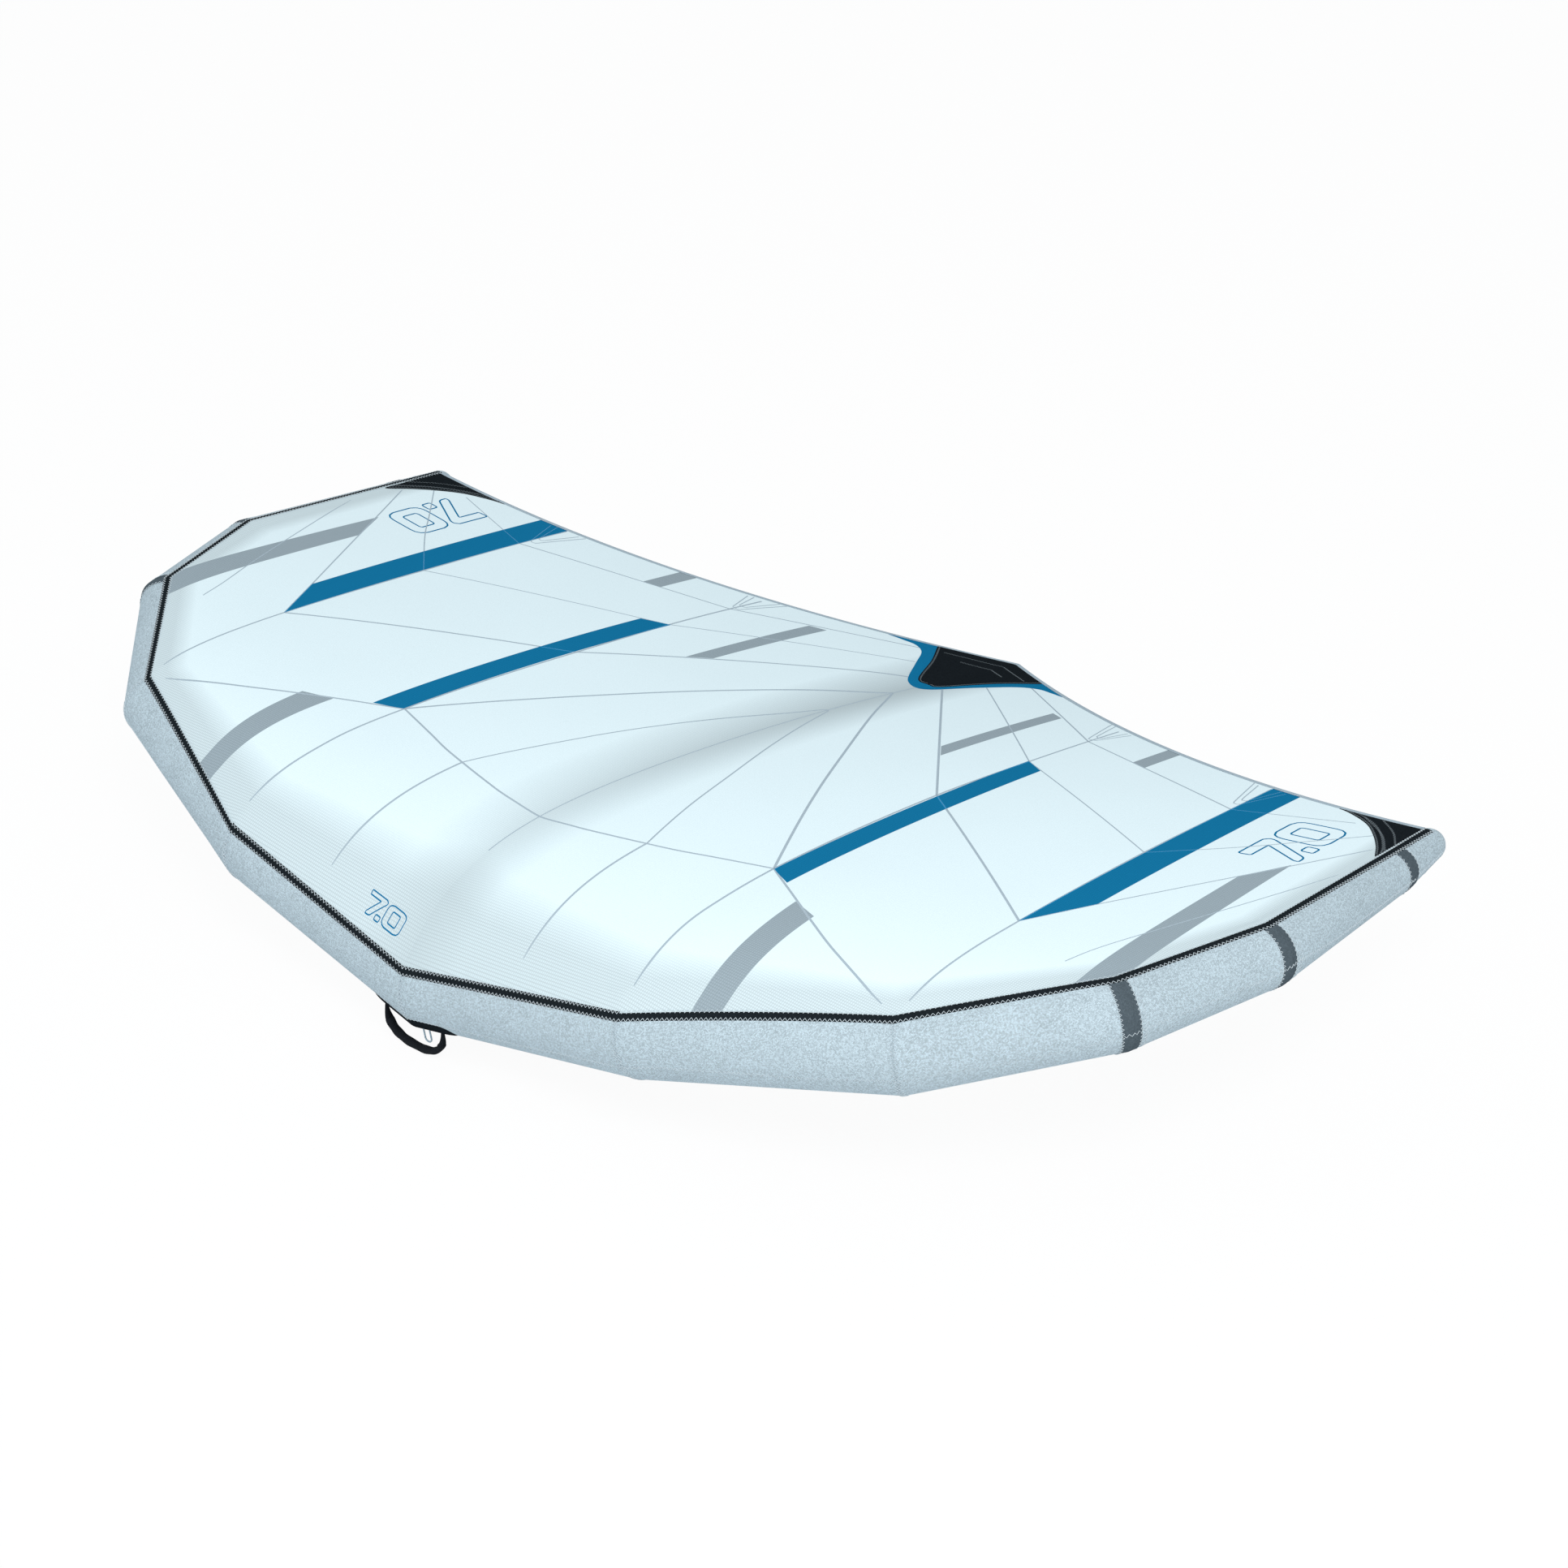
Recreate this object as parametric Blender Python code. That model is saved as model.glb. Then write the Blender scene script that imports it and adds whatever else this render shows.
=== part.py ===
"""An inflatable hand-held wing for foil boards.

It has a swept tube frame, one centre strut, a stretched canopy, three handles, an inflation valve
and a strut hose. Metres, +X to the right tip, +Y towards the trailing edge, +Z up.
"""

import math

import bmesh
import bpy
import numpy as np
from mathutils import Matrix, Vector

# Overall size
HALF_SPAN = 1.70
ROOT_CHORD = 2.492
TIP_RISE = 0.320
TIP_RISE_SHARES = (0.0, 0.397, 0.797, 1.0, 0.985, 0.753, 0.688)
CORNER_SPAN_SHARES = (0.0, 0.3824, 0.7294, 0.9235, 1.0, 1.0, 1.0)
CORNER_CHORD_SHARES = (0.0, 0.0197, 0.1148, 0.2548, 0.4169, 0.6521, 0.7191)
TAPE_ANGLES_DEG = (28.0, 36.0, 72.0, 90.0, 93.0, 95.0, 95.0)

# Leading edge tube
NOSE_RADIUS = 0.140
RADIUS_SHARES = (1.0, 0.943, 0.75, 0.639, 0.564, 0.407, 0.300)
TUBE_SIDES = 24
SLEEVE_THICKNESS = 0.0008
BLADDER_THICKNESS = 0.0006
BLADDER_GAP = 0.0006
BLADDER_STRIDE = 2
END_CAP_ANGLES_DEG = (32.0, 64.0)
SEAT_GAP = 0.0003
SEAM_GAP = 0.0005
BAND_WIDTH = 0.045
BAND_THICKNESS = 0.0005
TAPE_WIDTH = 0.024
TAPE_THICKNESS = 0.0007
TAPE_STEP = 0.25
TAPE_SLOT_DEPTH_SHARE = 0.3
FRONT_STEPS = 4
CANOPY_LAST_CORNER = 4
TANGENT_STEP = 0.02
COINCIDENT = 1e-6
DEEPEST_LIFT = 0.03
SETTLE_ROUNDS = 12
SETTLE_SHARES = (0.0, 0.125, 0.25, 0.375, 0.5, 0.625, 0.75, 0.875, 1.0)
SETTLE_LEAST_WEIGHT = 0.2
NORMAL_STEP_SHARE = 1e-4

# Canopy
CANOPY_THICKNESS = 0.0012
CANOPY_CLEARANCE = 0.0012
CAMBER_DEPTH = 0.251
CAMBER_SPAN_POWER = 1.15
CAMBER_FULLNESS = 1.141
CAMBER_NOSE_SHARE = 0.075
CAMBER_REAR_FULLNESS = 0.9
VALLEY_DEPTH = 0.010
VALLEY_WIDTH = 0.08
VALLEY_FADE_SHARE = 0.1
TRAILING_MIDDLE_CHORD_SHARE = 0.7476
ROOT_TRAILING_DROP = 0.163
TRAILING_MIDDLE_RISE = 0.0665
CANOPY_COLUMN_SHARES = (
    0.0, 0.0235, 0.055, 0.10, 0.155, 0.22, 0.30, 0.3824, 0.47, 0.56, 0.65, 0.7294, 0.80, 0.865, 0.9235,
    0.96, 0.985, 1.0,
)
CANOPY_ROW_SHARES = (
    0.0, 0.004, 0.008, 0.015, 0.028, 0.046, 0.07, 0.10, 0.14, 0.19, 0.25, 0.32, 0.40, 0.49, 0.58, 0.67,
    0.76, 0.85, 0.925, 0.975, 1.0,
)
HEM_WIDTH = 0.014
HEM_WRAP = 0.0007
PATCH_THICKNESS = 0.0008
OUTLINE_HEIGHT = 1.2
TRAILING_SAMPLES = 24
TRAILING_STEP_SHARE = 0.01
SHARPEST_BEND_SQUARED = 0.2
HEM_CUT_CHORD_SHARE = 1.1
PATCH_FIRST_CHORD_SHARE = 0.7
PATCH_WIDEST_SPAN_SHARE = 0.32
BORDER_WIDEST_SPAN_SHARE = 0.45
TIP_PATCH_FIRST_CHORD_SHARE = 0.3

# Canopy seams in the plan, as shares of half span and root chord
NOSE_SEAM_SHARES = (
    (0.0, 0.1910), (0.0700, 0.1926), (0.1212, 0.1990), (0.1835, 0.2091), (0.2324, 0.2179),
    (0.2818, 0.2295), (0.3665, 0.2488),
)
RADIAL_SEAM_SHARES = (
    (0.0, 0.7540), (0.0282, 0.7139), (0.0753, 0.6469), (0.1488, 0.5445), (0.2206, 0.4430),
    (0.2824, 0.3591), (0.3665, 0.2488),
)
INNER_CHORD_SEAM_SHARES = ((0.3665, 0.2488), (0.3647, 0.5048), (0.3700, 0.6605), (0.3735, 1.2))
OUTER_CHORD_SEAM_SHARES = (
    (0.7294, 0.1148), (0.7241, 0.3014), (0.7224, 0.5084), (0.7241, 0.6653), (0.7229, 1.2)
)
CENTRE_PATCH_SHARES = (
    (0.0, 0.8194), (0.0206, 0.8246), (0.0482, 0.8559), (0.0735, 0.8909), (0.1171, 0.9470), (0.15, 1.0)
)
CENTRE_BORDER_SHARES = (
    (0.0, 0.7965), (0.0130, 0.7985), (0.0324, 0.8106), (0.0706, 0.8596), (0.1029, 0.8997),
    (0.1306, 0.9137), (0.1559, 0.9117), (0.1812, 0.9077), (0.2059, 0.9017), (0.2335, 0.8957),
    (0.2624, 0.8872), (0.31, 0.8715), (0.31, 1.05),
)
TIP_PATCH_SHARES = (
    (0.815, 0.76), (0.8235, 0.733), (0.8688, 0.7211), (0.9135, 0.7006), (0.9453, 0.6750),
    (0.9712, 0.6477), (0.9894, 0.6232), (1.1, 0.600), (1.1, 1.0), (0.815, 1.0),
)

# Centre strut
STRUT_STATION_SHARES = (0.074, 0.105, 0.14, 0.19, 0.25, 0.32, 0.40, 0.49, 0.58, 0.67, 0.76, 0.85)
STRUT_RADIUS = 0.066
STRUT_RADIUS_SHARES = (0.92, 0.96, 1.0, 1.0, 1.0, 1.0, 1.0, 0.97, 0.91, 0.84, 0.74, 0.62)
STRUT_NOSE_DROP_SHARES = (1.0, 0.60, 0.20)
STRUT_NOSE_DROP = 0.155
STRUT_SIDES = 20
STRUT_CANOPY_GAP = 0.0009
STRUT_PANEL_ENDS = (0.0, 5.6, 8.6, 11.0)
STRUT_BLADDER_START = 1.6
STRUT_STATION_CHORD_SHARE = 0.07
STRUT_STATION_STEP = 0.05
STRUT_SEARCH_ROUNDS = 50

# Handles
GRIP_LENGTH = 0.240
HANDLE_REACH = 0.370
GRIP_DROP = 0.088
GRIP_RADIUS = 0.0165
GRIP_END_RADIUS = 0.0125
GRIP_SHOULDER_SHARE = 0.93
ROOT_RADIUS = 0.0045
WEBBING_HALF_WIDTH = 0.0085
WEBBING_HALF_THICKNESS = 0.0026
STRUT_PATCH_WIDTH = 0.062
STRUT_PATCH_OVERHANG = 0.045
STRUT_PATCH_MARGIN = 1.1
FRONT_HANDLE_STATION = 4.0
REAR_HANDLE_STATION = 7.35
NOSE_GRIP_LENGTH = 0.104
NOSE_REACH = 0.184
NOSE_DROP = 0.080
NOSE_GRIP_RADIUS = 0.0095
NOSE_GRIP_END_RADIUS = 0.0080
NOSE_WEBBING_HALF_WIDTH = 0.0065
NOSE_WEBBING_HALF_THICKNESS = 0.0022
NOSE_HANDLE_ANGLE_DEG = -50.0
NOSE_PATCH_HALF_LENGTH = 0.128
NOSE_PATCH_HALF_WIDTH = 0.034
NOSE_PATCH_MARGIN = 1.2
HANDLE_PATH_SHARES = (
    (0.0, 0.0), (0.0, 0.16), (0.022, 0.44), (0.062, 0.70), (0.108, 0.91), (0.150, 0.99), (0.165, 1.0)
)
HANDLE_WIDTH_SHARES = (0.0, 0.25, 0.6, 0.9, 1.0, 1.0, 1.0)
ROOT_CAP_ANGLES_DEG = (60.0, 30.0)
LEASH_REACH = 0.020
LEASH_DROP = 0.036
LEASH_RADIUS = 0.0021
LEASH_STATION = 0.06
LEASH_ANGLE_DEG = -50.0
BEND_STEPS = 8
CORD_SIDES = 10
WEBBING_SIDES = 12

# Inflation valve
VALVE_STATION = 0.42
VALVE_ANGLE_DEG = 218.0
VALVE_FLANGE_RADIUS = 0.036
VALVE_FLANGE_THICKNESS = 0.0016
HOUSING_OUTER_RADIUS = 0.0205
HOUSING_WALL = 0.0030
HOUSING_HEIGHT = 0.013
HOUSING_DEPTH = 0.010
FIT_GAP = 0.0003
INSERT_HEAD_HEIGHT = 0.0030
INSERT_WALL = 0.0028
INSERT_BRIDGE = 0.0030
INSERT_GUIDE_RADIUS = 0.0042
PLUNGER_STEM_RADIUS = 0.0020
PLUNGER_BUTTON_RADIUS = 0.0045
PLUNGER_BUTTON_HEIGHT = 0.0016
PLUNGER_DISC_THICKNESS = 0.0015
PLUNGER_TRAVEL = 0.0030
CAP_THICKNESS = 0.0024
CAP_HINGE_RADIUS = 0.0016
CAP_HINGE_WIDTH = 0.012
CAP_HINGE_OFFSET = 0.0042
ROUND_SIDES = 20

# Strut hose
FRONT_PORT_STATION = 0.20
FRONT_PORT_ANGLE_DEG = 178.0
REAR_PORT_STATION = 3.30
REAR_PORT_ANGLE_DEG = 18.0
PORT_FLANGE_RADIUS = 0.020
PORT_BASE_THICKNESS = 0.0012
NIPPLE_RADIUS = 0.0060
NIPPLE_BORE_RADIUS = 0.0042
NIPPLE_LENGTH = 0.022
HOSE_BORE_RADIUS = 0.0067
HOSE_RADIUS = 0.0092
HOSE_START = 0.006
HOSE_BEND = 0.13
HOSE_STEPS = 12
CLIP_LENGTH = 0.036
CLIP_WIDTH = 0.012
CLIP_THICKNESS = 0.0030
CLIP_PIN_RADIUS = 0.0018
PIN_LENGTH_SHARE = 0.9
PIN_SIDES = 16
FLANGE_MARGIN = 1.3
PORT_SKIN_STATIONS = 0.5

RIGHT, LEFT = 1, -1
SIDE_NAMES = {RIGHT: "right", LEFT: "left"}
LAST_CORNER = len(CORNER_SPAN_SHARES) - 1


def clear_scene():
    for obj in list(bpy.data.objects):
        bpy.data.objects.remove(obj)
    for collection in list(bpy.data.collections):
        bpy.data.collections.remove(collection)


def material(name, colour, roughness, metallic=0.0):
    made = bpy.data.materials.new(name)
    made.use_nodes = True
    shader = made.node_tree.nodes["Principled BSDF"]
    shader.inputs["Base Color"].default_value = (*colour, 1.0)
    shader.inputs["Roughness"].default_value = roughness
    shader.inputs["Metallic"].default_value = metallic
    return made


def skin_faces(rings, points, around=True):
    """Triangles between neighbouring rows of vertex numbers, alike in both halves. A row of one number is a pole."""
    faces = []
    for first, second in zip(rings, rings[1:]):
        count = max(len(first), len(second))
        spans = [abs(sum(points[k].x for k in ring) / len(ring)) for ring in (first, second)]
        if spans[0] > spans[1] + COINCIDENT:
            first, second = second, first
        for i in range(count if around else count - 1):
            j = (i + 1) % count
            a, b = first[i % len(first)], first[j % len(first)]
            c, d = second[j % len(second)], second[i % len(second)]
            faces.extend(face for face in ((a, b, c), (a, c, d)) if len(set(face)) == 3)
    return faces


def numbered(rows, points):
    rings = []
    for row in rows:
        rings.append(list(range(len(points), len(points) + len(row))))
        points.extend(row)
    return rings


def tidy_mesh(mesh, smooth):
    work = bmesh.new()
    work.from_mesh(mesh)
    bmesh.ops.recalc_face_normals(work, faces=work.faces)
    work.to_mesh(mesh)
    work.free()
    for face in mesh.polygons:
        face.use_smooth = smooth


def add_mesh(name, points, faces, smooth=True):
    mesh = bpy.data.meshes.new(name)
    mesh.from_pydata([tuple(point) for point in points], [], faces)
    tidy_mesh(mesh, smooth)
    return bpy.data.objects.new(name, mesh)


def solid_loft(name, rows, smooth=True):
    """A closed solid through closed rings, with flat ends where a row isn't a pole."""
    points = []
    rings = numbered(rows, points)
    faces = skin_faces(rings, points)
    faces.extend(tuple(ring) for ring in (rings[0], rings[-1]) if len(ring) > 1)
    return add_mesh(name, points, faces, smooth)


def shell_loft(name, outer, inner, around=True):
    """A closed wall between two sets of rows, with rims where the rows are open."""
    points = []
    outside = numbered(outer, points)
    inside = numbered(inner, points)
    faces = skin_faces(outside, points, around) + skin_faces(inside, points, around)
    for end in (0, -1):
        if len(outside[end]) > 1:
            faces += skin_faces([outside[end], inside[end]], points, around)
    if not around:
        for edge in (0, -1):
            rows = [[ring[edge] for ring in outside], [ring[edge] for ring in inside]]
            faces += skin_faces(rows, points, False)
    return add_mesh(name, points, faces)


def lathe(name, profile, sides=ROUND_SIDES):
    """A ring or a solid turned about local Z from a closed profile of radius and height."""
    points = []
    rows = []
    for radius, height in profile:
        if radius == 0:
            rows.append([Vector((0, 0, height))])
        else:
            angles = [math.tau * i / sides for i in range(sides)]
            rows.append([Vector((radius * math.cos(a), radius * math.sin(a), height)) for a in angles])
    rings = numbered(rows, points)
    faces = skin_faces(rings, points)
    if len(rings[0]) > 1:
        faces += skin_faces([rings[-1], rings[0]], points)
    return add_mesh(name, points, faces)


def box(name, low, high):
    corners = [
        Vector((x, y, z))
        for z in (low[2], high[2])
        for x, y in ((low[0], low[1]), (high[0], low[1]), (high[0], high[1]), (low[0], high[1]))
    ]
    return solid_loft(name, [corners[:4], corners[4:]], smooth=False)


def modify(obj, operation, cutter):
    change = obj.modifiers.new(f"{operation.title()} {cutter.name}", "BOOLEAN")
    change.operation = operation
    change.solver = "EXACT"
    change.object = cutter


def frame_matrix(origin, along, outward):
    """Local X along, local Z outward."""
    z = outward.normalized()
    x = (along - along.dot(z) * z).normalized()
    y = z.cross(x)
    matrix = Matrix((x, y, z)).transposed().to_4x4()
    matrix.translation = origin
    return matrix


def axis_matrix(origin, along, upward):
    """Local X exactly along, local Z as near upward as that allows."""
    x = along.normalized()
    z = (upward - upward.dot(x) * x).normalized()
    matrix = Matrix((x, z.cross(x), z)).transposed().to_4x4()
    matrix.translation = origin
    return matrix


# Leading edge tube

def tape_point(corner):
    return Vector(
        (
            HALF_SPAN * CORNER_SPAN_SHARES[corner],
            ROOT_CHORD * CORNER_CHORD_SHARES[corner],
            TIP_RISE * TIP_RISE_SHARES[corner],
        )
    )


def corner_centre(corner):
    """Centre, inward and upward directions, radius and tape angle at a tube corner."""
    steps = []
    for first in (corner - 1, corner):
        if 0 <= first < LAST_CORNER:
            steps.append((tape_point(first + 1) - tape_point(first)).normalized())
    travel = Vector((1, 0, 0)) if corner == 0 else sum(steps, Vector()).normalized()
    inward = Vector((0, 0, 1)).cross(travel).normalized()
    upward = travel.cross(inward)
    angle = math.radians(TAPE_ANGLES_DEG[corner])
    radius = NOSE_RADIUS * RADIUS_SHARES[corner]
    outward = upward * math.sin(angle) - inward * math.cos(angle)
    return tape_point(corner) - outward * radius, inward, upward, radius, angle


FRAMES = [corner_centre(corner) for corner in range(LAST_CORNER + 1)]


def corner_planes():
    """The direction across each corner's mitre plane."""
    steps = [(FRAMES[k + 1][0] - FRAMES[k][0]).normalized() for k in range(LAST_CORNER)]
    inner = [(steps[k - 1] + steps[k]).normalized() for k in range(1, LAST_CORNER)]
    return [Vector((1, 0, 0)), *inner, steps[-1]]


PLANES = corner_planes()


def ring_set(offset):
    """Rings at every corner of the right half, so that each facet between two of them is flat."""
    centre, inward, upward, radius, _ = FRAMES[0]
    rings = [[]]
    for i in range(TUBE_SIDES):
        turn = math.tau * (i + 0.5) / TUBE_SIDES
        rings[0].append(centre + (upward * math.sin(turn) - inward * math.cos(turn)) * (radius + offset))
    for corner in range(LAST_CORNER):
        start, end = FRAMES[corner][0], FRAMES[corner + 1][0]
        first, second = FRAMES[corner][3] + offset, FRAMES[corner + 1][3] + offset
        apex = start + (end - start) * (first / (first - second))
        plane = PLANES[corner + 1]
        rings.append(
            [
                apex + (point - apex) * ((end - apex).dot(plane) / (point - apex).dot(plane))
                for point in rings[-1]
            ]
        )
    return rings


RING_SETS = {}


def rings_at(offset):
    if offset not in RING_SETS:
        RING_SETS[offset] = ring_set(offset)
    return RING_SETS[offset]


def tube_point(side, station, place, offset):
    """A point on the faceted tube. place counts facet edges round it, from just above the front."""
    corner = min(int(station), LAST_CORNER - 1)
    share = station - corner
    edge = math.floor(place)
    found = []
    for ring in rings_at(offset)[corner:corner + 2]:
        found.append(ring[edge % TUBE_SIDES].lerp(ring[(edge + 1) % TUBE_SIDES], place - edge))
    point = found[0].lerp(found[1], share)
    return Vector((side * point.x, point.y, point.z))


def tube_ring(side, station, offset):
    return [tube_point(side, station, i, offset) for i in range(TUBE_SIDES)]


def end_cap(side, offset):
    """Rings of the rounded tip, ending at a pole."""
    centre = FRAMES[LAST_CORNER][0]
    travel = PLANES[LAST_CORNER]
    reach = FRAMES[LAST_CORNER][3] + offset
    rows = []
    for degrees in END_CAP_ANGLES_DEG:
        rise = math.radians(degrees)
        ring = [
            centre + (point - centre) * math.cos(rise) + travel * reach * math.sin(rise)
            for point in rings_at(offset)[-1]
        ]
        rows.append([Vector((side * point.x, point.y, point.z)) for point in ring])
    pole = centre + travel * reach
    rows.append([Vector((side * pole.x, pole.y, pole.z))])
    return rows


def segment_length(corner):
    return (tape_point(corner + 1) - tape_point(corner)).length


def tape_slot(name, half_width):
    """A solid that holds every point within this distance of the tape line, measured round the tube."""
    stations = [k * TAPE_STEP for k in range(int(LAST_CORNER / TAPE_STEP) + 1)]
    rows = []
    for side, reach in [
        (LEFT, station) for station in reversed(stations[1:])
    ] + [(RIGHT, station) for station in stations]:
        centre, inward, upward, radius, angle = tape_frame(reach)
        outward = upward * math.sin(angle) - inward * math.cos(angle)
        across = inward * math.sin(angle) + upward * math.cos(angle)
        middle = centre + outward * radius
        depth = radius * TAPE_SLOT_DEPTH_SHARE
        corners = [
            middle + across * u + outward * v
            for u, v in (
                (-half_width, -depth), (half_width, -depth), (half_width, depth), (-half_width, depth)
            )
        ]
        rows.append([Vector((side * point.x, point.y, point.z)) for point in corners])
    return solid_loft(name, rows, smooth=False)


def tape_frame(station):
    """The tube's centre, directions, radius and tape angle at any station."""
    corner = min(int(station), LAST_CORNER - 1)
    share = station - corner
    first, second = FRAMES[corner], FRAMES[corner + 1]
    vectors = [first[i].lerp(second[i], share) for i in range(3)]
    numbers = [first[i] + (second[i] - first[i]) * share for i in (3, 4)]
    return vectors[0], vectors[1].normalized(), vectors[2].normalized(), numbers[0], numbers[1]


def leading_edge(cutters):
    nodes = {}
    opening = tape_slot("tape_slot_wide", TAPE_WIDTH / 2 + SEAM_GAP)
    cutters.append(opening)
    for side in (RIGHT, LEFT):
        for corner in range(LAST_CORNER):
            trim = SEAM_GAP / 2 / segment_length(corner)
            stations = [corner + trim, corner + 1 - trim]
            if corner == LAST_CORNER - 1:
                stations[1] = corner + 1
            outer = [tube_ring(side, station, 0) for station in stations]
            inner = [tube_ring(side, station, -SLEEVE_THICKNESS) for station in stations]
            if corner == LAST_CORNER - 1:
                outer += end_cap(side, 0)
                inner += end_cap(side, -SLEEVE_THICKNESS)
            name = f"le_sleeve_{SIDE_NAMES[side]}_{corner + 1}"
            nodes[name] = shell_loft(name, outer, inner)
        for corner in (3, 4, 5):
            before = corner - BAND_WIDTH / 2 / segment_length(corner - 1)
            after = corner + BAND_WIDTH / 2 / segment_length(corner)
            walls = []
            for offset in (SEAT_GAP + BAND_THICKNESS, SEAT_GAP):
                walls.append([tube_ring(side, station, offset) for station in (before, corner, after)])
            name = f"le_corner_band_{SIDE_NAMES[side]}_{corner}"
            nodes[name] = shell_loft(name, *walls)
            modify(nodes[name], "DIFFERENCE", opening)
    return nodes


def seam_tape(cutters):
    walls = []
    for offset in (SEAT_GAP + TAPE_THICKNESS, SEAT_GAP):
        rows = [tube_ring(LEFT, corner, offset) for corner in range(LAST_CORNER, 0, -1)]
        walls.append(rows + [tube_ring(RIGHT, corner, offset) for corner in range(LAST_CORNER + 1)])
    tape = shell_loft("le_seam_tape", *walls)
    slot = tape_slot("tape_slot", TAPE_WIDTH / 2)
    cutters.append(slot)
    modify(tape, "INTERSECT", slot)
    return tape


def both_ends(offset):
    """Rings of the whole tube from the left tip to the right tip."""
    rows = list(reversed(end_cap(LEFT, offset)))
    rows += [tube_ring(LEFT, corner, offset) for corner in range(LAST_CORNER, 0, -1)]
    rows += [tube_ring(RIGHT, corner, offset) for corner in range(LAST_CORNER + 1)]
    rows += end_cap(RIGHT, offset)
    return [row[::BLADDER_STRIDE] for row in rows]


# Canopy surface

def tape_line_point(station):
    centre, inward, upward, radius, angle = tape_frame(station)
    return centre + (upward * math.sin(angle) - inward * math.cos(angle)) * radius


def front_samples(last_corner, per_segment):
    return [k / per_segment for k in range(last_corner * per_segment + 1)]


TAPE_TABLE = [tape_line_point(station) for station in front_samples(CANOPY_LAST_CORNER, FRONT_STEPS)]


def front_at(x):
    """The tape line's point at this distance from the centre."""
    for first, second in zip(TAPE_TABLE, TAPE_TABLE[1:]):
        if x <= second.x:
            return first.lerp(second, (x - first.x) / (second.x - first.x))
    return TAPE_TABLE[-1]


def trailing_point(share):
    weights = ((1 - share) ** 2, 2 * share * (1 - share), share ** 2)
    chords = (1.0, TRAILING_MIDDLE_CHORD_SHARE, CORNER_CHORD_SHARES[LAST_CORNER])
    rises = (-ROOT_TRAILING_DROP, TRAILING_MIDDLE_RISE, TIP_RISE * TIP_RISE_SHARES[LAST_CORNER])
    y = ROOT_CHORD * sum(weight * chord for weight, chord in zip(weights, chords))
    return Vector((HALF_SPAN * share, y, sum(weight * rise for weight, rise in zip(weights, rises))))


def canopy_point(span_share, chord_share):
    x = HALF_SPAN * span_share
    front_y, front_z = front_at(x).yz
    rear = trailing_point(span_share)
    bulge = CAMBER_FULLNESS * (1 - math.exp(-chord_share / CAMBER_NOSE_SHARE)) * (1 - chord_share)
    bulge *= 1 + CAMBER_REAR_FULLNESS * chord_share
    camber = CAMBER_DEPTH * (1 - span_share) ** CAMBER_SPAN_POWER * bulge
    fade = min(1.0, chord_share / VALLEY_FADE_SHARE, (1 - chord_share) / VALLEY_FADE_SHARE)
    valley = VALLEY_DEPTH * math.exp(-((x / VALLEY_WIDTH) ** 2)) * fade
    y = front_y + (rear.y - front_y) * chord_share
    return Vector((x, y, front_z + (rear.z - front_z) * chord_share + camber - valley))


def canopy_normal(span_share, chord_share):
    step = NORMAL_STEP_SHARE
    low_span, high_span = max(span_share - step, 0.0), min(span_share + step, 1.0)
    low_chord, high_chord = max(chord_share - step, 0.0), min(chord_share + step, 1.0)
    across = canopy_point(high_span, chord_share) - canopy_point(low_span, chord_share)
    along = canopy_point(span_share, high_chord) - canopy_point(span_share, low_chord)
    if span_share == 0:
        across = Vector((across.x, 0, 0))
    return across.cross(along).normalized()


def facet_planes():
    """For each tube segment, its two mitre planes and a corner and normal of each facet."""
    segments = []
    rings = rings_at(0)
    for corner in range(LAST_CORNER):
        middle = (FRAMES[corner][0] + FRAMES[corner + 1][0]) / 2
        corners, normals = [], []
        for i in range(TUBE_SIDES):
            first, second = rings[corner][i], rings[corner][(i + 1) % TUBE_SIDES]
            normal = (second - first).cross(rings[corner + 1][i] - first).normalized()
            corners.append(first)
            normals.append(-normal if normal.dot(first - middle) < 0 else normal)
        ends = [
            np.array(part)
            for part in (FRAMES[corner][0], PLANES[corner], FRAMES[corner + 1][0], PLANES[corner + 1])
        ]
        segments.append((*ends, np.array(corners), np.array(normals)))
    return segments


SEGMENT_PLANES = facet_planes()


def shortfall(points, clearance):
    """How far each point must move straight out of the tube to clear it, as vectors."""
    found = np.zeros_like(points)
    for start, start_plane, end, end_plane, corners, normals in SEGMENT_PLANES:
        beside = ((points - start) @ start_plane > -SEAM_GAP) & ((points - end) @ end_plane < SEAM_GAP)
        heights = points @ normals.T - (corners * normals).sum(axis=1)
        nearest = heights.argmax(axis=1)
        height = heights.max(axis=1)
        short = np.where(beside & (height > -DEEPEST_LIFT), clearance - height, 0).clip(min=0)
        push = normals[nearest] * short[:, None]
        larger = short > np.linalg.norm(found, axis=1)
        found[larger] = push[larger]
    return found


def settled(grid, clearance):
    """Moves grid points out until the whole stretched cloth between them clears the tube."""
    for _ in range(SETTLE_ROUNDS):
        push = np.zeros_like(grid)
        for across, along in ((1, 0), (0, 1), (1, 1)):
            columns, rows = grid.shape[0] - across, grid.shape[1] - along
            first = grid[:columns, :rows]
            second = grid[across:, along:]
            for share in SETTLE_SHARES:
                samples = (first * (1 - share) + second * share).reshape(-1, 3)
                moves = shortfall(samples, clearance).reshape(first.shape)
                for view, weight in ((push[:columns, :rows], 1 - share), (push[across:, along:], share)):
                    wanted = moves * (weight > SETTLE_LEAST_WEIGHT)
                    larger = np.linalg.norm(wanted, axis=2) > np.linalg.norm(view, axis=2)
                    view[larger] = wanted[larger]
        grid = grid + push
    return grid


GRIDS = {}


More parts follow.
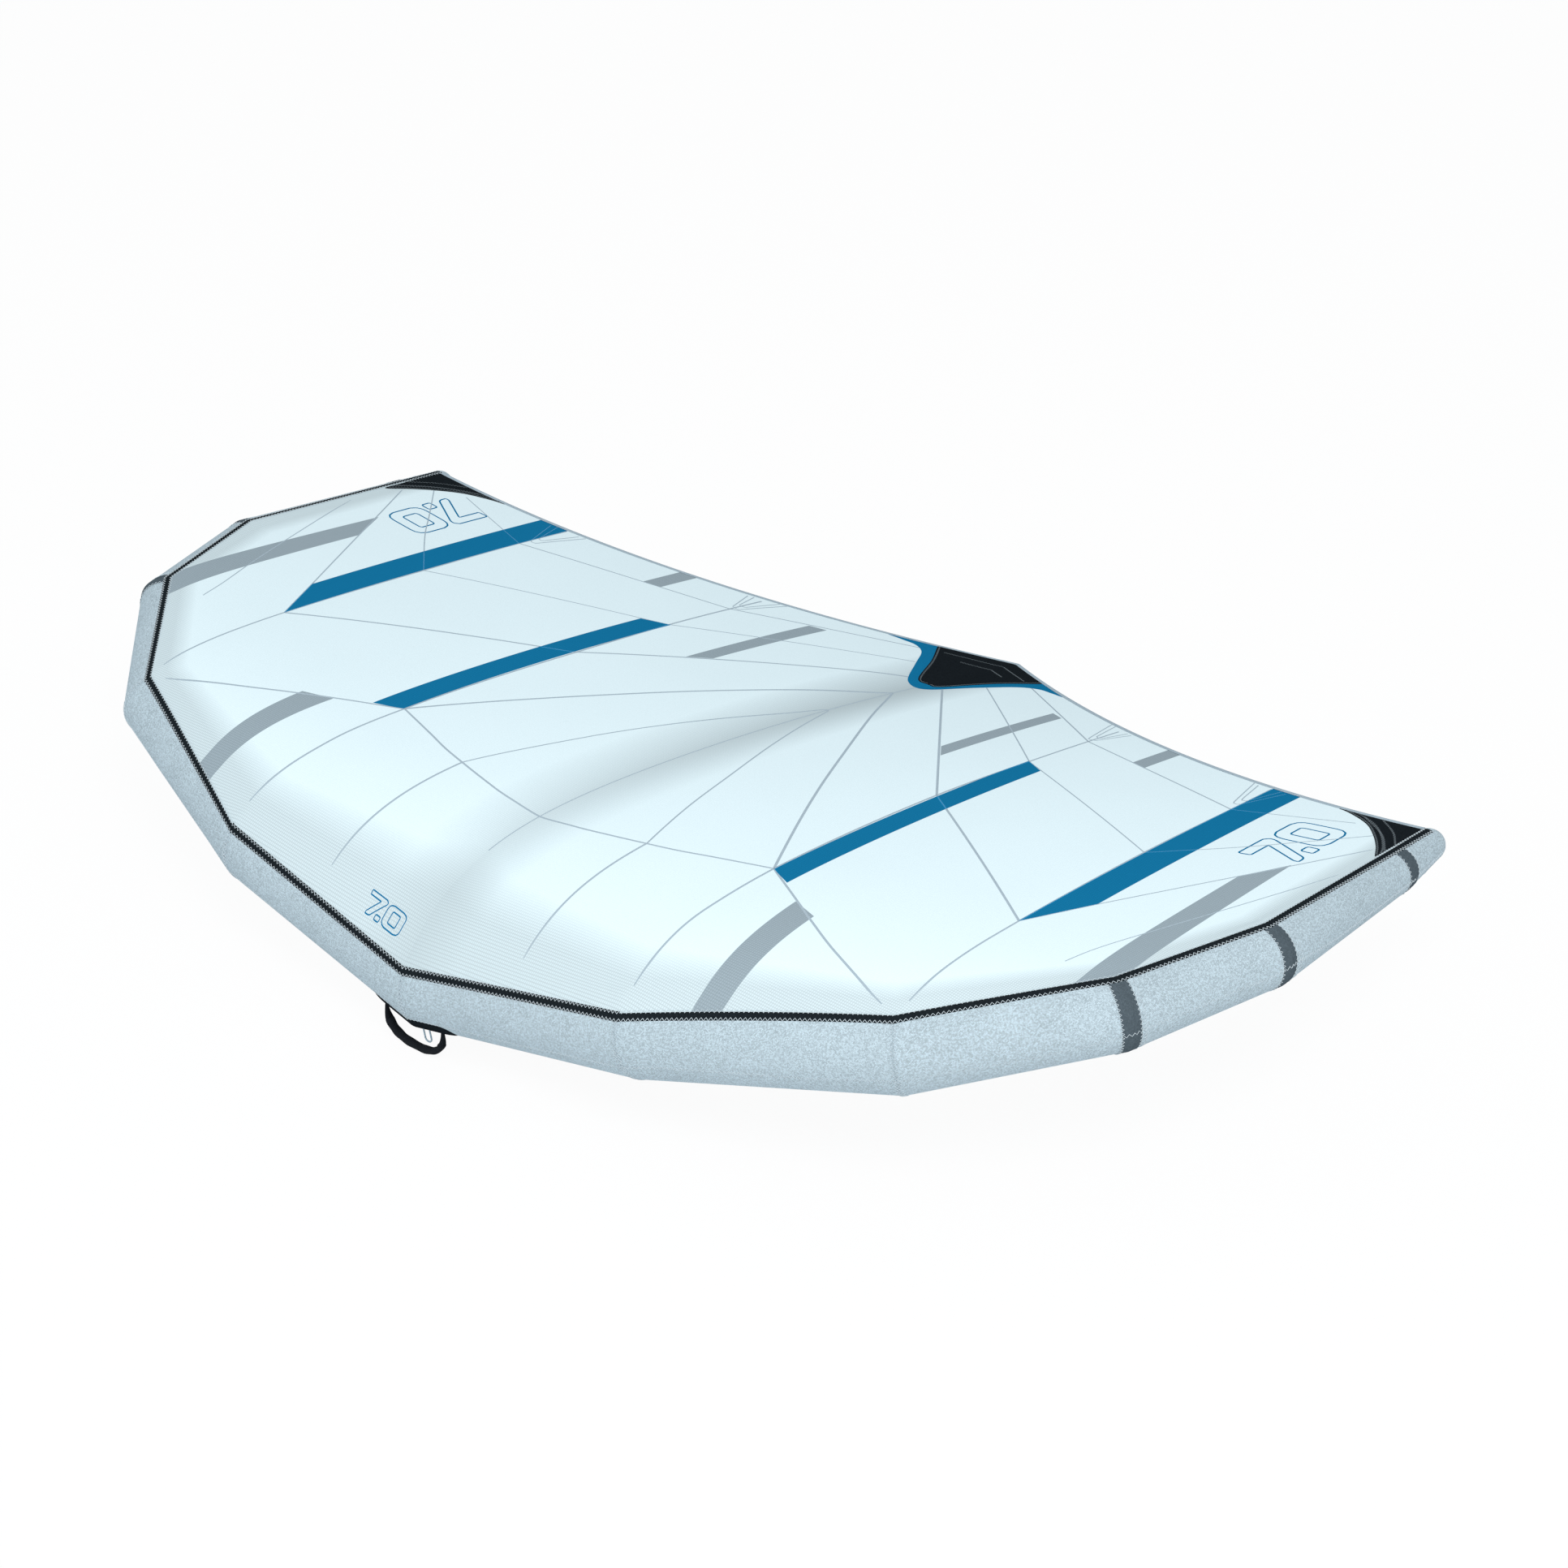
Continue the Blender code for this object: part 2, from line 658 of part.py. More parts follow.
def canopy_grid(offset):
    """Points of the right half's cloth at this distance above its top face."""
    if offset not in GRIDS:
        grid = []
        for span_share in CANOPY_COLUMN_SHARES:
            grid.append(
                [
                    canopy_point(span_share, share) + canopy_normal(span_share, share) * offset
                    for share in CANOPY_ROW_SHARES
                ]
            )
        GRIDS[offset] = settled(np.array(grid), CANOPY_CLEARANCE + CANOPY_THICKNESS + offset)
    return GRIDS[offset]


def canopy_row(side, span_share, offset, rows):
    line = canopy_grid(offset)[CANOPY_COLUMN_SHARES.index(span_share)]
    return [
        Vector((side * line[k][0], line[k][1], line[k][2]))
        for k, share in enumerate(CANOPY_ROW_SHARES)
        if share in rows
    ]


def canopy_sheet(name, sides, top, bottom, rows=CANOPY_ROW_SHARES, widest=1.0):
    shares = [share for share in CANOPY_COLUMN_SHARES if share <= widest]
    columns = []
    if LEFT in sides:
        columns += [(LEFT, share) for share in reversed(shares[1:])]
    columns.append((RIGHT if RIGHT in sides else LEFT, 0.0))
    if RIGHT in sides:
        columns += [(RIGHT, share) for share in shares[1:]]
    walls = []
    for offset in (top, bottom):
        walls.append([canopy_row(side, share, offset, rows) for side, share in columns])
    return shell_loft(name, *walls, around=False)


# Plan outlines

def plan_points(shares):
    return [Vector((HALF_SPAN * x, ROOT_CHORD * y)) for x, y in shares]


def front_line(stations):
    """The line just behind the seam tape, seen from above."""
    line = []
    for station in stations:
        centre, inward, upward, radius, angle = tape_frame(station)
        turn = angle + (TAPE_WIDTH / 2 + SEAM_GAP) / radius
        point = centre + (upward * math.sin(turn) - inward * math.cos(turn)) * (radius + CANOPY_CLEARANCE)
        line.append(Vector((point.x, point.y)))
    return line


def trailing_outline(inset):
    """The trailing edge seen from above, moved forward, from the centre to the tip."""
    line = []
    for i in range(TRAILING_SAMPLES + 1):
        share = i / TRAILING_SAMPLES
        here = trailing_point(share)
        ahead = trailing_point(min(share + TRAILING_STEP_SHARE, 1.0)) - trailing_point(
            max(share - TRAILING_STEP_SHARE, 0.0)
        )
        forward = Vector((ahead.y, -ahead.x)).normalized()
        line.append(Vector((max(here.x + forward.x * inset, 0.0), here.y + forward.y * inset)))
    return [point for i, point in enumerate(line) if i == 0 or point.x > line[i - 1].x]


def cut_at_y(line, x):
    for first, second in zip(line, line[1:]):
        if first.x <= x <= second.x:
            return Vector((x, first.y + (second.y - first.y) * (x - first.x) / (second.x - first.x)))
    return line[-1]


def shrink(outline, distance):
    """The outline moved inwards, or outwards when the distance is negative."""
    area = sum(a.x * b.y - a.y * b.x for a, b in zip(outline, outline[1:] + outline[:1]))
    turn = 1 if area > 0 else -1
    moved = []
    for i, point in enumerate(outline):
        before = (point - outline[i - 1]).normalized()
        after = (outline[(i + 1) % len(outline)] - point).normalized()
        first = Vector((-before.y, before.x)) * turn
        second = Vector((-after.y, after.x)) * turn
        bend = (first + second) / 2
        moved.append(point + bend * (distance / max(bend.length_squared, SHARPEST_BEND_SQUARED)))
    return moved


def prism(name, outline, side=RIGHT):
    rows = [
        [Vector((side * point.x, point.y, height)) for point in outline]
        for height in (-OUTLINE_HEIGHT, OUTLINE_HEIGHT)
    ]
    return solid_loft(name, rows, smooth=False)


def panel_outlines():
    """Plan outlines of the right half's canopy panels, from the nose to the tip."""
    first_front = front_line([k / FRONT_STEPS for k in range(FRONT_STEPS + 1)])
    second_front = front_line([1 + k / FRONT_STEPS for k in range(FRONT_STEPS + 1)])
    last_front = front_line([2 + k / FRONT_STEPS for k in range((LAST_CORNER - 2) * FRONT_STEPS + 1)])
    rear = trailing_outline(HEM_WIDTH + SEAM_GAP)
    nose_seam = plan_points(NOSE_SEAM_SHARES)
    radial = plan_points(RADIAL_SEAM_SHARES)
    inner = plan_points(INNER_CHORD_SEAM_SHARES)
    outer = plan_points(OUTER_CHORD_SEAM_SHARES)
    inner_end = cut_at_y(rear, inner[-1].x)
    outer_end = cut_at_y(rear, outer[-1].x)
    inner_line = inner[:-1]
    outer_line = outer[1:-1]
    between_seams = [point for point in rear if inner_end.x < point.x < outer_end.x]
    edge = last_front[-1].x
    beyond = [point for point in rear if outer_end.x < point.x < edge]
    inside = [point for point in rear if point.x < inner_end.x]
    tip_end = cut_at_y(rear, edge)
    last_front = [point for point in last_front if point.y < tip_end.y - SEAM_GAP]
    return {
        "nose": [*first_front, *reversed(nose_seam)],
        "shoulder": [*second_front, inner[0]],
        "centre": [*nose_seam, *reversed(radial[:-1])],
        "rear": [*radial, *inner_line[1:], inner_end, *reversed(inside)],
        "middle": [
            inner[0], second_front[-1], *outer_line, outer_end, *reversed(between_seams), inner_end,
            *reversed(inner_line[1:]),
        ],
        "tip": [*last_front, tip_end, *reversed(beyond), outer_end, *reversed(outer_line)],
    }


def mirrored_outline(half):
    """A whole outline from a right half that starts on the centre line and ends beyond the trailing edge."""
    return [Vector((-point.x, point.y)) for point in reversed(half[1:])] + half


def canopy(cutters):
    nodes = {}
    outlines = panel_outlines()
    for side in (RIGHT, LEFT):
        for panel, outline in outlines.items():
            name = f"canopy_{SIDE_NAMES[side]}_{panel}"
            sheet = canopy_sheet(name, (side,), 0, -CANOPY_THICKNESS)
            cutter = prism(f"outline_{name}", shrink(outline, SEAM_GAP / 2), side)
            cutters.append(cutter)
            modify(sheet, "INTERSECT", cutter)
            nodes[name] = sheet
    hem_rows = CANOPY_ROW_SHARES[-2:]
    hem = canopy_sheet(
        "trailing_edge_hem", (RIGHT, LEFT), HEM_WRAP, -CANOPY_THICKNESS - HEM_WRAP, hem_rows
    )
    tip_x = front_line([LAST_CORNER])[0].x - SEAM_GAP
    inner_edge = [point for point in trailing_outline(HEM_WIDTH) if point.x < tip_x]
    inner_edge.append(cut_at_y(trailing_outline(HEM_WIDTH), tip_x))
    behind = ROOT_CHORD * HEM_CUT_CHORD_SHARE
    outline = mirrored_outline([*inner_edge, Vector((tip_x, behind))])
    cutter = prism("outline_hem", outline)
    cutters.append(cutter)
    modify(hem, "INTERSECT", cutter)
    nodes["trailing_edge_hem"] = hem
    rear = trailing_outline(HEM_WIDTH + SEAM_GAP)
    low, high = SEAT_GAP, SEAT_GAP + PATCH_THICKNESS
    patch_rows = [share for share in CANOPY_ROW_SHARES if share > PATCH_FIRST_CHORD_SHARE]
    limit = prism("outline_ahead_of_hem", [*mirrored_outline([*rear, Vector((rear[-1].x, 0))])])
    cutters.append(limit)
    patch_half = plan_points(CENTRE_PATCH_SHARES)
    border_half = plan_points(CENTRE_BORDER_SHARES)
    kite = prism("outline_centre_patch", mirrored_outline(patch_half))
    wider_kite = prism("outline_centre_patch_seam", shrink(mirrored_outline(patch_half), -SEAM_GAP))
    border_outline = prism("outline_centre_border", mirrored_outline(border_half))
    cutters.extend((kite, wider_kite, border_outline))
    patch = canopy_sheet(
        "trailing_edge_patch", (RIGHT, LEFT), high, low, patch_rows, PATCH_WIDEST_SPAN_SHARE
    )
    border = canopy_sheet(
        "trailing_edge_border", (RIGHT, LEFT), high, low, patch_rows, BORDER_WIDEST_SPAN_SHARE
    )
    for piece, shape in ((patch, kite), (border, border_outline)):
        modify(piece, "INTERSECT", shape)
        modify(piece, "INTERSECT", limit)
        nodes[piece.name] = piece
    modify(border, "DIFFERENCE", wider_kite)
    for side in (RIGHT, LEFT):
        name = f"wingtip_patch_{SIDE_NAMES[side]}"
        outlines = panel_outlines()
        corner = prism(f"outline_{name}", plan_points(TIP_PATCH_SHARES), side)
        inside = prism(f"outline_{name}_limit", shrink(outlines["tip"], SEAM_GAP / 2), side)
        cutters.extend((corner, inside))
        piece = canopy_sheet(
            name,
            (side,),
            high,
            low,
            [share for share in CANOPY_ROW_SHARES if share > TIP_PATCH_FIRST_CHORD_SHARE],
        )
        modify(piece, "INTERSECT", corner)
        modify(piece, "INTERSECT", inside)
        nodes[name] = piece
    return nodes


# Centre strut

def strut_top(chord_share):
    return canopy_point(0, chord_share) - canopy_normal(0, chord_share) * (
        CANOPY_THICKNESS + STRUT_CANOPY_GAP
    )


def strut_frames():
    tops = []
    for i, share in enumerate(STRUT_STATION_SHARES):
        top = strut_top(share)
        drop = STRUT_NOSE_DROP * STRUT_NOSE_DROP_SHARES[i] if i < len(STRUT_NOSE_DROP_SHARES) else 0
        tops.append(top - Vector((0, 0, drop)))
    frames = []
    for i, top in enumerate(tops):
        ahead = tops[min(i + 1, len(tops) - 1)] - tops[max(i - 1, 0)]
        travel = Vector((0, ahead.y, ahead.z)).normalized()
        upward = Vector((0, -travel.z, travel.y))
        radius = STRUT_RADIUS * STRUT_RADIUS_SHARES[i]
        frames.append((top - upward * radius, upward, travel, radius))
    return frames


STRUT_FRAMES = strut_frames()


def strut_station_point(index, turn, offset):
    """A point on the faceted strut at a station. turn is measured from the top towards +X."""
    centre, upward, _, radius = STRUT_FRAMES[index]
    step = math.tau / STRUT_SIDES
    from_middle = turn - step * round(turn / step)
    reach = (radius + offset) * math.cos(step / 2) / math.cos(from_middle)
    return centre + (upward * math.cos(turn) + Vector((1, 0, 0)) * math.sin(turn)) * reach


def strut_point(station, turn, offset):
    index = min(int(station), len(STRUT_FRAMES) - 2)
    share = station - index
    return strut_station_point(index, turn, offset).lerp(
        strut_station_point(index + 1, turn, offset), share
    )


def strut_turns(first=0, last=STRUT_SIDES):
    return [math.tau * (i + 0.5) / STRUT_SIDES for i in range(first, last)]


def strut_rows(start, end, offset):
    stations = [start] + [i for i in range(len(STRUT_FRAMES)) if start < i < end] + [end]
    return [[strut_point(station, turn, offset) for turn in strut_turns()] for station in stations]


def strut_cap(index, offset, direction):
    centre, upward, travel, radius = STRUT_FRAMES[index]
    rows = []
    for degrees in END_CAP_ANGLES_DEG:
        rise = math.radians(degrees)
        ring = [strut_station_point(index, turn, offset) for turn in strut_turns()]
        rows.append(
            [
                centre + (point - centre) * math.cos(rise) + travel * (
                    radius + offset
                ) * math.sin(rise) * direction
                for point in ring
            ]
        )
    rows.append([centre + travel * (radius + offset) * direction])
    return rows


def strut(cutters):
    nodes = {}
    around_nose = [
        tube_ring(LEFT, 1, SEAT_GAP), tube_ring(RIGHT, 0, SEAT_GAP), tube_ring(RIGHT, 1, SEAT_GAP)
    ]
    saddle = solid_loft("saddle", around_nose)
    cutters.append(saddle)
    names = ("strut_sleeve_front", "strut_sleeve_middle", "strut_sleeve_rear")
    for i, name in enumerate(names):
        start, end = STRUT_PANEL_ENDS[i], STRUT_PANEL_ENDS[i + 1]
        trim = SEAM_GAP / 2 / ROOT_CHORD / STRUT_STATION_CHORD_SHARE
        start += trim if i else 0
        end -= trim if i < 2 else 0
        outer = strut_rows(start, end, 0)
        inner = strut_rows(start, end, -SLEEVE_THICKNESS)
        if i == 2:
            last = len(STRUT_FRAMES) - 1
            outer += strut_cap(last, 0, 1)
            inner += strut_cap(last, -SLEEVE_THICKNESS, 1)
        nodes[name] = shell_loft(name, outer, inner)
    modify(nodes["strut_sleeve_front"], "DIFFERENCE", saddle)
    last = len(STRUT_FRAMES) - 1
    outside = -SLEEVE_THICKNESS - BLADDER_GAP
    films = []
    for offset in (outside, outside - BLADDER_THICKNESS):
        rows = strut_rows(STRUT_BLADDER_START, last, offset)
        shrunk = []
        centre = sum(rows[0], Vector()) / len(rows[0])
        travel = (sum(rows[1], Vector()) / len(rows[1]) - centre).normalized()
        reach = (rows[0][0] - centre).length
        for degrees in END_CAP_ANGLES_DEG:
            rise = math.radians(degrees)
            shrunk.insert(
                0,
                [
                    centre + (point - centre) * math.cos(rise) - travel * reach * math.sin(rise)
                    for point in rows[0]
                ],
            )
        shrunk.insert(0, [centre - travel * reach])
        rows = shrunk + rows + strut_cap(last, offset, 1)
        films.append([row[::BLADDER_STRIDE] for row in rows])
    bladder = solid_loft("strut_bladder", films[0])
    hollow = solid_loft("strut_bladder_hollow", films[1])
    cutters.append(hollow)
    modify(bladder, "DIFFERENCE", hollow)
    nodes["strut_bladder"] = bladder
    return nodes


# Handles

def handle_rows(reach, drop, end_radius, half_width, half_thickness, sides=WEBBING_SIDES):
    """Rings of a webbing loop from one rolled end to the other, in local X and Z."""
    half = reach / 2
    path = [(-half + reach * x, -drop * z) for x, z in HANDLE_PATH_SHARES]
    shares = list(HANDLE_WIDTH_SHARES)
    path += [(-x, z) for x, z in reversed(path)]
    shares += reversed(shares)
    rows = []
    for i, (x, z) in enumerate(path):
        before = path[max(i - 1, 0)]
        after = path[min(i + 1, len(path) - 1)]
        travel = Vector((after[0] - before[0], 0, after[1] - before[1])).normalized()
        normal = Vector((0, 1, 0)).cross(travel)
        wide = end_radius + (half_width - end_radius) * shares[i]
        thick = end_radius + (half_thickness - end_radius) * shares[i]
        ring = []
        for k in range(sides):
            turn = math.tau * k / sides
            ring.append(
                Vector((x, 0, z)) + Vector(
                    (0, 1, 0)
                ) * wide * math.cos(turn) + normal * thick * math.sin(turn)
            )
        rows.append(ring)
    for end, row in ((0, rows[0]), (1, rows[-1])):
        centre = sum(row, Vector()) / len(row)
        caps = []
        for degrees in ROOT_CAP_ANGLES_DEG:
            rise = math.radians(90 - degrees)
            caps.append(
                [
                    centre + (
                        point - centre
                    ) * math.cos(rise) + Vector((0, 0, 1)) * end_radius * math.sin(rise)
                    for point in row
                ]
            )
        caps.append([centre + Vector((0, 0, 1)) * end_radius])
        rows = list(reversed(caps)) + rows if end == 0 else rows + caps
    return rows


def grip_rows(length, drop, radius, end_radius, half_width, half_thickness, sides=WEBBING_SIDES):
    """Outer and inner rings of a padded grip around the straight run of the webbing."""
    outer, inner = [], []
    for share, size in (
        (-1, end_radius), (-GRIP_SHOULDER_SHARE, radius), (0, radius), (GRIP_SHOULDER_SHARE, radius),
        (1, end_radius),
    ):
        x = length / 2 * share
        turns = [math.tau * k / sides for k in range(sides)]
        outer.append(
            [Vector((x, size * math.cos(turn), -drop + size * math.sin(turn))) for turn in turns]
        )
        wide, thick = half_width + SEAT_GAP, half_thickness + SEAT_GAP
        inner.append(
            [Vector((x, wide * math.cos(turn), -drop + thick * math.sin(turn))) for turn in turns]
        )
    return outer, inner


def handle(name, roots, sizes):
    frame = roots_frame(roots)
    reach = (roots[1] - roots[0]).length
    webbing = solid_loft(
        f"{name}_webbing",
        handle_rows(reach, sizes["drop"], ROOT_RADIUS, sizes["half_width"], sizes["half_thickness"]),
    )
    outer, inner = grip_rows(
        sizes["length"], sizes["drop"], sizes["radius"], sizes["end_radius"], sizes["half_width"],
        sizes["half_thickness"],
    )
    grip = shell_loft(f"{name}_grip", outer, inner)
    pivot = bpy.data.objects.new(f"{name}_pivot", None)
    pivot.matrix_world = frame
    webbing.parent = pivot
    grip.parent = pivot
    return pivot, {webbing.name: webbing, grip.name: grip}


def roots_frame(roots):
    """Local X along the hinge axis between the rolled ends, local Z away from the grip."""
    return axis_matrix((roots[0] + roots[1]) / 2, roots[1] - roots[0], Vector((0, 0, 1)))


STRUT_HANDLE = {
    "drop": GRIP_DROP, "length": GRIP_LENGTH, "radius": GRIP_RADIUS, "end_radius": GRIP_END_RADIUS,
    "half_width": WEBBING_HALF_WIDTH, "half_thickness": WEBBING_HALF_THICKNESS,
}
NOSE_HANDLE = {
    "drop": NOSE_DROP,
    "length": NOSE_GRIP_LENGTH,
    "radius": NOSE_GRIP_RADIUS,
    "end_radius": NOSE_GRIP_END_RADIUS,
    "half_width": NOSE_WEBBING_HALF_WIDTH,
    "half_thickness": NOSE_WEBBING_HALF_THICKNESS,
}


def strut_station_at(y):
    """The station whose underside lies at this distance behind the nose."""
    low, high = 0.0, len(STRUT_FRAMES) - 1.0
    for _ in range(STRUT_SEARCH_ROUNDS):
        middle = (low + high) / 2
        if strut_point(middle, math.pi, 0).y < y:
            low = middle
        else:
            high = middle
    return (low + high) / 2


def root_point(y):
    """The centre of a rolled end seated under the handle patch."""
    station = strut_station_at(y)
    surface = strut_point(station, math.pi, SEAT_GAP + PATCH_THICKNESS)
    ahead = strut_point(station + STRUT_STATION_STEP, math.pi, 0) - strut_point(
        station - STRUT_STATION_STEP, math.pi, 0
    )
    outward = Vector((0, ahead.z, -ahead.y)).normalized()
    return surface + outward * (SEAT_GAP + ROOT_RADIUS)


def strut_roots(station):
    middle = strut_point(station, math.pi, 0).y
    return root_point(middle - HANDLE_REACH / 2), root_point(middle + HANDLE_REACH / 2)


def rounded_outline(half_length, half_width, steps=5):
    radius = half_width
    points = []
    for sign_x, sign_y, start in ((1, 1, 0), (-1, 1, 90), (-1, -1, 180), (1, -1, 270)):
        for i in range(steps + 1):
            turn = math.radians(start + 90 * i / steps)
            centre = Vector((sign_x * (half_length - radius), 0))
            point = centre + Vector((radius * math.cos(turn), radius * math.sin(turn)))
            if not points or (point - points[-1]).length > COINCIDENT:
                points.append(point)
    if (points[0] - points[-1]).length < COINCIDENT:
        points.pop()
    return points


def local_prism(name, matrix, outline, low, high):
    rows = [[matrix @ Vector((point.x, point.y, height)) for point in outline] for height in (low, high)]
    return solid_loft(name, rows, smooth=False)


def strut_patch(name, station, cutters):
    """A long rounded patch on the strut's underside."""
    frame = roots_frame(strut_roots(station))
    middle = strut_point(station, math.pi, 0).y
    half_length = HANDLE_REACH / 2 + STRUT_PATCH_OVERHANG
    first = strut_station_at(middle - half_length * STRUT_PATCH_MARGIN)
    last = strut_station_at(middle + half_length * STRUT_PATCH_MARGIN)
    stations = [first] + [i for i in range(len(STRUT_FRAMES)) if first < i < last] + [last]
    turns = strut_turns(STRUT_SIDES // 4, STRUT_SIDES - STRUT_SIDES // 4 - 1)
    walls = []
    for offset in (SEAT_GAP + PATCH_THICKNESS, SEAT_GAP):
        walls.append([[strut_point(at, turn, offset) for turn in turns] for at in stations])
    patch = shell_loft(name, *walls, around=False)
    outline = local_prism(
        f"outline_{name}",
        frame,
        rounded_outline(half_length, STRUT_PATCH_WIDTH / 2),
        -STRUT_RADIUS,
        STRUT_RADIUS,
    )
    cutters.append(outline)
    modify(patch, "INTERSECT", outline)
    return patch


def tube_place(degrees):
    """The middle of the facet that faces this way. 0 is forward, 90 up, 180 rearward, -90 down."""
    return round(degrees * TUBE_SIDES / 360) - 0.5


def tube_frame(side, station, degrees):
    """Local X along the tube, local Z straight out of its facet."""
    place = tube_place(degrees)
    here = tube_point(side, station, place, 0)
    ahead = tube_point(side, station + TANGENT_STEP, place, 0) - here
    sideways = tube_point(side, station, place + TANGENT_STEP, 0) - here
    outward = ahead.cross(sideways)
    if outward.dot(here - FRAMES[0][0]) < 0:
        outward = -outward
    return frame_matrix(here, ahead, outward)


def tube_skin(name, ends, degrees, steps, low, high):
    """A wall over the tube's facets. ends are pairs of side and station."""
    place = tube_place(degrees)
    places = [place + 0.5 + i for i in range(-steps - 1, steps + 1)]
    walls = []
    for offset in (high, low):
        walls.append([[tube_point(side, at, where, offset) for where in places] for side, at in ends])
    return shell_loft(name, *walls, around=False)


def nose_root(side):
    frame = tube_frame(side, NOSE_REACH / 2 / tape_point(1).x, NOSE_HANDLE_ANGLE_DEG)
    return frame @ Vector((0, 0, SEAT_GAP + PATCH_THICKNESS + SEAT_GAP + ROOT_RADIUS))


def nose_patch(cutters):
    station = NOSE_PATCH_HALF_LENGTH * NOSE_PATCH_MARGIN / tape_point(1).x
    ends = ((LEFT, station), (RIGHT, 0), (RIGHT, station))
    patch = tube_skin(
        "nose_handle_patch", ends, NOSE_HANDLE_ANGLE_DEG, 2, SEAT_GAP, SEAT_GAP + PATCH_THICKNESS
    )
    here = tube_point(RIGHT, 0, tube_place(NOSE_HANDLE_ANGLE_DEG), 0)
    matrix = frame_matrix(here, Vector((1, 0, 0)), here - FRAMES[0][0])
    outline = local_prism(
        "outline_nose_patch",
        matrix,
        rounded_outline(NOSE_PATCH_HALF_LENGTH, NOSE_PATCH_HALF_WIDTH),
        -NOSE_RADIUS / 2,
        NOSE_RADIUS / 2,
    )
    cutters.append(outline)
    modify(patch, "INTERSECT", outline)
    return patch


def cord_loop(name, reach, drop, radius):
    """A closed-ended round cord from one rolled end down and back to the other."""
    half = reach / 2
    rows = []
    path = [Vector((-half, 0, 0))]
    depth = drop - half
    path.append(Vector((-half, 0, -depth)))
    for i in range(1, BEND_STEPS):
        turn = math.pi * i / BEND_STEPS
        path.append(Vector((-half * math.cos(turn), 0, -depth - half * math.sin(turn))))
    path.append(Vector((half, 0, -depth)))
    path.append(Vector((half, 0, 0)))
    for i, point in enumerate(path):
        travel = (path[min(i + 1, len(path) - 1)] - path[max(i - 1, 0)]).normalized()
        normal = Vector((0, 1, 0)).cross(travel)
        turns = [math.tau * k / CORD_SIDES for k in range(CORD_SIDES)]
        rows.append(
            [
                point + (Vector((0, 1, 0)) * math.cos(turn) + normal * math.sin(turn)) * radius
                for turn in turns
            ]
        )
    for end in (0, -1):
        row = rows[end]
        caps = []
        for degrees in ROOT_CAP_ANGLES_DEG:
            rise = math.radians(90 - degrees)
            caps.append(
                [
                    path[end] + (
                        point - path[end]
                    ) * math.cos(rise) + Vector((0, 0, 1)) * radius * math.sin(rise)
                    for point in row
                ]
            )
        caps.append([path[end] + Vector((0, 0, 1)) * radius])
        rows = list(reversed(caps)) + rows if end == 0 else rows + caps
    return solid_loft(name, rows)


# Valve and hose

def cylinder(name, matrix, radius, low, high, sides=ROUND_SIDES):
    rows = []
    for height in (low, high):
        turns = [math.tau * i / sides for i in range(sides)]
        rows.append(
            [
                matrix @ Vector((radius * math.cos(turn), radius * math.sin(turn), height))
                for turn in turns
            ]
        )
    return solid_loft(name, rows)


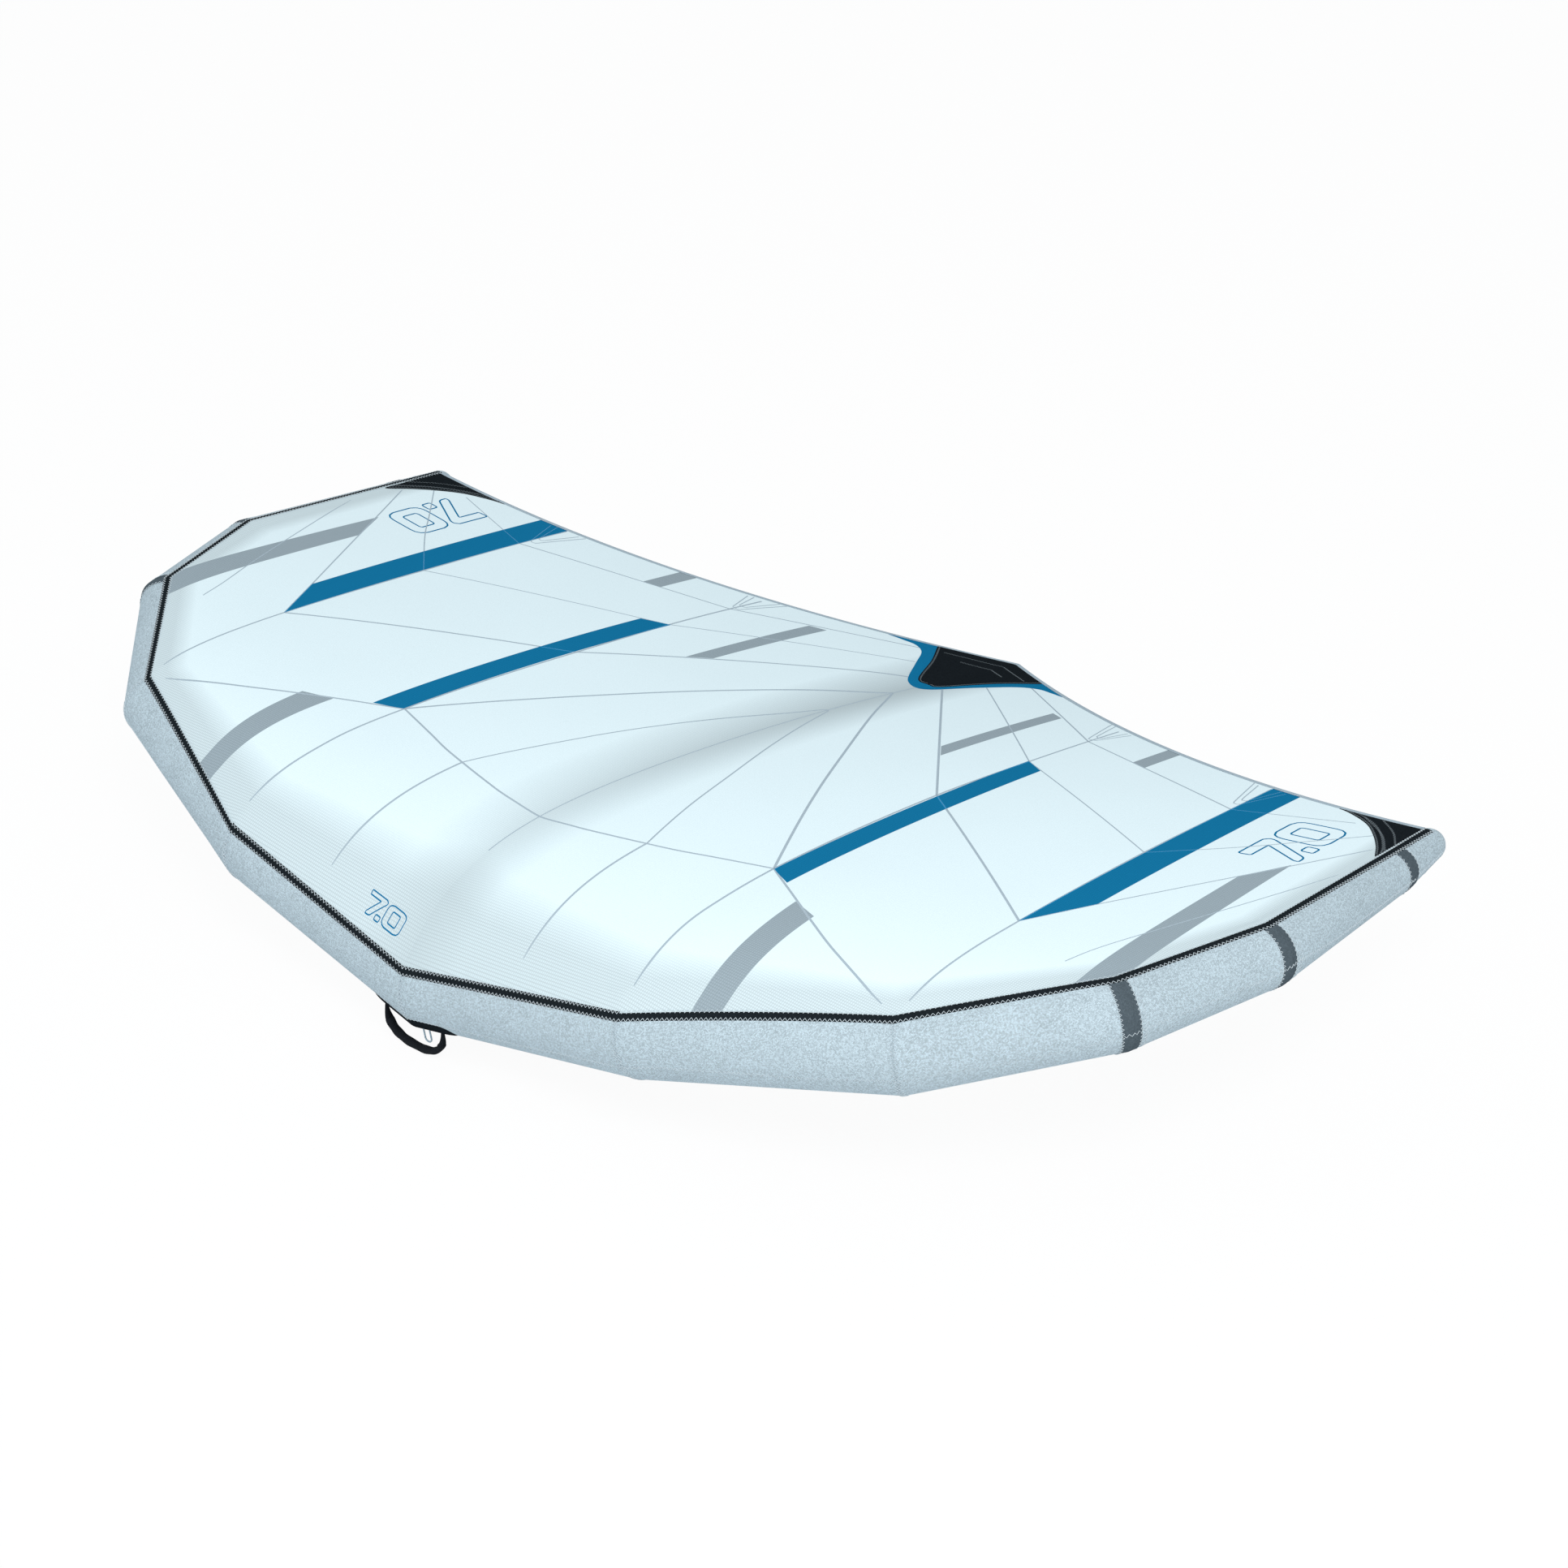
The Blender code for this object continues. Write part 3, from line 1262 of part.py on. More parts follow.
def valve(cutters, sleeve, bladder):
    """Housing on a welded flange, twist-out insert, sprung plunger and hinged cap."""
    frame = tube_frame(RIGHT, VALVE_STATION, VALVE_ANGLE_DEG)
    base_top = SEAT_GAP + VALVE_FLANGE_THICKNESS
    reach = VALVE_FLANGE_RADIUS * FLANGE_MARGIN / segment_length(0)
    bore = HOUSING_OUTER_RADIUS - HOUSING_WALL
    hole_radius = HOUSING_OUTER_RADIUS + FIT_GAP
    hole = cylinder("valve_hole", frame, hole_radius, -HOUSING_DEPTH * 2, HOUSING_DEPTH)
    cutters.append(hole)
    modify(sleeve, "DIFFERENCE", hole)
    modify(bladder, "DIFFERENCE", hole)
    ends = ((RIGHT, VALVE_STATION - reach), (RIGHT, VALVE_STATION + reach))
    flange = tube_skin("inflation_valve_base", ends, VALVE_ANGLE_DEG, 2, SEAT_GAP, base_top)
    disc = cylinder("valve_flange_outline", frame, VALVE_FLANGE_RADIUS, -HOUSING_DEPTH, HOUSING_DEPTH)
    housing = cylinder("valve_housing", frame, HOUSING_OUTER_RADIUS, -HOUSING_DEPTH, HOUSING_HEIGHT)
    through = cylinder("valve_bore", frame, bore, -HOUSING_DEPTH * 2, HOUSING_HEIGHT * 2)
    cutters.extend((disc, housing, through))
    modify(flange, "INTERSECT", disc)
    modify(flange, "UNION", housing)
    modify(flange, "DIFFERENCE", through)
    insert_radius = bore - FIT_GAP
    insert_bore = insert_radius - INSERT_WALL
    head_low = HOUSING_HEIGHT + FIT_GAP
    head_high = head_low + INSERT_HEAD_HEIGHT
    insert = lathe(
        "inflation_valve_insert",
        (
            (HOUSING_OUTER_RADIUS, head_low), (HOUSING_OUTER_RADIUS, head_high),
            (insert_bore, head_high), (insert_bore, -HOUSING_DEPTH), (insert_radius, -HOUSING_DEPTH),
            (insert_radius, head_low),
        ),
    )
    guide_low = 0.0
    guide_high = guide_low + INSERT_BRIDGE
    bridge = box(
        "valve_bridge",
        (-insert_bore - INSERT_WALL / 2, -INSERT_BRIDGE / 2, guide_low),
        (insert_bore + INSERT_WALL / 2, INSERT_BRIDGE / 2, guide_high),
    )
    guide = lathe(
        "valve_guide",
        (
            (0, guide_low), (INSERT_GUIDE_RADIUS, guide_low), (INSERT_GUIDE_RADIUS, guide_high),
            (0, guide_high),
        ),
    )
    guide_hole = lathe(
        "valve_guide_hole",
        (
            (0, guide_low - INSERT_BRIDGE),
            (PLUNGER_STEM_RADIUS + FIT_GAP, guide_low - INSERT_BRIDGE),
            (PLUNGER_STEM_RADIUS + FIT_GAP, guide_high + INSERT_BRIDGE),
            (0, guide_high + INSERT_BRIDGE),
        ),
    )
    cutters.extend((bridge, guide, guide_hole))
    modify(insert, "UNION", bridge)
    modify(insert, "UNION", guide)
    modify(insert, "DIFFERENCE", guide_hole)
    button_low = guide_high + PLUNGER_TRAVEL + FIT_GAP
    button_high = button_low + PLUNGER_BUTTON_HEIGHT
    disc_high = -HOUSING_DEPTH - FIT_GAP
    disc_low = disc_high - PLUNGER_DISC_THICKNESS
    disc_radius = insert_bore + INSERT_WALL / 2
    plunger = lathe(
        "inflation_valve_plunger",
        (
            (0, disc_low), (disc_radius, disc_low), (disc_radius, disc_high),
            (PLUNGER_STEM_RADIUS, disc_high), (PLUNGER_STEM_RADIUS, button_low),
            (PLUNGER_BUTTON_RADIUS, button_low), (PLUNGER_BUTTON_RADIUS, button_high), (0, button_high),
        ),
    )
    cap_low = head_high + FIT_GAP
    cap_high = cap_low + CAP_THICKNESS
    plug = insert_bore - FIT_GAP
    plug_low = cap_low - INSERT_HEAD_HEIGHT
    cap = lathe(
        "inflation_valve_cap",
        (
            (0, plug_low), (plug, plug_low), (plug, cap_low), (HOUSING_OUTER_RADIUS, cap_low),
            (HOUSING_OUTER_RADIUS, cap_high), (0, cap_high),
        ),
    )
    hinge_x = HOUSING_OUTER_RADIUS + CAP_HINGE_OFFSET
    hinge_z = (cap_low + cap_high) / 2
    arm_half = CAP_HINGE_WIDTH / 2 - CAP_HINGE_RADIUS * 2
    arm = box(
        "valve_cap_arm",
        (HOUSING_OUTER_RADIUS - CAP_THICKNESS, -arm_half, cap_low),
        (hinge_x, arm_half, cap_high),
    )
    knuckle = cylinder(
        "valve_cap_knuckle",
        Matrix.Translation((hinge_x, 0, hinge_z)) @ Matrix.Rotation(math.pi / 2, 4, "X"),
        CAP_HINGE_RADIUS,
        -arm_half,
        arm_half,
    )
    pin_hole = cylinder(
        "valve_cap_pin_hole",
        Matrix.Translation((hinge_x, 0, hinge_z)) @ Matrix.Rotation(math.pi / 2, 4, "X"),
        CAP_HINGE_RADIUS / 2 + FIT_GAP,
        -CAP_HINGE_WIDTH,
        CAP_HINGE_WIDTH,
        PIN_SIDES,
    )
    cutters.extend((arm, knuckle, pin_hole))
    modify(cap, "UNION", arm)
    modify(cap, "UNION", knuckle)
    modify(cap, "DIFFERENCE", pin_hole)
    pin = cylinder(
        "valve_hinge_pin",
        frame @ Matrix.Translation((hinge_x, 0, hinge_z)) @ Matrix.Rotation(math.pi / 2, 4, "X"),
        CAP_HINGE_RADIUS / 2,
        -CAP_HINGE_WIDTH / 2,
        CAP_HINGE_WIDTH / 2,
        PIN_SIDES,
    )
    for sign, label in ((1, "high"), (-1, "low")):
        inner_y = sign * (arm_half + FIT_GAP)
        outer_y = sign * CAP_HINGE_WIDTH / 2
        low_y, high_y = min(inner_y, outer_y), max(inner_y, outer_y)
        post = box(
            f"valve_post_{label}",
            (HOUSING_OUTER_RADIUS - HOUSING_WALL / 2, low_y, base_top),
            (hinge_x + CAP_HINGE_RADIUS, high_y, hinge_z + CAP_HINGE_RADIUS),
        )
        trim = cylinder(
            f"valve_post_trim_{label}", Matrix(), HOUSING_OUTER_RADIUS + FIT_GAP, HOUSING_HEIGHT,
            cap_high + CAP_THICKNESS,
        )
        cutters.extend((post, trim))
        modify(post, "DIFFERENCE", trim)
        post.matrix_world = frame
        trim.parent = post
        modify(flange, "UNION", post)
    cutters.append(pin)
    modify(flange, "UNION", pin)
    nodes = {
        "inflation_valve_base": flange, "inflation_valve_insert": insert,
        "inflation_valve_plunger": plunger, "inflation_valve_cap": cap,
    }
    for piece in (insert, plunger, cap):
        piece.matrix_world = frame
    for helper in (bridge, guide, guide_hole, arm, knuckle, pin_hole):
        helper.matrix_world = frame @ helper.matrix_world
    hinge = bpy.data.objects.new("inflation_valve_cap_pivot", None)
    hinge.matrix_world = frame @ Matrix.Translation((hinge_x, 0, hinge_z))
    return nodes, {"inflation_valve_cap": hinge}


def port(name, frame, skin, cutters):
    """A nipple on a thin flange that follows the fabric."""
    disc = cylinder(f"{name}_outline", frame, PORT_FLANGE_RADIUS, -NIPPLE_LENGTH, NIPPLE_LENGTH)
    nipple = cylinder(f"{name}_nipple", frame, NIPPLE_RADIUS, -NIPPLE_LENGTH / 3, NIPPLE_LENGTH)
    bore = cylinder(f"{name}_bore", frame, NIPPLE_BORE_RADIUS, -NIPPLE_LENGTH, NIPPLE_LENGTH * 2)
    cutters.extend((disc, nipple, bore))
    modify(skin, "INTERSECT", disc)
    modify(skin, "UNION", nipple)
    modify(skin, "DIFFERENCE", bore)
    return skin


def hose(cutters, sleeve, bladder, strut_sleeve, strut_bladder):
    front = tube_frame(LEFT, FRONT_PORT_STATION, FRONT_PORT_ANGLE_DEG)
    step = math.tau / STRUT_SIDES
    turn = -step * round(math.radians(90 + REAR_PORT_ANGLE_DEG) / step)
    here = strut_point(REAR_PORT_STATION, turn, 0)
    ahead = strut_point(REAR_PORT_STATION + STRUT_STATION_STEP, turn, 0) - here
    across = strut_point(REAR_PORT_STATION, turn + TANGENT_STEP, 0) - strut_point(
        REAR_PORT_STATION, turn - TANGENT_STEP, 0
    )
    outward = ahead.cross(across)
    if outward.x > 0:
        outward = -outward
    rear = frame_matrix(here, ahead, outward)
    low, high = SEAT_GAP, SEAT_GAP + PORT_BASE_THICKNESS
    reach = PORT_FLANGE_RADIUS * FLANGE_MARGIN / segment_length(0)
    ends = ((LEFT, FRONT_PORT_STATION - reach), (LEFT, FRONT_PORT_STATION + reach))
    front_skin = tube_skin("hose_port_front", ends, FRONT_PORT_ANGLE_DEG, 1, low, high)
    turns = [turn + step * (i + 0.5) for i in range(-2, 2)]
    span = PORT_SKIN_STATIONS
    walls = []
    stations = [REAR_PORT_STATION - span] + [
        i for i in range(len(STRUT_FRAMES)) if REAR_PORT_STATION - span < i < REAR_PORT_STATION + span
    ] + [REAR_PORT_STATION + span]
    for offset in (high, low):
        walls.append([[strut_point(at, angle, offset) for angle in turns] for at in stations])
    rear_skin = shell_loft("hose_port_rear", *walls, around=False)
    nodes = {
        "hose_port_front": port("hose_port_front", front, front_skin, cutters),
        "hose_port_rear": port("hose_port_rear", rear, rear_skin, cutters),
    }
    for frame, pieces, label in (
        (front, (sleeve, bladder), "front"), (rear, (strut_sleeve, strut_bladder), "rear")
    ):
        hole = cylinder(
            f"hose_hole_{label}", frame, NIPPLE_RADIUS + FIT_GAP, -NIPPLE_LENGTH, NIPPLE_LENGTH
        )
        cutters.append(hole)
        for piece in pieces:
            modify(piece, "DIFFERENCE", hole)
    starts = [frame @ Vector((0, 0, HOSE_START)) for frame in (front, rear)]
    directions = [(frame.to_3x3() @ Vector((0, 0, 1))).normalized() for frame in (front, rear)]
    controls = [
        starts[0], starts[0] + directions[0] * HOSE_BEND, starts[1] + directions[1] * HOSE_BEND, starts[1]
    ]
    path = []
    straight = NIPPLE_LENGTH - HOSE_START
    path.append(starts[0])
    ends = [starts[0] + directions[0] * straight, starts[1] + directions[1] * straight]
    controls[0], controls[3] = ends
    for i in range(HOSE_STEPS + 1):
        share = i / HOSE_STEPS
        weights = (
            (1 - share) ** 3, 3 * share * (1 - share) ** 2, 3 * share ** 2 * (1 - share), share ** 3
        )
        path.append(sum((control * weight for control, weight in zip(controls, weights)), Vector()))
    path.append(starts[1])
    side_way = (directions[0].cross(Vector((0, 0, 1)))).normalized()
    outer, inner = [], []
    frames = []
    for i, point in enumerate(path):
        travel = (path[min(i + 1, len(path) - 1)] - path[max(i - 1, 0)]).normalized()
        side_way = (side_way - side_way.dot(travel) * travel).normalized()
        other = travel.cross(side_way)
        frames.append((point, travel, side_way))
        turns = [math.tau * k / CORD_SIDES for k in range(CORD_SIDES)]
        outer.append(
            [point + (side_way * math.cos(a) + other * math.sin(a)) * HOSE_RADIUS for a in turns]
        )
        inner.append(
            [point + (side_way * math.cos(a) + other * math.sin(a)) * HOSE_BORE_RADIUS for a in turns]
        )
    nodes["strut_hose"] = shell_loft("strut_hose", outer, inner)
    middle = frames[len(frames) // 2]
    return nodes, middle


def clip(cutters, place):
    """A pinch clip whose jaw swings open about a pin beside the hose. Local X runs across it, local Y along it."""
    point, travel, side_way = place
    frame = frame_matrix(point, side_way, side_way.cross(travel))
    gap = HOSE_RADIUS + SEAT_GAP
    half_width = CLIP_WIDTH / 2
    pin_x = -CLIP_LENGTH / 2 + CLIP_PIN_RADIUS
    knuckle_half = half_width / 3
    low_plate = box(
        "hose_clip_base",
        (-CLIP_LENGTH / 2, -half_width, -gap - CLIP_THICKNESS),
        (CLIP_LENGTH / 2, half_width, -gap),
    )
    turn = Matrix.Rotation(math.pi / 2, 4, "X")
    at_pin = Matrix.Translation((pin_x, 0, 0)) @ turn
    for sign, label in ((1, "high"), (-1, "low")):
        inner_y = sign * (knuckle_half + FIT_GAP)
        outer_y = sign * half_width
        low_y, high_y = min(inner_y, outer_y), max(inner_y, outer_y)
        post = box(
            f"clip_post_{label}",
            (-CLIP_LENGTH / 2, low_y, -gap - CLIP_THICKNESS / 2),
            (pin_x + CLIP_PIN_RADIUS, high_y, CLIP_PIN_RADIUS),
        )
        cutters.append(post)
        modify(low_plate, "UNION", post)
    pin = cylinder(
        "clip_pin", at_pin, CLIP_PIN_RADIUS / 2, -half_width * PIN_LENGTH_SHARE,
        half_width * PIN_LENGTH_SHARE, PIN_SIDES,
    )
    cutters.append(pin)
    modify(low_plate, "UNION", pin)
    jaw = box(
        "hose_clip_jaw",
        (pin_x - CLIP_PIN_RADIUS, -knuckle_half, gap),
        (CLIP_LENGTH / 2, knuckle_half, gap + CLIP_THICKNESS),
    )
    arm = box(
        "clip_jaw_arm",
        (pin_x - CLIP_PIN_RADIUS, -knuckle_half, 0),
        (pin_x + CLIP_PIN_RADIUS, knuckle_half, gap + CLIP_THICKNESS / 2),
    )
    knuckle = cylinder("clip_knuckle", at_pin, CLIP_PIN_RADIUS, -knuckle_half, knuckle_half, PIN_SIDES)
    hole = cylinder(
        "clip_pin_hole", at_pin, CLIP_PIN_RADIUS / 2 + FIT_GAP, -CLIP_WIDTH, CLIP_WIDTH, PIN_SIDES
    )
    cutters.extend((arm, knuckle, hole))
    modify(jaw, "UNION", arm)
    modify(jaw, "UNION", knuckle)
    modify(jaw, "DIFFERENCE", hole)
    for piece in (low_plate, jaw):
        piece.matrix_world = frame
    for helper in cutters[-6:]:
        helper.matrix_world = frame @ helper.matrix_world
    pivot = bpy.data.objects.new("hose_clip_pivot", None)
    pivot.matrix_world = frame @ Matrix.Translation((pin_x, 0, 0))
    return {"hose_clip_base": low_plate, "hose_clip_jaw": jaw}, {"hose_clip_jaw": pivot}


COLOURS = (
    ("le_sleeve", (0.40, 0.47, 0.53), 0.75),
    ("le_corner_band", (0.045, 0.06, 0.08), 0.7),
    ("le_seam_tape", (0.015, 0.018, 0.022), 0.6),
    ("le_bladder", (0.75, 0.78, 0.80), 0.3),
    ("canopy", (0.78, 0.85, 0.90), 0.45),
    ("trailing_edge_hem", (0.45, 0.50, 0.54), 0.6),
    ("trailing_edge_patch", (0.02, 0.025, 0.03), 0.55),
    ("trailing_edge_border", (0.012, 0.18, 0.36), 0.5),
    ("wingtip_patch", (0.02, 0.025, 0.03), 0.55),
    ("strut_sleeve", (0.40, 0.47, 0.53), 0.75),
    ("strut_bladder", (0.75, 0.78, 0.80), 0.3),
    ("nose_handle_patch", (0.02, 0.022, 0.026), 0.7),
    ("front_handle_patch", (0.02, 0.022, 0.026), 0.7),
    ("rear_handle_patch", (0.02, 0.022, 0.026), 0.7),
    ("leash_loop", (0.45, 0.55, 0.62), 0.7),
    ("inflation_valve_base", (0.08, 0.09, 0.10), 0.45),
    ("inflation_valve_insert", (0.02, 0.2, 0.4), 0.4),
    ("inflation_valve_plunger", (0.7, 0.72, 0.74), 0.4),
    ("inflation_valve_cap", (0.03, 0.03, 0.035), 0.45),
    ("strut_hose", (0.65, 0.70, 0.73), 0.35),
    ("hose_port", (0.6, 0.64, 0.67), 0.4),
    ("hose_clip", (0.02, 0.2, 0.4), 0.4),
)
DARK_WEBBING = ((0.02, 0.022, 0.026), 0.7)


def colour_of(name):
    for start, colour, roughness in COLOURS:
        if name.startswith(start):
            return colour, roughness
    return DARK_WEBBING


def build():
    clear_scene()
    scene = bpy.context.scene
    parts = bpy.data.collections.new("wingfoil_wing")
    helpers = bpy.data.collections.new("cutters")
    helpers.hide_render = True
    scene.collection.children.link(parts)
    scene.collection.children.link(helpers)
    cutters = []
    nodes = leading_edge(cutters)
    nodes["le_seam_tape"] = seam_tape(cutters)
    film = -SLEEVE_THICKNESS - BLADDER_GAP
    bladder = solid_loft("le_bladder", both_ends(film))
    hollow = solid_loft("le_bladder_hollow", both_ends(film - BLADDER_THICKNESS))
    cutters.append(hollow)
    modify(bladder, "DIFFERENCE", hollow)
    nodes["le_bladder"] = bladder
    nodes.update(canopy(cutters))
    nodes.update(strut(cutters))
    pivots = []
    for name, station in (("front_handle", FRONT_HANDLE_STATION), ("rear_handle", REAR_HANDLE_STATION)):
        pivot, pieces = handle(name, strut_roots(station), STRUT_HANDLE)
        pivots.append(pivot)
        nodes.update(pieces)
        nodes[f"{name}_patch"] = strut_patch(f"{name}_patch", station, cutters)
    pivot, pieces = handle("nose_handle", (nose_root(LEFT), nose_root(RIGHT)), NOSE_HANDLE)
    pivots.append(pivot)
    nodes.update(pieces)
    nodes["nose_handle_patch"] = nose_patch(cutters)
    loop = cord_loop("leash_loop", LEASH_REACH, LEASH_DROP, LEASH_RADIUS)
    under = tube_frame(RIGHT, LEASH_STATION, LEASH_ANGLE_DEG)
    seat = under @ Vector((0, 0, SEAT_GAP + PATCH_THICKNESS + SEAT_GAP + LEASH_RADIUS))
    loop_pivot = bpy.data.objects.new("leash_loop_pivot", None)
    loop_pivot.matrix_world = axis_matrix(seat, under.to_3x3().col[0], Vector((0, 0, 1)))
    loop.parent = loop_pivot
    pivots.append(loop_pivot)
    nodes["leash_loop"] = loop
    pieces, hinges = valve(cutters, nodes["le_sleeve_right_1"], bladder)
    nodes.update(pieces)
    more, place = hose(
        cutters, nodes["le_sleeve_left_1"], bladder, nodes["strut_sleeve_front"], nodes["strut_bladder"]
    )
    nodes.update(more)
    pieces, clip_hinges = clip(cutters, place)
    nodes.update(pieces)
    hinges.update(clip_hinges)
    front = roots_frame(strut_roots(FRONT_HANDLE_STATION))
    grip = front @ Vector((0, 0, -GRIP_DROP))
    root = bpy.data.objects.new("wing_frame", None)
    root.location = -grip
    parts.objects.link(root)
    for name, hinge in hinges.items():
        piece = nodes[name]
        local = hinge.matrix_world.inverted() @ piece.matrix_world
        piece.parent = hinge
        piece.matrix_basis = local
        pivots.append(hinge)
    for pivot in pivots:
        parts.objects.link(pivot)
        pivot.parent = root
    for name, piece in nodes.items():
        colour, roughness = colour_of(name)
        piece.data.materials.append(material(name, colour, roughness))
        parts.objects.link(piece)
        if piece.parent is None:
            piece.parent = root
    for cutter in cutters:
        helpers.objects.link(cutter)
        cutter.display_type = "WIRE"
        cutter.hide_render = True
        if cutter.parent is None:
            cutter.parent = root
    return nodes


if __name__ == "__main__":
    build()
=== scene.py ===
"""Looks of a hand-held inflatable wing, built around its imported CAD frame.

Cloth is made as sheets on the same surfaces that the frame was built on: a swept tube with mitred corners, a
cambered canopy behind it and a tapered strut below. Every length is in metres. Points are worked out from the
middle of the nose seam and then moved to the frame's own origin, the middle of the front grip.
"""

import math

import bmesh
import bpy
import numpy as np
from mathutils import Matrix, Vector
from mathutils.geometry import delaunay_2d_cdt

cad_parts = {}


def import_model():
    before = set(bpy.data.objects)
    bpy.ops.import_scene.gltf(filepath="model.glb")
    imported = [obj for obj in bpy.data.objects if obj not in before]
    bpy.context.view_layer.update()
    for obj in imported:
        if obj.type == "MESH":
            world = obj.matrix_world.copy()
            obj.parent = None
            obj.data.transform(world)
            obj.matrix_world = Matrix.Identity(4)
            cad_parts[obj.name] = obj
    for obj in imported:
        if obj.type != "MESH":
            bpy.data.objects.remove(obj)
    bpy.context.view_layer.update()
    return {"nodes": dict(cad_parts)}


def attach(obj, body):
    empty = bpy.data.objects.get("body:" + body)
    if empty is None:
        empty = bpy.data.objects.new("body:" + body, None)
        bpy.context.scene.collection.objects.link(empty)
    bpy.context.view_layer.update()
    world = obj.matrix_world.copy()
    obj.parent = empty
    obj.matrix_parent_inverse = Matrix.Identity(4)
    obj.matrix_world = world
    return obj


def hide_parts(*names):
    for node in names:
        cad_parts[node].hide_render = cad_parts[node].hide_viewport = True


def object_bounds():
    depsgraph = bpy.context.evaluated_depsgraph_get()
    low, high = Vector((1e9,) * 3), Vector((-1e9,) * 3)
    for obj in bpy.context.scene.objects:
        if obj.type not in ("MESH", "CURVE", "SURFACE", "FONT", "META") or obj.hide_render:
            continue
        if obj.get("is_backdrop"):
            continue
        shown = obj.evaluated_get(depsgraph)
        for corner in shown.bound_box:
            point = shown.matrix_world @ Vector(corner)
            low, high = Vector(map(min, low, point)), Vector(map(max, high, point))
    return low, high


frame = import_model()

bl_info = {
    "name": "Inflatable hand wing",
    "version": (1, 0, 0),
    "blender": (4, 5, 0),
    "location": "View3D > Sidebar > Wing",
    "description": "Builds the cloth, stitching and fittings of an inflatable hand wing",
    "category": "Object",
}

# Sizes shared with the frame

HALF_SPAN = 1.70
ROOT_CHORD = 2.492
TIP_RISE = 0.320
TIP_RISE_SHARES = (0.0, 0.397, 0.797, 1.0, 0.985, 0.753, 0.688)
CORNER_SPAN_SHARES = (0.0, 0.3824, 0.7294, 0.9235, 1.0, 1.0, 1.0)
CORNER_CHORD_SHARES = (0.0, 0.0197, 0.1148, 0.2548, 0.4169, 0.6521, 0.7191)
TAPE_ANGLES_DEG = (28.0, 36.0, 72.0, 90.0, 93.0, 95.0, 95.0)
NOSE_RADIUS = 0.140
RADIUS_SHARES = (1.0, 0.943, 0.75, 0.639, 0.564, 0.407, 0.300)
CAMBER_DEPTH = 0.251
CAMBER_SPAN_POWER = 1.15
CAMBER_FULLNESS = 1.141
CAMBER_NOSE_SHARE = 0.075
CAMBER_REAR_FULLNESS = 0.9
VALLEY_DEPTH = 0.010
VALLEY_WIDTH = 0.08
VALLEY_FADE_SHARE = 0.1
TRAILING_MIDDLE_CHORD_SHARE = 0.7476
ROOT_TRAILING_DROP = 0.163
TRAILING_MIDDLE_RISE = 0.0665
CANOPY_THICKNESS = 0.0012
STRUT_CANOPY_GAP = 0.0009
STRUT_RADIUS = 0.066
STRUT_STATION_SHARES = (0.074, 0.105, 0.14, 0.19, 0.25, 0.32, 0.40, 0.49, 0.58, 0.67, 0.76, 0.85)
STRUT_RADIUS_SHARES = (0.92, 0.96, 1.0, 1.0, 1.0, 1.0, 1.0, 0.97, 0.91, 0.84, 0.74, 0.62)
STRUT_NOSE_DROPS = (0.155, 0.093, 0.031)
STRUT_PANEL_ENDS = (0.0, 5.6, 8.6, 11.0)
LAST_CORNER = 6
NOSE_OVERLAP = 0.05
RIGHT, LEFT = 1, -1
SIDE_NAMES = {RIGHT: "right", LEFT: "left"}

# The frame's origin, the middle of the front grip, seen from the middle of the nose seam
ORIGIN = np.array((0.0, 0.611702, -0.039181))

# Sizes of the visible cloth

TUBE_SIDES = 120
TUBE_ROUNDNESS = 0.9957
CLOTH = 0.0008
TAPE_CLOTH = 0.0006
PATCH_CLOTH = 0.0007
FILM = 0.0004
TAPE_HALF_WIDTH = 0.012
BAND_HALF_WIDTH = 0.0225
BAND_CORNERS = (3, 4, 5)
BAND_LIFT = 0.0012
CANOPY_LIFT = 0.0012
CANOPY_TUCK = 0.004
TUBE_BLEND = 0.0006
SEAM_CLOTH = 0.00035
STRIP_LIFT = 0.00005
HEM_WIDTH = 0.014
EDGE_GAP = 0.0006
PATCH_LIFT = 0.0009
CENTRE_PATCH_LIFT = PATCH_LIFT + 0.0004

# Steps along lines and surfaces

LINE_STEP = 0.012
STITCH_STEP = 0.004
OFFSET_STEP = 0.01
NORMAL_STEP = 2e-3


# Small vector helpers

def unit(vector):
    vector = np.asarray(vector, float)
    return vector / np.linalg.norm(vector, axis=-1, keepdims=True)


def dot(first, second):
    return (first * second).sum(axis=-1)


def lerp(first, second, share):
    return first + (second - first) * share


def floats(*values):
    """These values as float arrays of one shape."""
    return np.broadcast_arrays(*(np.asarray(value, float) for value in values))


def mirror(side):
    """Factors that put points of the right half on this side, or on the sides in an array."""
    side = np.asarray(side, float)
    return np.stack((side, np.ones_like(side), np.ones_like(side)), axis=-1)


def along_line(points):
    """Distance along a line of points."""
    return np.concatenate(([0], np.cumsum(np.linalg.norm(np.diff(points, axis=0), axis=1))))


def smooth_line(points, step):
    """A curve through these points, as points about one step apart."""
    points = np.asarray(points, float)
    if len(points) == 2:
        count = max(2, int(np.linalg.norm(points[1] - points[0]) / step) + 1)
        return points[0] + (points[1] - points[0]) * np.linspace(0, 1, count)[:, None]
    padded = np.vstack((2 * points[0] - points[1], points, 2 * points[-1] - points[-2]))
    made = []
    for i in range(len(points) - 1):
        a, b, c, d = padded[i:i + 4]
        count = max(1, int(np.linalg.norm(c - b) / step))
        t = (np.arange(count) / count)[:, None]
        curve = 2 * b + (c - a) * t + (2 * a - 5 * b + 4 * c - d) * t**2 + (3 * b - a - 3 * c + d) * t**3
        made.append(0.5 * curve)
    return np.vstack((*made, points[-1:]))


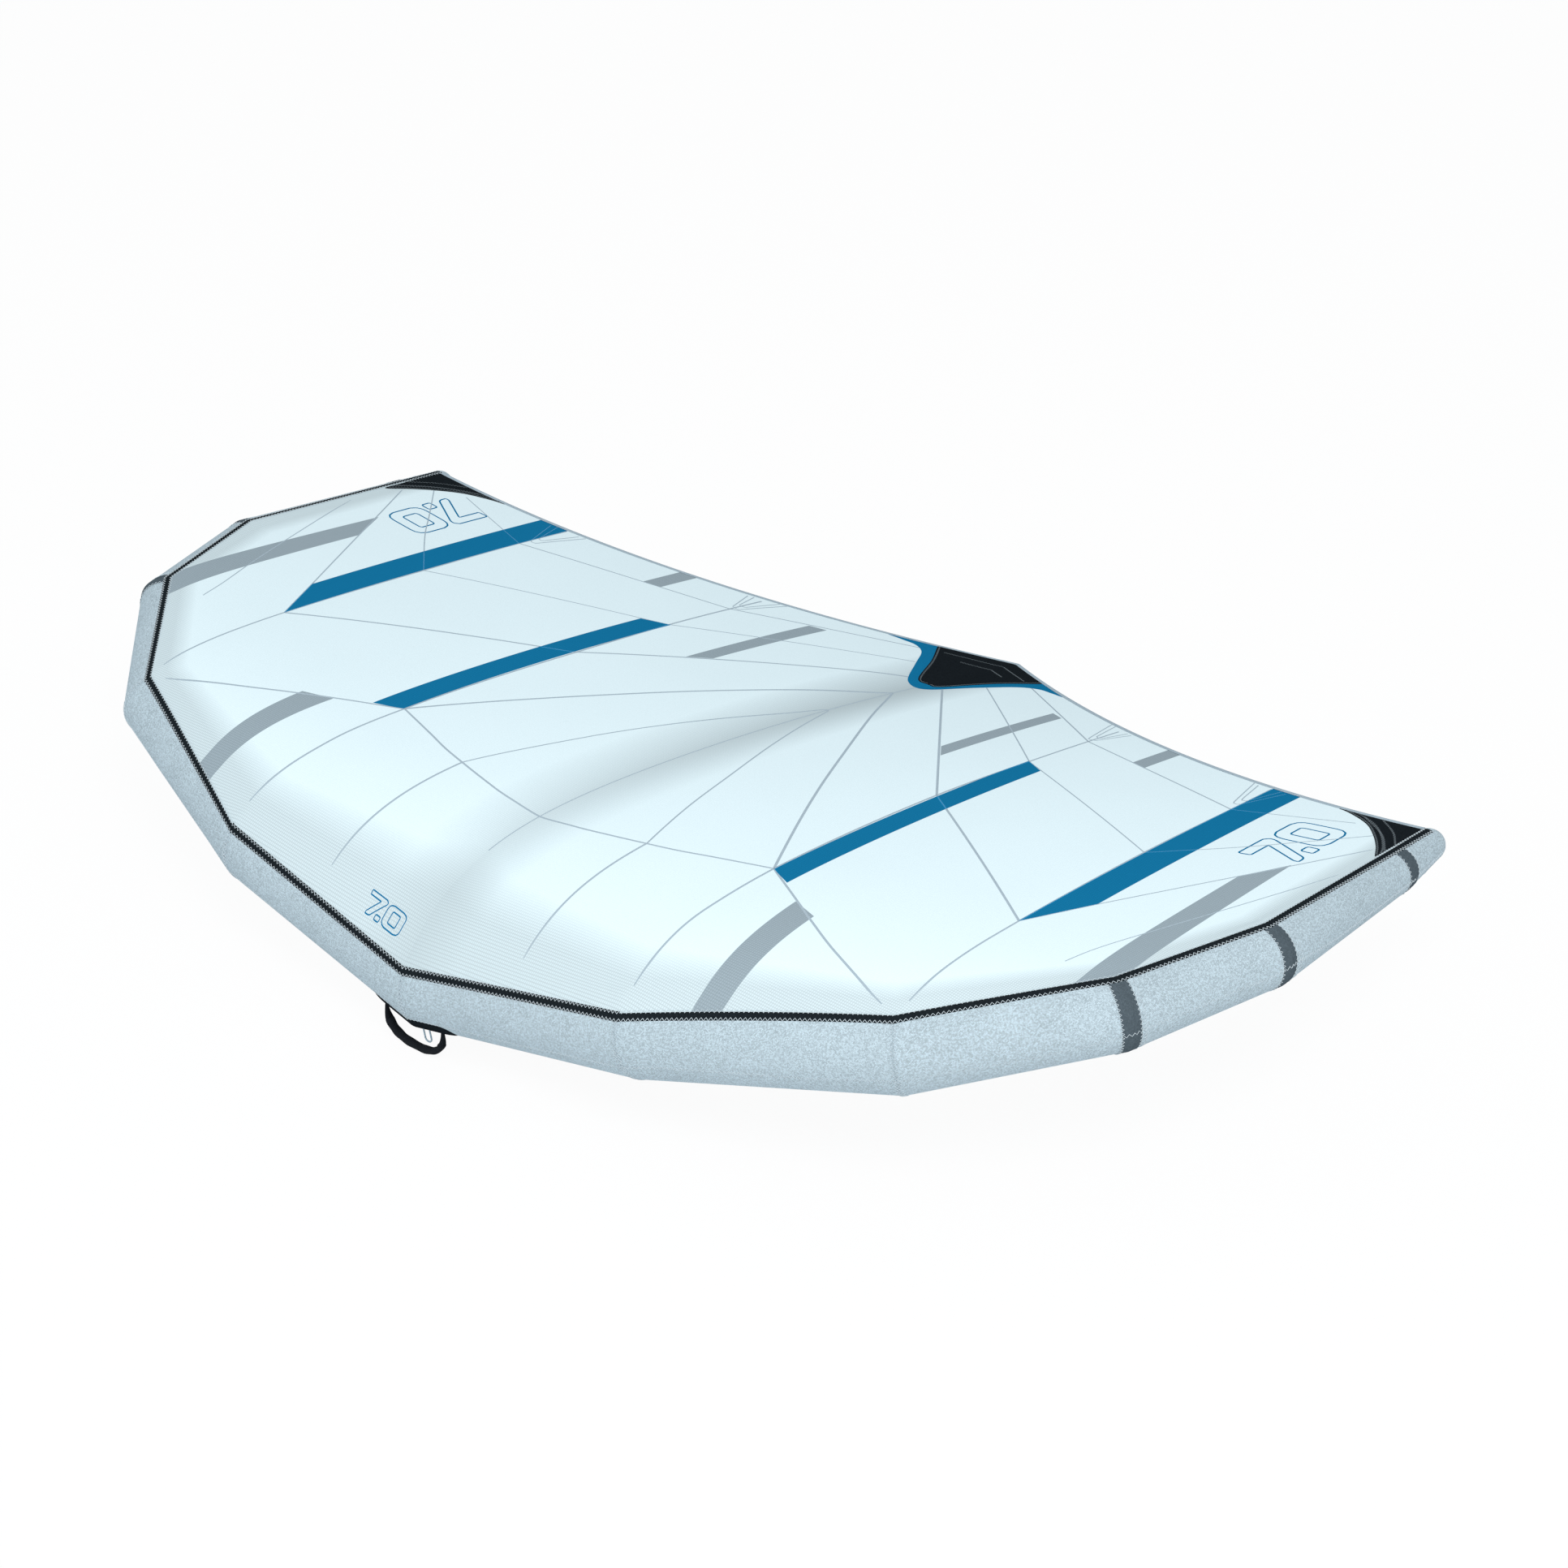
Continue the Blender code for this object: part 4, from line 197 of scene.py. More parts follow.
def resampled(points, step):
    """The same line with points at even steps along it."""
    lengths = along_line(points)
    places = np.linspace(0, lengths[-1], max(2, int(round(lengths[-1] / step)) + 1))
    return np.stack([np.interp(places, lengths, column) for column in np.transpose(points)], axis=1)


# Leading edge tube

def tape_point(corner):
    return np.array((
        HALF_SPAN * CORNER_SPAN_SHARES[corner],
        ROOT_CHORD * CORNER_CHORD_SHARES[corner],
        TIP_RISE * TIP_RISE_SHARES[corner],
    ))


def corner_frame(corner):
    """Centre, inward and upward directions, radius and tape angle at a corner of the tube."""
    steps = [
        unit(tape_point(k + 1) - tape_point(k)) for k in (corner - 1, corner) if 0 <= k < LAST_CORNER
    ]
    travel = np.array((1.0, 0, 0)) if corner == 0 else unit(sum(steps))
    inward = unit(np.cross((0, 0, 1), travel))
    upward = np.cross(travel, inward)
    angle = math.radians(TAPE_ANGLES_DEG[corner])
    radius = NOSE_RADIUS * RADIUS_SHARES[corner]
    outward = upward * math.sin(angle) - inward * math.cos(angle)
    return tape_point(corner) - outward * radius, inward, upward, radius, angle


CORNERS = [corner_frame(corner) for corner in range(LAST_CORNER + 1)]
AXIS_STEPS = [unit(CORNERS[k + 1][0] - CORNERS[k][0]) for k in range(LAST_CORNER)]
MITRES = [
    np.array((1.0, 0, 0)), *[
        unit(AXIS_STEPS[k - 1] + AXIS_STEPS[k]) for k in range(1, LAST_CORNER)
    ], AXIS_STEPS[-1]
]


def rings(turns, offset):
    """Points of the round tube at these turns, at every corner.

    A turn of 0 faces forward and a quarter turn faces up.
    """
    turns = np.asarray(turns, float)
    centre, inward, upward, radius, _ = CORNERS[0]
    first = radius * TUBE_ROUNDNESS + offset
    made = [centre + (np.sin(turns)[..., None] * upward - np.cos(turns)[..., None] * inward) * first]
    for corner in range(LAST_CORNER):
        start, end = CORNERS[corner][0], CORNERS[corner + 1][0]
        radii = [CORNERS[k][3] * TUBE_ROUNDNESS + offset for k in (corner, corner + 1)]
        apex = start + (end - start) * (radii[0] / (radii[0] - radii[1]))
        reach = dot(end - apex, MITRES[corner + 1]) / dot(made[-1] - apex, MITRES[corner + 1])
        made.append(apex + (made[-1] - apex) * reach[..., None])
    return made


def tape_turns():
    """The turn of the tape's middle at each corner, as the rings count it."""
    turns = np.linspace(-0.5, math.pi, 2001)
    found = []
    for corner, ring in enumerate(rings(turns, 0)):
        centre, inward, upward, _, angle = CORNERS[corner]
        here = np.unwrap(np.arctan2(dot(ring - centre, upward), -dot(ring - centre, inward)))
        found.append(float(np.interp(angle, here, turns)))
    return np.array(found)


TAPE_TURNS = tape_turns()


def tube(station, turn, offset=0.0, side=RIGHT):
    """Points on the tube. station counts corners from the nose, and may be an array like turn."""
    station, turn, offset = floats(station, turn, offset)
    corner = np.minimum(station.astype(int), LAST_CORNER - 1)
    share = (station - corner)[..., None]

    def surface(height):
        table = np.array(rings(turn, height))
        picks = [np.broadcast_to((corner + k)[None, ..., None], (1, *turn.shape, 3)) for k in (0, 1)]
        return lerp(*(np.take_along_axis(table, pick, axis=0)[0] for pick in picks), share)

    base = surface(0)
    point = base + (surface(OFFSET_STEP) - base) * (offset[..., None] / OFFSET_STEP)
    return point * mirror(side)


def station_radius(station):
    return np.interp(station, range(LAST_CORNER + 1), [corner[3] for corner in CORNERS])


def tape_turn(station, across=0.0):
    """The turn of a line beside the tape's middle. across is measured to the rear over the tube."""
    return np.interp(station, range(LAST_CORNER + 1), TAPE_TURNS) + across / station_radius(station)


def segment_length(corner):
    return float(np.linalg.norm(tape_point(corner + 1) - tape_point(corner)))


# Canopy surface, in plan coordinates of the right half

FRONT_STATIONS = np.linspace(0, 4, 129)
FRONT_LINE = tube(FRONT_STATIONS, tape_turn(FRONT_STATIONS))


def trailing(x):
    """The trailing edge's distance behind the nose and its height."""
    share = np.abs(x) / HALF_SPAN
    weights = ((1 - share) ** 2, 2 * share * (1 - share), share**2)
    chords = (1.0, TRAILING_MIDDLE_CHORD_SHARE, CORNER_CHORD_SHARES[-1])
    rises = (-ROOT_TRAILING_DROP, TRAILING_MIDDLE_RISE, TIP_RISE * TIP_RISE_SHARES[-1])
    chord, rise = (sum(w * size for w, size in zip(weights, sizes)) for sizes in (chords, rises))
    return ROOT_CHORD * chord, rise


def front(x):
    """The tape's distance behind the nose and its height."""
    return tuple(np.interp(np.abs(x), FRONT_LINE[:, 0], FRONT_LINE[:, k]) for k in (1, 2))


def chord_share(x, y):
    low, high = front(x)[0], trailing(x)[0]
    return np.clip((y - low) / (high - low), 0, 1)


def tube_clearance(points):
    """Signed height of each point above the round tube, and the way straight out of it."""
    best = np.full(points.shape[:-1], 1e9)
    way = np.zeros_like(points)
    for corner in range(LAST_CORNER):
        start, end = CORNERS[corner][0], CORNERS[corner + 1][0]
        length = np.linalg.norm(end - start)
        axis = AXIS_STEPS[corner]
        for side in (RIGHT, LEFT):
            seen = points * mirror(side)
            along = np.clip(dot(seen - start, axis), 0 if corner else -NOSE_OVERLAP, length)
            away = seen - (start + along[..., None] * axis)
            distance = np.linalg.norm(away, axis=-1)
            radius = lerp(CORNERS[corner][3], CORNERS[corner + 1][3], along / length) * TUBE_ROUNDNESS
            closer = distance - radius < best
            best = np.where(closer, distance - radius, best)
            way = np.where(closer[..., None], away / distance[..., None] * mirror(side), way)
    return best, way


def canopy(x, y):
    """Top face of the cloth above these plan points."""
    x, y = floats(x, y)
    chord = chord_share(x, y)
    span = np.abs(x) / HALF_SPAN
    bulge = CAMBER_FULLNESS * (1 - np.exp(-chord / CAMBER_NOSE_SHARE)) * (1 - chord)
    bulge = bulge * (1 + CAMBER_REAR_FULLNESS * chord)
    camber = CAMBER_DEPTH * (1 - np.clip(span, 0, 1)) ** CAMBER_SPAN_POWER * bulge
    fade = np.minimum(1, np.minimum(chord, 1 - chord) / VALLEY_FADE_SHARE)
    valley = VALLEY_DEPTH * np.exp(-((x / VALLEY_WIDTH) ** 2)) * fade
    z = lerp(front(x)[1], trailing(x)[1], chord) + camber - valley
    points = np.stack((x, y, z), axis=-1)
    height, way = tube_clearance(points)
    wanted = CANOPY_LIFT + TUBE_BLEND * np.logaddexp(0, (height - CANOPY_LIFT) / TUBE_BLEND)
    return points + way * (wanted - height)[..., None]


def canopy_normal(x, y):
    across = canopy(x + NORMAL_STEP, y) - canopy(x - NORMAL_STEP, y)
    along = canopy(x, y + NORMAL_STEP) - canopy(x, y - NORMAL_STEP)
    return unit(np.cross(across, along))


# Strut surface

def strut_frames():
    tops = []
    for i, share in enumerate(STRUT_STATION_SHARES):
        y = lerp(front(0)[0], trailing(0)[0], share)
        top = canopy(0.0, y) - canopy_normal(0.0, y) * (CANOPY_THICKNESS + STRUT_CANOPY_GAP)
        top[2] -= STRUT_NOSE_DROPS[i] if i < len(STRUT_NOSE_DROPS) else 0
        tops.append(top)
    made = []
    for i, top in enumerate(tops):
        ahead = tops[min(i + 1, len(tops) - 1)] - tops[max(i - 1, 0)]
        travel = unit((0, ahead[1], ahead[2]))
        upward = np.array((0, -travel[2], travel[1]))
        radius = STRUT_RADIUS * STRUT_RADIUS_SHARES[i]
        made.append(np.concatenate((top - upward * radius, upward, travel, (radius,))))
    return np.array(made)


STRUT = strut_frames()


def strut(station, turn, offset=0.0):
    """Points on the strut. turn is measured from its top towards the right."""
    station, turn, offset = floats(station, turn, offset)
    slopes = np.gradient(STRUT, axis=0)
    low = np.clip(station.astype(int), 0, len(STRUT) - 2)
    t = (station - low)[..., None]
    a, b, m, n = STRUT[low], STRUT[low + 1], slopes[low], slopes[low + 1]
    row = (2 * t**3 - 3 * t**2 + 1) * a + (t**3 - 2 * t**2 + t) * m
    row = row + (3 * t**2 - 2 * t**3) * b + (t**3 - t**2) * n
    outside = (station < 0) | (station > len(STRUT) - 1)
    row = np.where(outside[..., None], lerp(a, b, t), row)
    across = np.array((1.0, 0, 0))
    outward = unit(row[..., 3:6]) * np.cos(turn)[..., None] + across * np.sin(turn)[..., None]
    return row[..., :3] + outward * (row[..., 9:10] * TUBE_ROUNDNESS + offset[..., None])


# Meshes

def activate(piece=None):
    """Selects one piece, or none."""
    bpy.ops.object.select_all(action="DESELECT")
    if piece:
        piece.select_set(True)
        bpy.context.view_layer.objects.active = piece


def numbers(items, name, width=3, kind=np.float32):
    """One attribute of all these mesh items, in rows of this width."""
    flat = np.empty(len(items) * width, kind)
    items.foreach_get(name, flat)
    return flat.reshape(-1, width) if width > 1 else flat


def lay_map(piece, places, layer):
    """Fills a UV layer with one place for each vertex."""
    corners = numbers(piece.data.loops, "vertex_index", 1, np.int32)
    layer.data.foreach_set("uv", places[corners].astype(np.float32).ravel())


def edit_mesh(piece, change):
    work = bmesh.new()
    work.from_mesh(piece.data)
    change(work)
    work.to_mesh(piece.data)
    work.free()
    return piece


def facing_out(piece):
    return edit_mesh(piece, lambda work: bmesh.ops.recalc_face_normals(work, faces=work.faces))


def shade(piece, smooth_deg=40.0):
    activate(piece)
    bpy.ops.object.shade_smooth_by_angle(angle=math.radians(smooth_deg))


def grid_piece(name, points, uv, around=False, origin=ORIGIN):
    """A grid primitive whose vertices are put on these rows of points. around joins its outer columns."""
    rows, columns = points.shape[:2]
    activate()
    bpy.ops.mesh.primitive_grid_add(x_subdivisions=columns - 1, y_subdivisions=rows - 1, size=1)
    piece = bpy.context.object
    mesh = piece.data
    piece.name = mesh.name = name
    places = numbers(mesh.vertices, "co")
    column = np.rint((places[:, 0] + 0.5) * (columns - 1)).astype(int)
    row = np.rint((places[:, 1] + 0.5) * (rows - 1)).astype(int)
    mesh.vertices.foreach_set("co", (points[row, column] - origin).astype(np.float32).ravel())
    lay_map(piece, uv[row, column], mesh.uv_layers[0])
    mesh.update()
    if around:
        edit_mesh(piece, lambda work: bmesh.ops.remove_doubles(work, verts=work.verts, dist=1e-6))
    shade(piece)
    return piece


def mesh_piece(name, points, faces, smooth_deg=40.0):
    """A piece from points and faces, such as a cut sheet or a line of thread."""
    mesh = bpy.data.meshes.new(name)
    mesh.from_pydata((np.asarray(points) - ORIGIN).tolist(), [], [list(face) for face in faces])
    mesh.update()
    piece = bpy.data.objects.new(name, mesh)
    bpy.context.scene.collection.objects.link(piece)
    shade(piece, smooth_deg)
    return piece


def thicken(piece, thickness):
    """Gives a sheet its thickness below its top face."""
    activate(piece)
    wall = piece.modifiers.new("wall", "SOLIDIFY")
    wall.thickness = thickness
    wall.offset = -1
    bpy.ops.object.modifier_apply(modifier=wall.name)
    shade(piece)
    return piece


def facing(piece, outward):
    """Turns all faces over where most of them face away from outward(points)."""
    faces = piece.data.polygons
    if dot(numbers(faces, "normal"), outward(numbers(faces, "center") + ORIGIN)).sum() < 0:
        piece.data.flip_normals()


def tube_rows(centres, sides, radius):
    """Rings of one radius round a line of points."""
    travel = unit(np.gradient(centres, axis=0))
    side = unit(np.cross((0, 0, 1.0), travel[0]))
    turns = np.linspace(0, math.tau, sides + 1)[:, None]
    rows = []
    for point, way in zip(centres, travel):
        side = unit(side - dot(side, way) * way)
        rows.append(point + np.cos(turns) * side * radius + np.sin(turns) * np.cross(way, side) * radius)
    return np.array(rows)


def dome(row, out, rises_deg, centre):
    """Rings that close a round row. out leads from its centre to the dome's top."""
    centre = row[:-1].mean(axis=0) if centre is None else centre
    return np.array(
        [centre + (row - centre) * math.cos(k) + out * math.sin(k) for k in np.radians(rises_deg)]
    )


def domed(rows, outs, rises_deg, centres=(None, None)):
    """Rings closed with a dome at each end."""
    first, last = (
        dome(rows[k], out, rises_deg, centre) for k, out, centre in zip((0, -1), outs, centres)
    )
    return np.concatenate((first[::-1], rows, last))


def domed_map(rows, u, v, travel, reach, rises_deg, centre=None):
    """Rings and their map, with a dome after the last ring."""
    rises = np.radians(rises_deg)[:, None] * reach
    made = np.concatenate((rows, dome(rows[-1], travel * reach, rises_deg, centre)))
    u = np.concatenate((u, np.repeat(u[-1:], len(rises), axis=0)))
    return made, np.stack((u, np.concatenate((v, v[-1:] + rises))), axis=-1)


class Bands:
    """Collects closed bands, each from rows of points round it, into one mesh."""

    def __init__(self):
        self.points, self.faces, self.places = [], [], []
        self.count = 0
        self.length = self.area = 0.0

    def add_rows(self, rows):
        wide = rows.shape[1]
        first, last = self.count, self.count + (len(rows) - 1) * wide
        self.points.append(rows.reshape(-1, 3))
        for low in range(first, last, wide):
            for k in range(wide):
                m = (k + 1) % wide
                self.faces.append((low + k, low + m, low + wide + m, low + wide + k))
        self.faces += [tuple(range(first, first + wide))[::-1], tuple(range(last, last + wide))]
        self.count += len(rows) * wide

    def piece(self, name, smooth_deg):
        piece = mesh_piece(name, np.vstack(self.points), self.faces, smooth_deg)
        if self.places:
            lay_map(piece, np.vstack(self.places), piece.data.uv_layers.new(name="UVMap"))
        return facing_out(piece)


# Shader maths

class Value:
    """A shader value. Sums, products and comparisons on it add Math nodes."""

    def __init__(self, finish, socket):
        self.finish = finish
        self.socket = socket

    def other(self, output):
        """Another output of the same node."""
        return Value(self.finish, self.socket.node.outputs[output])

    def maths(self, operation, *others, clamp=False):
        return self.finish.node(
            "ShaderNodeMath", {"operation": operation, "use_clamp": clamp}, [self, *others]
        )

    def __add__(self, other):
        return self.maths("ADD", other)

    __radd__ = __add__

    def __sub__(self, other):
        return self.maths("SUBTRACT", other)

    def __rsub__(self, other):
        return self.finish.node("ShaderNodeMath", {"operation": "SUBTRACT"}, [other, self])

    def __mul__(self, other):
        return self.maths("MULTIPLY", other)

    __rmul__ = __mul__

    def __truediv__(self, other):
        return self.maths("DIVIDE", other)

    def absolute(self):
        return self.maths("ABSOLUTE")

    def sine(self):
        return self.maths("SINE")

    def floor(self):
        return self.maths("FLOOR")

    def limited(self):
        return self.maths("ADD", 0.0, clamp=True)

    def most(self, other):
        return self.maths("MAXIMUM", other)

    def pingpong(self, scale):
        return self.maths("PINGPONG", scale)

    def above(self, level, softness):
        """0 below the level and 1 above it, over this softness."""
        return ((self - level) / softness + 0.5).limited()


class Nodes:
    """A node tree built by expressions."""

    def __init__(self, tree):
        self.tree = tree

    def fill(self, socket, value):
        if isinstance(value, Value):
            self.tree.links.new(value.socket, socket)
        elif isinstance(value, (tuple, list)) and len(value) == 3 and socket.type == "RGBA":
            socket.default_value = (*value, 1.0)
        else:
            socket.default_value = value

    def node(self, kind, settings=None, values=(), output=0):
        """Adds a node, its settings first, and gives one of its outputs."""
        made = self.tree.nodes.new(kind)
        for name, value in (settings or {}).items():
            setattr(made, name, value)
        for key, value in values.items() if isinstance(values, dict) else enumerate(values):
            self.fill(made.inputs[key], value)
        return Value(self, made.outputs[output])

    def to_eye(self):
        """1 where the camera sees a surface itself or in a reflection, and 0 for the light that it gives."""
        path = self.node("ShaderNodeLightPath", output="Is Camera Ray")
        return (path + path.other("Is Glossy Ray") + path.other("Is Transmission Ray")).limited()


class Finish(Nodes):
    """A material built from nodes by expressions."""

    def __init__(self, name, roughness, specular=0.5, sheen=0.0, coat=0.0):
        self.material = bpy.data.materials.new(name)
        self.material.use_nodes = True
        super().__init__(self.material.node_tree)
        self.shader = self.tree.nodes["Principled BSDF"]
        constants = (roughness, specular, sheen, coat)
        for socket, value in zip(
            ("Roughness", "Specular IOR Level", "Sheen Weight", "Coat Weight"), constants
        ):
            self.shader.inputs[socket].default_value = value

    def mix(self, share, first, second):
        """One colour over another."""
        return self.node(
            "ShaderNodeMix", {"data_type": "RGBA"}, {0: share, 6: first, 7: second}, output=2
        )

    def parts(self, vector):
        first = self.node("ShaderNodeSeparateXYZ", values=[vector])
        return [first, first.other(1), first.other(2)]

    def place(self):
        return self.node("ShaderNodeTexCoord", output="Object")

    def uv(self):
        return self.node("ShaderNodeUVMap")

    def field(self, name):
        """A number stored on the piece's vertices."""
        return self.node("ShaderNodeAttribute", {"attribute_name": name}, output="Fac")

    def noise(self, scale, detail=2.0, roughness=0.5):
        values = {"Vector": self.place(), "Scale": scale, "Detail": detail, "Roughness": roughness}
        return self.node("ShaderNodeTexNoise", None, values)

    def cells(self, vector):
        """A random number for each whole-numbered cell of a vector."""
        return self.node("ShaderNodeTexWhiteNoise", {"noise_dimensions": "3D"}, {"Vector": vector})

    def joined(self, x, y, z=0.0):
        return self.node("ShaderNodeCombineXYZ", values=[x, y, z])

    def colour(self, value):
        self.fill(self.shader.inputs["Base Color"], value)

    def rough(self, value):
        self.fill(self.shader.inputs["Roughness"], value)

    def bump(self, height, distance, strength=1.0):
        made = self.node(
            "ShaderNodeBump", None, {"Height": height, "Distance": distance, "Strength": strength}
        )
        self.fill(self.shader.inputs["Normal"], made)


def scaled(colour, factor):
    return tuple(min(1.0, channel * factor) for channel in colour)


def from_screen(*channels):
    """A linear colour from a screen colour of 0 to 255."""
    return tuple(((c / 255 + 0.055) / 1.055) ** 2.4 if c > 10 else c / 255 / 12.92 for c in channels)


ICE = from_screen(232, 249, 254)
SEAM_GREY = from_screen(172, 188, 198)
STRIPE_GREY = from_screen(156, 171, 179)
STRIPE_BLUE = from_screen(22, 117, 162)
SLEEVE_BLUE = from_screen(181, 197, 205)
SLATE = from_screen(82, 93, 100)
TAPE_BLACK = from_screen(30, 36, 40)
PATCH_BLACK = from_screen(27, 32, 36)
THREAD_WHITE = from_screen(214, 226, 232)
THREAD_DARK = from_screen(110, 120, 126)


def weave(finish, u, v, pitch):
    """Height and random shade of a basket weave with threads this far apart."""
    x, y = u / pitch, v / pitch
    column, row = x.floor(), y.floor()
    turned = ((column + row) / 2).pingpong(0.5) * 2
    along = (x * math.pi).sine().absolute()
    across = (y * math.pi).sine().absolute()
    height = along * turned.above(0.5, 0.1) + across * (1 - turned.above(0.5, 0.1))
    return height, finish.cells(finish.joined(column, row))


def woven_finish(name, colour, pitch, contrast, roughness=0.6, bias=False, depth=0.0002):
    """Woven cloth on the piece's own UV map, in metres. bias lays the threads at 45 degrees."""
    finish = Finish(name, roughness, 0.0)
    u, v, _ = finish.parts(finish.uv())
    if bias:
        u, v = (u + v) * math.sqrt(0.5), (v - u) * math.sqrt(0.5)
    height, cell = weave(finish, u, v, pitch)
    broad = finish.noise(6.0, 3.0) - 0.5
    cloud = finish.noise(45.0, 2.0) - 0.5
    level = (cell - 0.5 + height - 0.6) * contrast + (broad + cloud) * (0.3 * contrast) + 0.5
    finish.colour(finish.mix(level.limited(), scaled(colour, 0.5), scaled(colour, 1.5)))
    finish.rough(roughness + (cell - 0.5) * 0.15)
    finish.bump(height + cell * 0.35, depth)
    return finish.material


# Seams and outlines in the plan, for the right half

NOSE_SEAM = (
    (0, 0.476), (0.119, 0.480), (0.206, 0.496), (0.312, 0.521), (0.395, 0.543), (0.479, 0.572),
    (0.623, 0.620),
)
MIDDLE_SEAM = (
    (0, 1.590), (0.007, 1.581), (0.044, 1.441), (0.107, 1.229), (0.182, 0.977), (0.243, 0.752),
    (0.311, 0.522),
)
RADIAL_SEAM = (
    (0, 1.879), (0.048, 1.779), (0.128, 1.612), (0.253, 1.357), (0.375, 1.104), (0.480, 0.895),
    (0.623, 0.620),
)
INNER_CHORD_SEAM = ((0.623, 0.620), (0.620, 1.258), (0.629, 1.646), (0.633, 1.915), (0.635, 2.06))
OUTER_CHORD_SEAM = (
    (1.240, 0.286), (1.236, 0.390), (1.233, 0.467), (1.231, 0.608), (1.231, 0.751), (1.228, 1.267),
    (1.231, 1.658), (1.229, 1.859), (1.228, 1.95),
)
FINE_SEAMS = (
    (0.0065, ((0.060, 2.030), (0.620, 1.257))),
    (0.0065, ((0.620, 1.257), (1.231, 0.751))),
    (0.0040, ((1.231, 0.751), (1.320, 0.932))),
    (0.0040, ((1.320, 0.932), (1.655, 1.590))),
    (0.0040, ((0.128, 2.150), (0.629, 1.646))),
    (0.0040, ((0.629, 1.646), (1.228, 1.267))),
    (0.0035, ((1.228, 1.267), (1.391, 1.429), (1.495, 1.548), (1.612, 1.680))),
    (0.0050, ((0.200, 2.270), (0.633, 1.915))),
    (0.0050, ((0.633, 1.915), (1.231, 1.655))),
    (0.0035, ((1.231, 1.655), (1.531, 1.735))),
    (
        0.0032,
        (
            (1.432, 0.640), (1.455, 0.730), (1.503, 0.870), (1.545, 0.995), (1.586, 1.120),
            (1.640, 1.290), (1.672, 1.400),
        ),
    ),
    (0.0060, ((0.311, 0.522), (0.316, 0.300), (0.323, 0.085))),
    (0.0060, ((0.623, 0.620), (0.628, 0.435), (0.630, 0.300), (0.645, 0.110))),
    (
        0.0060,
        ((0.623, 0.620), (0.780, 0.517), (0.880, 0.453), (0.985, 0.393), (1.130, 0.327), (1.190, 0.305)),
    ),
)
CENTRE_PATCH = ((0, 2.042), (0.041, 2.050), (0.117, 2.214), (0.200, 2.360), (0.230, 2.440))
CENTRE_BORDER = (
    (0, 1.985), (0.020, 1.988), (0.055, 2.020), (0.120, 2.142), (0.175, 2.242), (0.222, 2.277),
    (0.265, 2.272), (0.308, 2.262), (0.350, 2.247), (0.397, 2.232), (0.446, 2.211), (0.520, 2.176),
    (0.560, 2.250),
)
TIP_PATCH = (
    (1.385, 1.900), (1.407, 1.830), (1.477, 1.797), (1.553, 1.746), (1.607, 1.682), (1.651, 1.614),
    (1.682, 1.553), (1.720, 1.490),
)
TIP_STITCH_ROWS = (
    ((1.529, 1.785), (1.624, 1.693), (1.686, 1.594)),
    ((1.579, 1.785), (1.640, 1.720), (1.686, 1.645)),
    ((1.440, 1.826), (1.500, 1.801), (1.572, 1.752), (1.626, 1.687), (1.668, 1.618), (1.686, 1.575)),
)
CHEVRONS = (
    ((0.572, 2.145), (0.618, 1.936), (0.641, 1.935), (0.692, 2.085)),
    ((0.592, 2.135), (0.623, 1.966), (0.641, 1.964), (0.673, 2.095)),
    ((1.165, 1.885), (1.209, 1.700), (1.227, 1.696), (1.283, 1.850)),
    ((1.181, 1.885), (1.214, 1.728), (1.228, 1.732), (1.264, 1.860)),
)
# Depth behind the leading edge where the canopy lies over the tube, at points along the span: seams narrow
# inside it, and the canopy's painted shade of the tube fills it.
TUBE_ZONE = ((0.0, 0.24), (0.135, 0.17), (0.6, 0.12), (0.8, 0.10), (1.14, 0.078), (1.5, 0.062))
BLUE_REGIONS = (
    ((0.625, 0.618), (0.697, 0.579), (0.697, 1.600), (0.625, 1.649)),
    ((1.230, 0.749), (1.320, 0.932), (1.320, 2.000), (1.230, 2.000)),
)
GREY_REGIONS = (
    ((0.398, 1.572), (0.444, 1.508), (0.450, 2.057), (0.404, 2.083)),
    ((0.809, 0.100), (0.876, 0.100), (0.857, 0.482), (0.776, 0.515)),
    ((1.502, 0.540), (1.580, 0.620), (1.551, 1.397), (1.488, 1.264)),
    ((0.829, 1.831), (0.879, 1.806), (0.883, 1.980), (0.833, 2.005)),
)
LENGTHWISE_SEAM = (
    (0.38, -58), (0.53, -60), (0.75, -58), (0.99, -58), (1.15, -58), (1.39, -66), (1.68, -76),
    (1.86, -78), (2.14, -84), (2.48, -92), (2.76, -94), (3.04, -90), (3.24, -90), (3.58, -90),
    (3.86, -92), (4.03, -86), (4.35, -100), (4.70, -100), (4.94, -98), (6.0, -100),
)


def offset_line(line, distance):
    """A plan line moved to its left."""
    line = np.asarray(line, float)
    travel = unit(np.gradient(line, axis=0))
    return line + np.stack((-travel[:, 1], travel[:, 0]), axis=1) * distance


def front_plan(stations, across):
    """A plan line behind the tape's middle, measured over the tube."""
    stations = np.asarray(stations, float)
    return tube(stations, tape_turn(stations, across))[:, :2]


def trailing_plan(inset, last=HALF_SPAN):
    """The trailing edge in the plan, moved forward by an inset."""
    x = np.linspace(0, last, 140)
    moved = offset_line(np.stack((x, trailing(x)[0]), axis=1), -inset)
    return moved[moved[:, 0] >= 0]


def before(line, edge, gap=0.0):
    """The points of a plan line that lie ahead of an edge by more than this gap."""
    return line[line[:, 1] < np.interp(line[:, 0], edge[:, 0], edge[:, 1]) - gap]


def distance_to_line(points, line):
    """Distance of plan points from a plan line."""
    points, line = np.asarray(points, float), np.asarray(line, float)
    best = np.full(len(points), 1e9)
    for start, end in zip(line[:-1], line[1:]):
        edge = end - start
        share = np.clip((points - start) @ edge / max(edge @ edge, 1e-12), 0, 1)
        best = np.minimum(best, np.linalg.norm(points - start - share[:, None] * edge, axis=1))
    return best


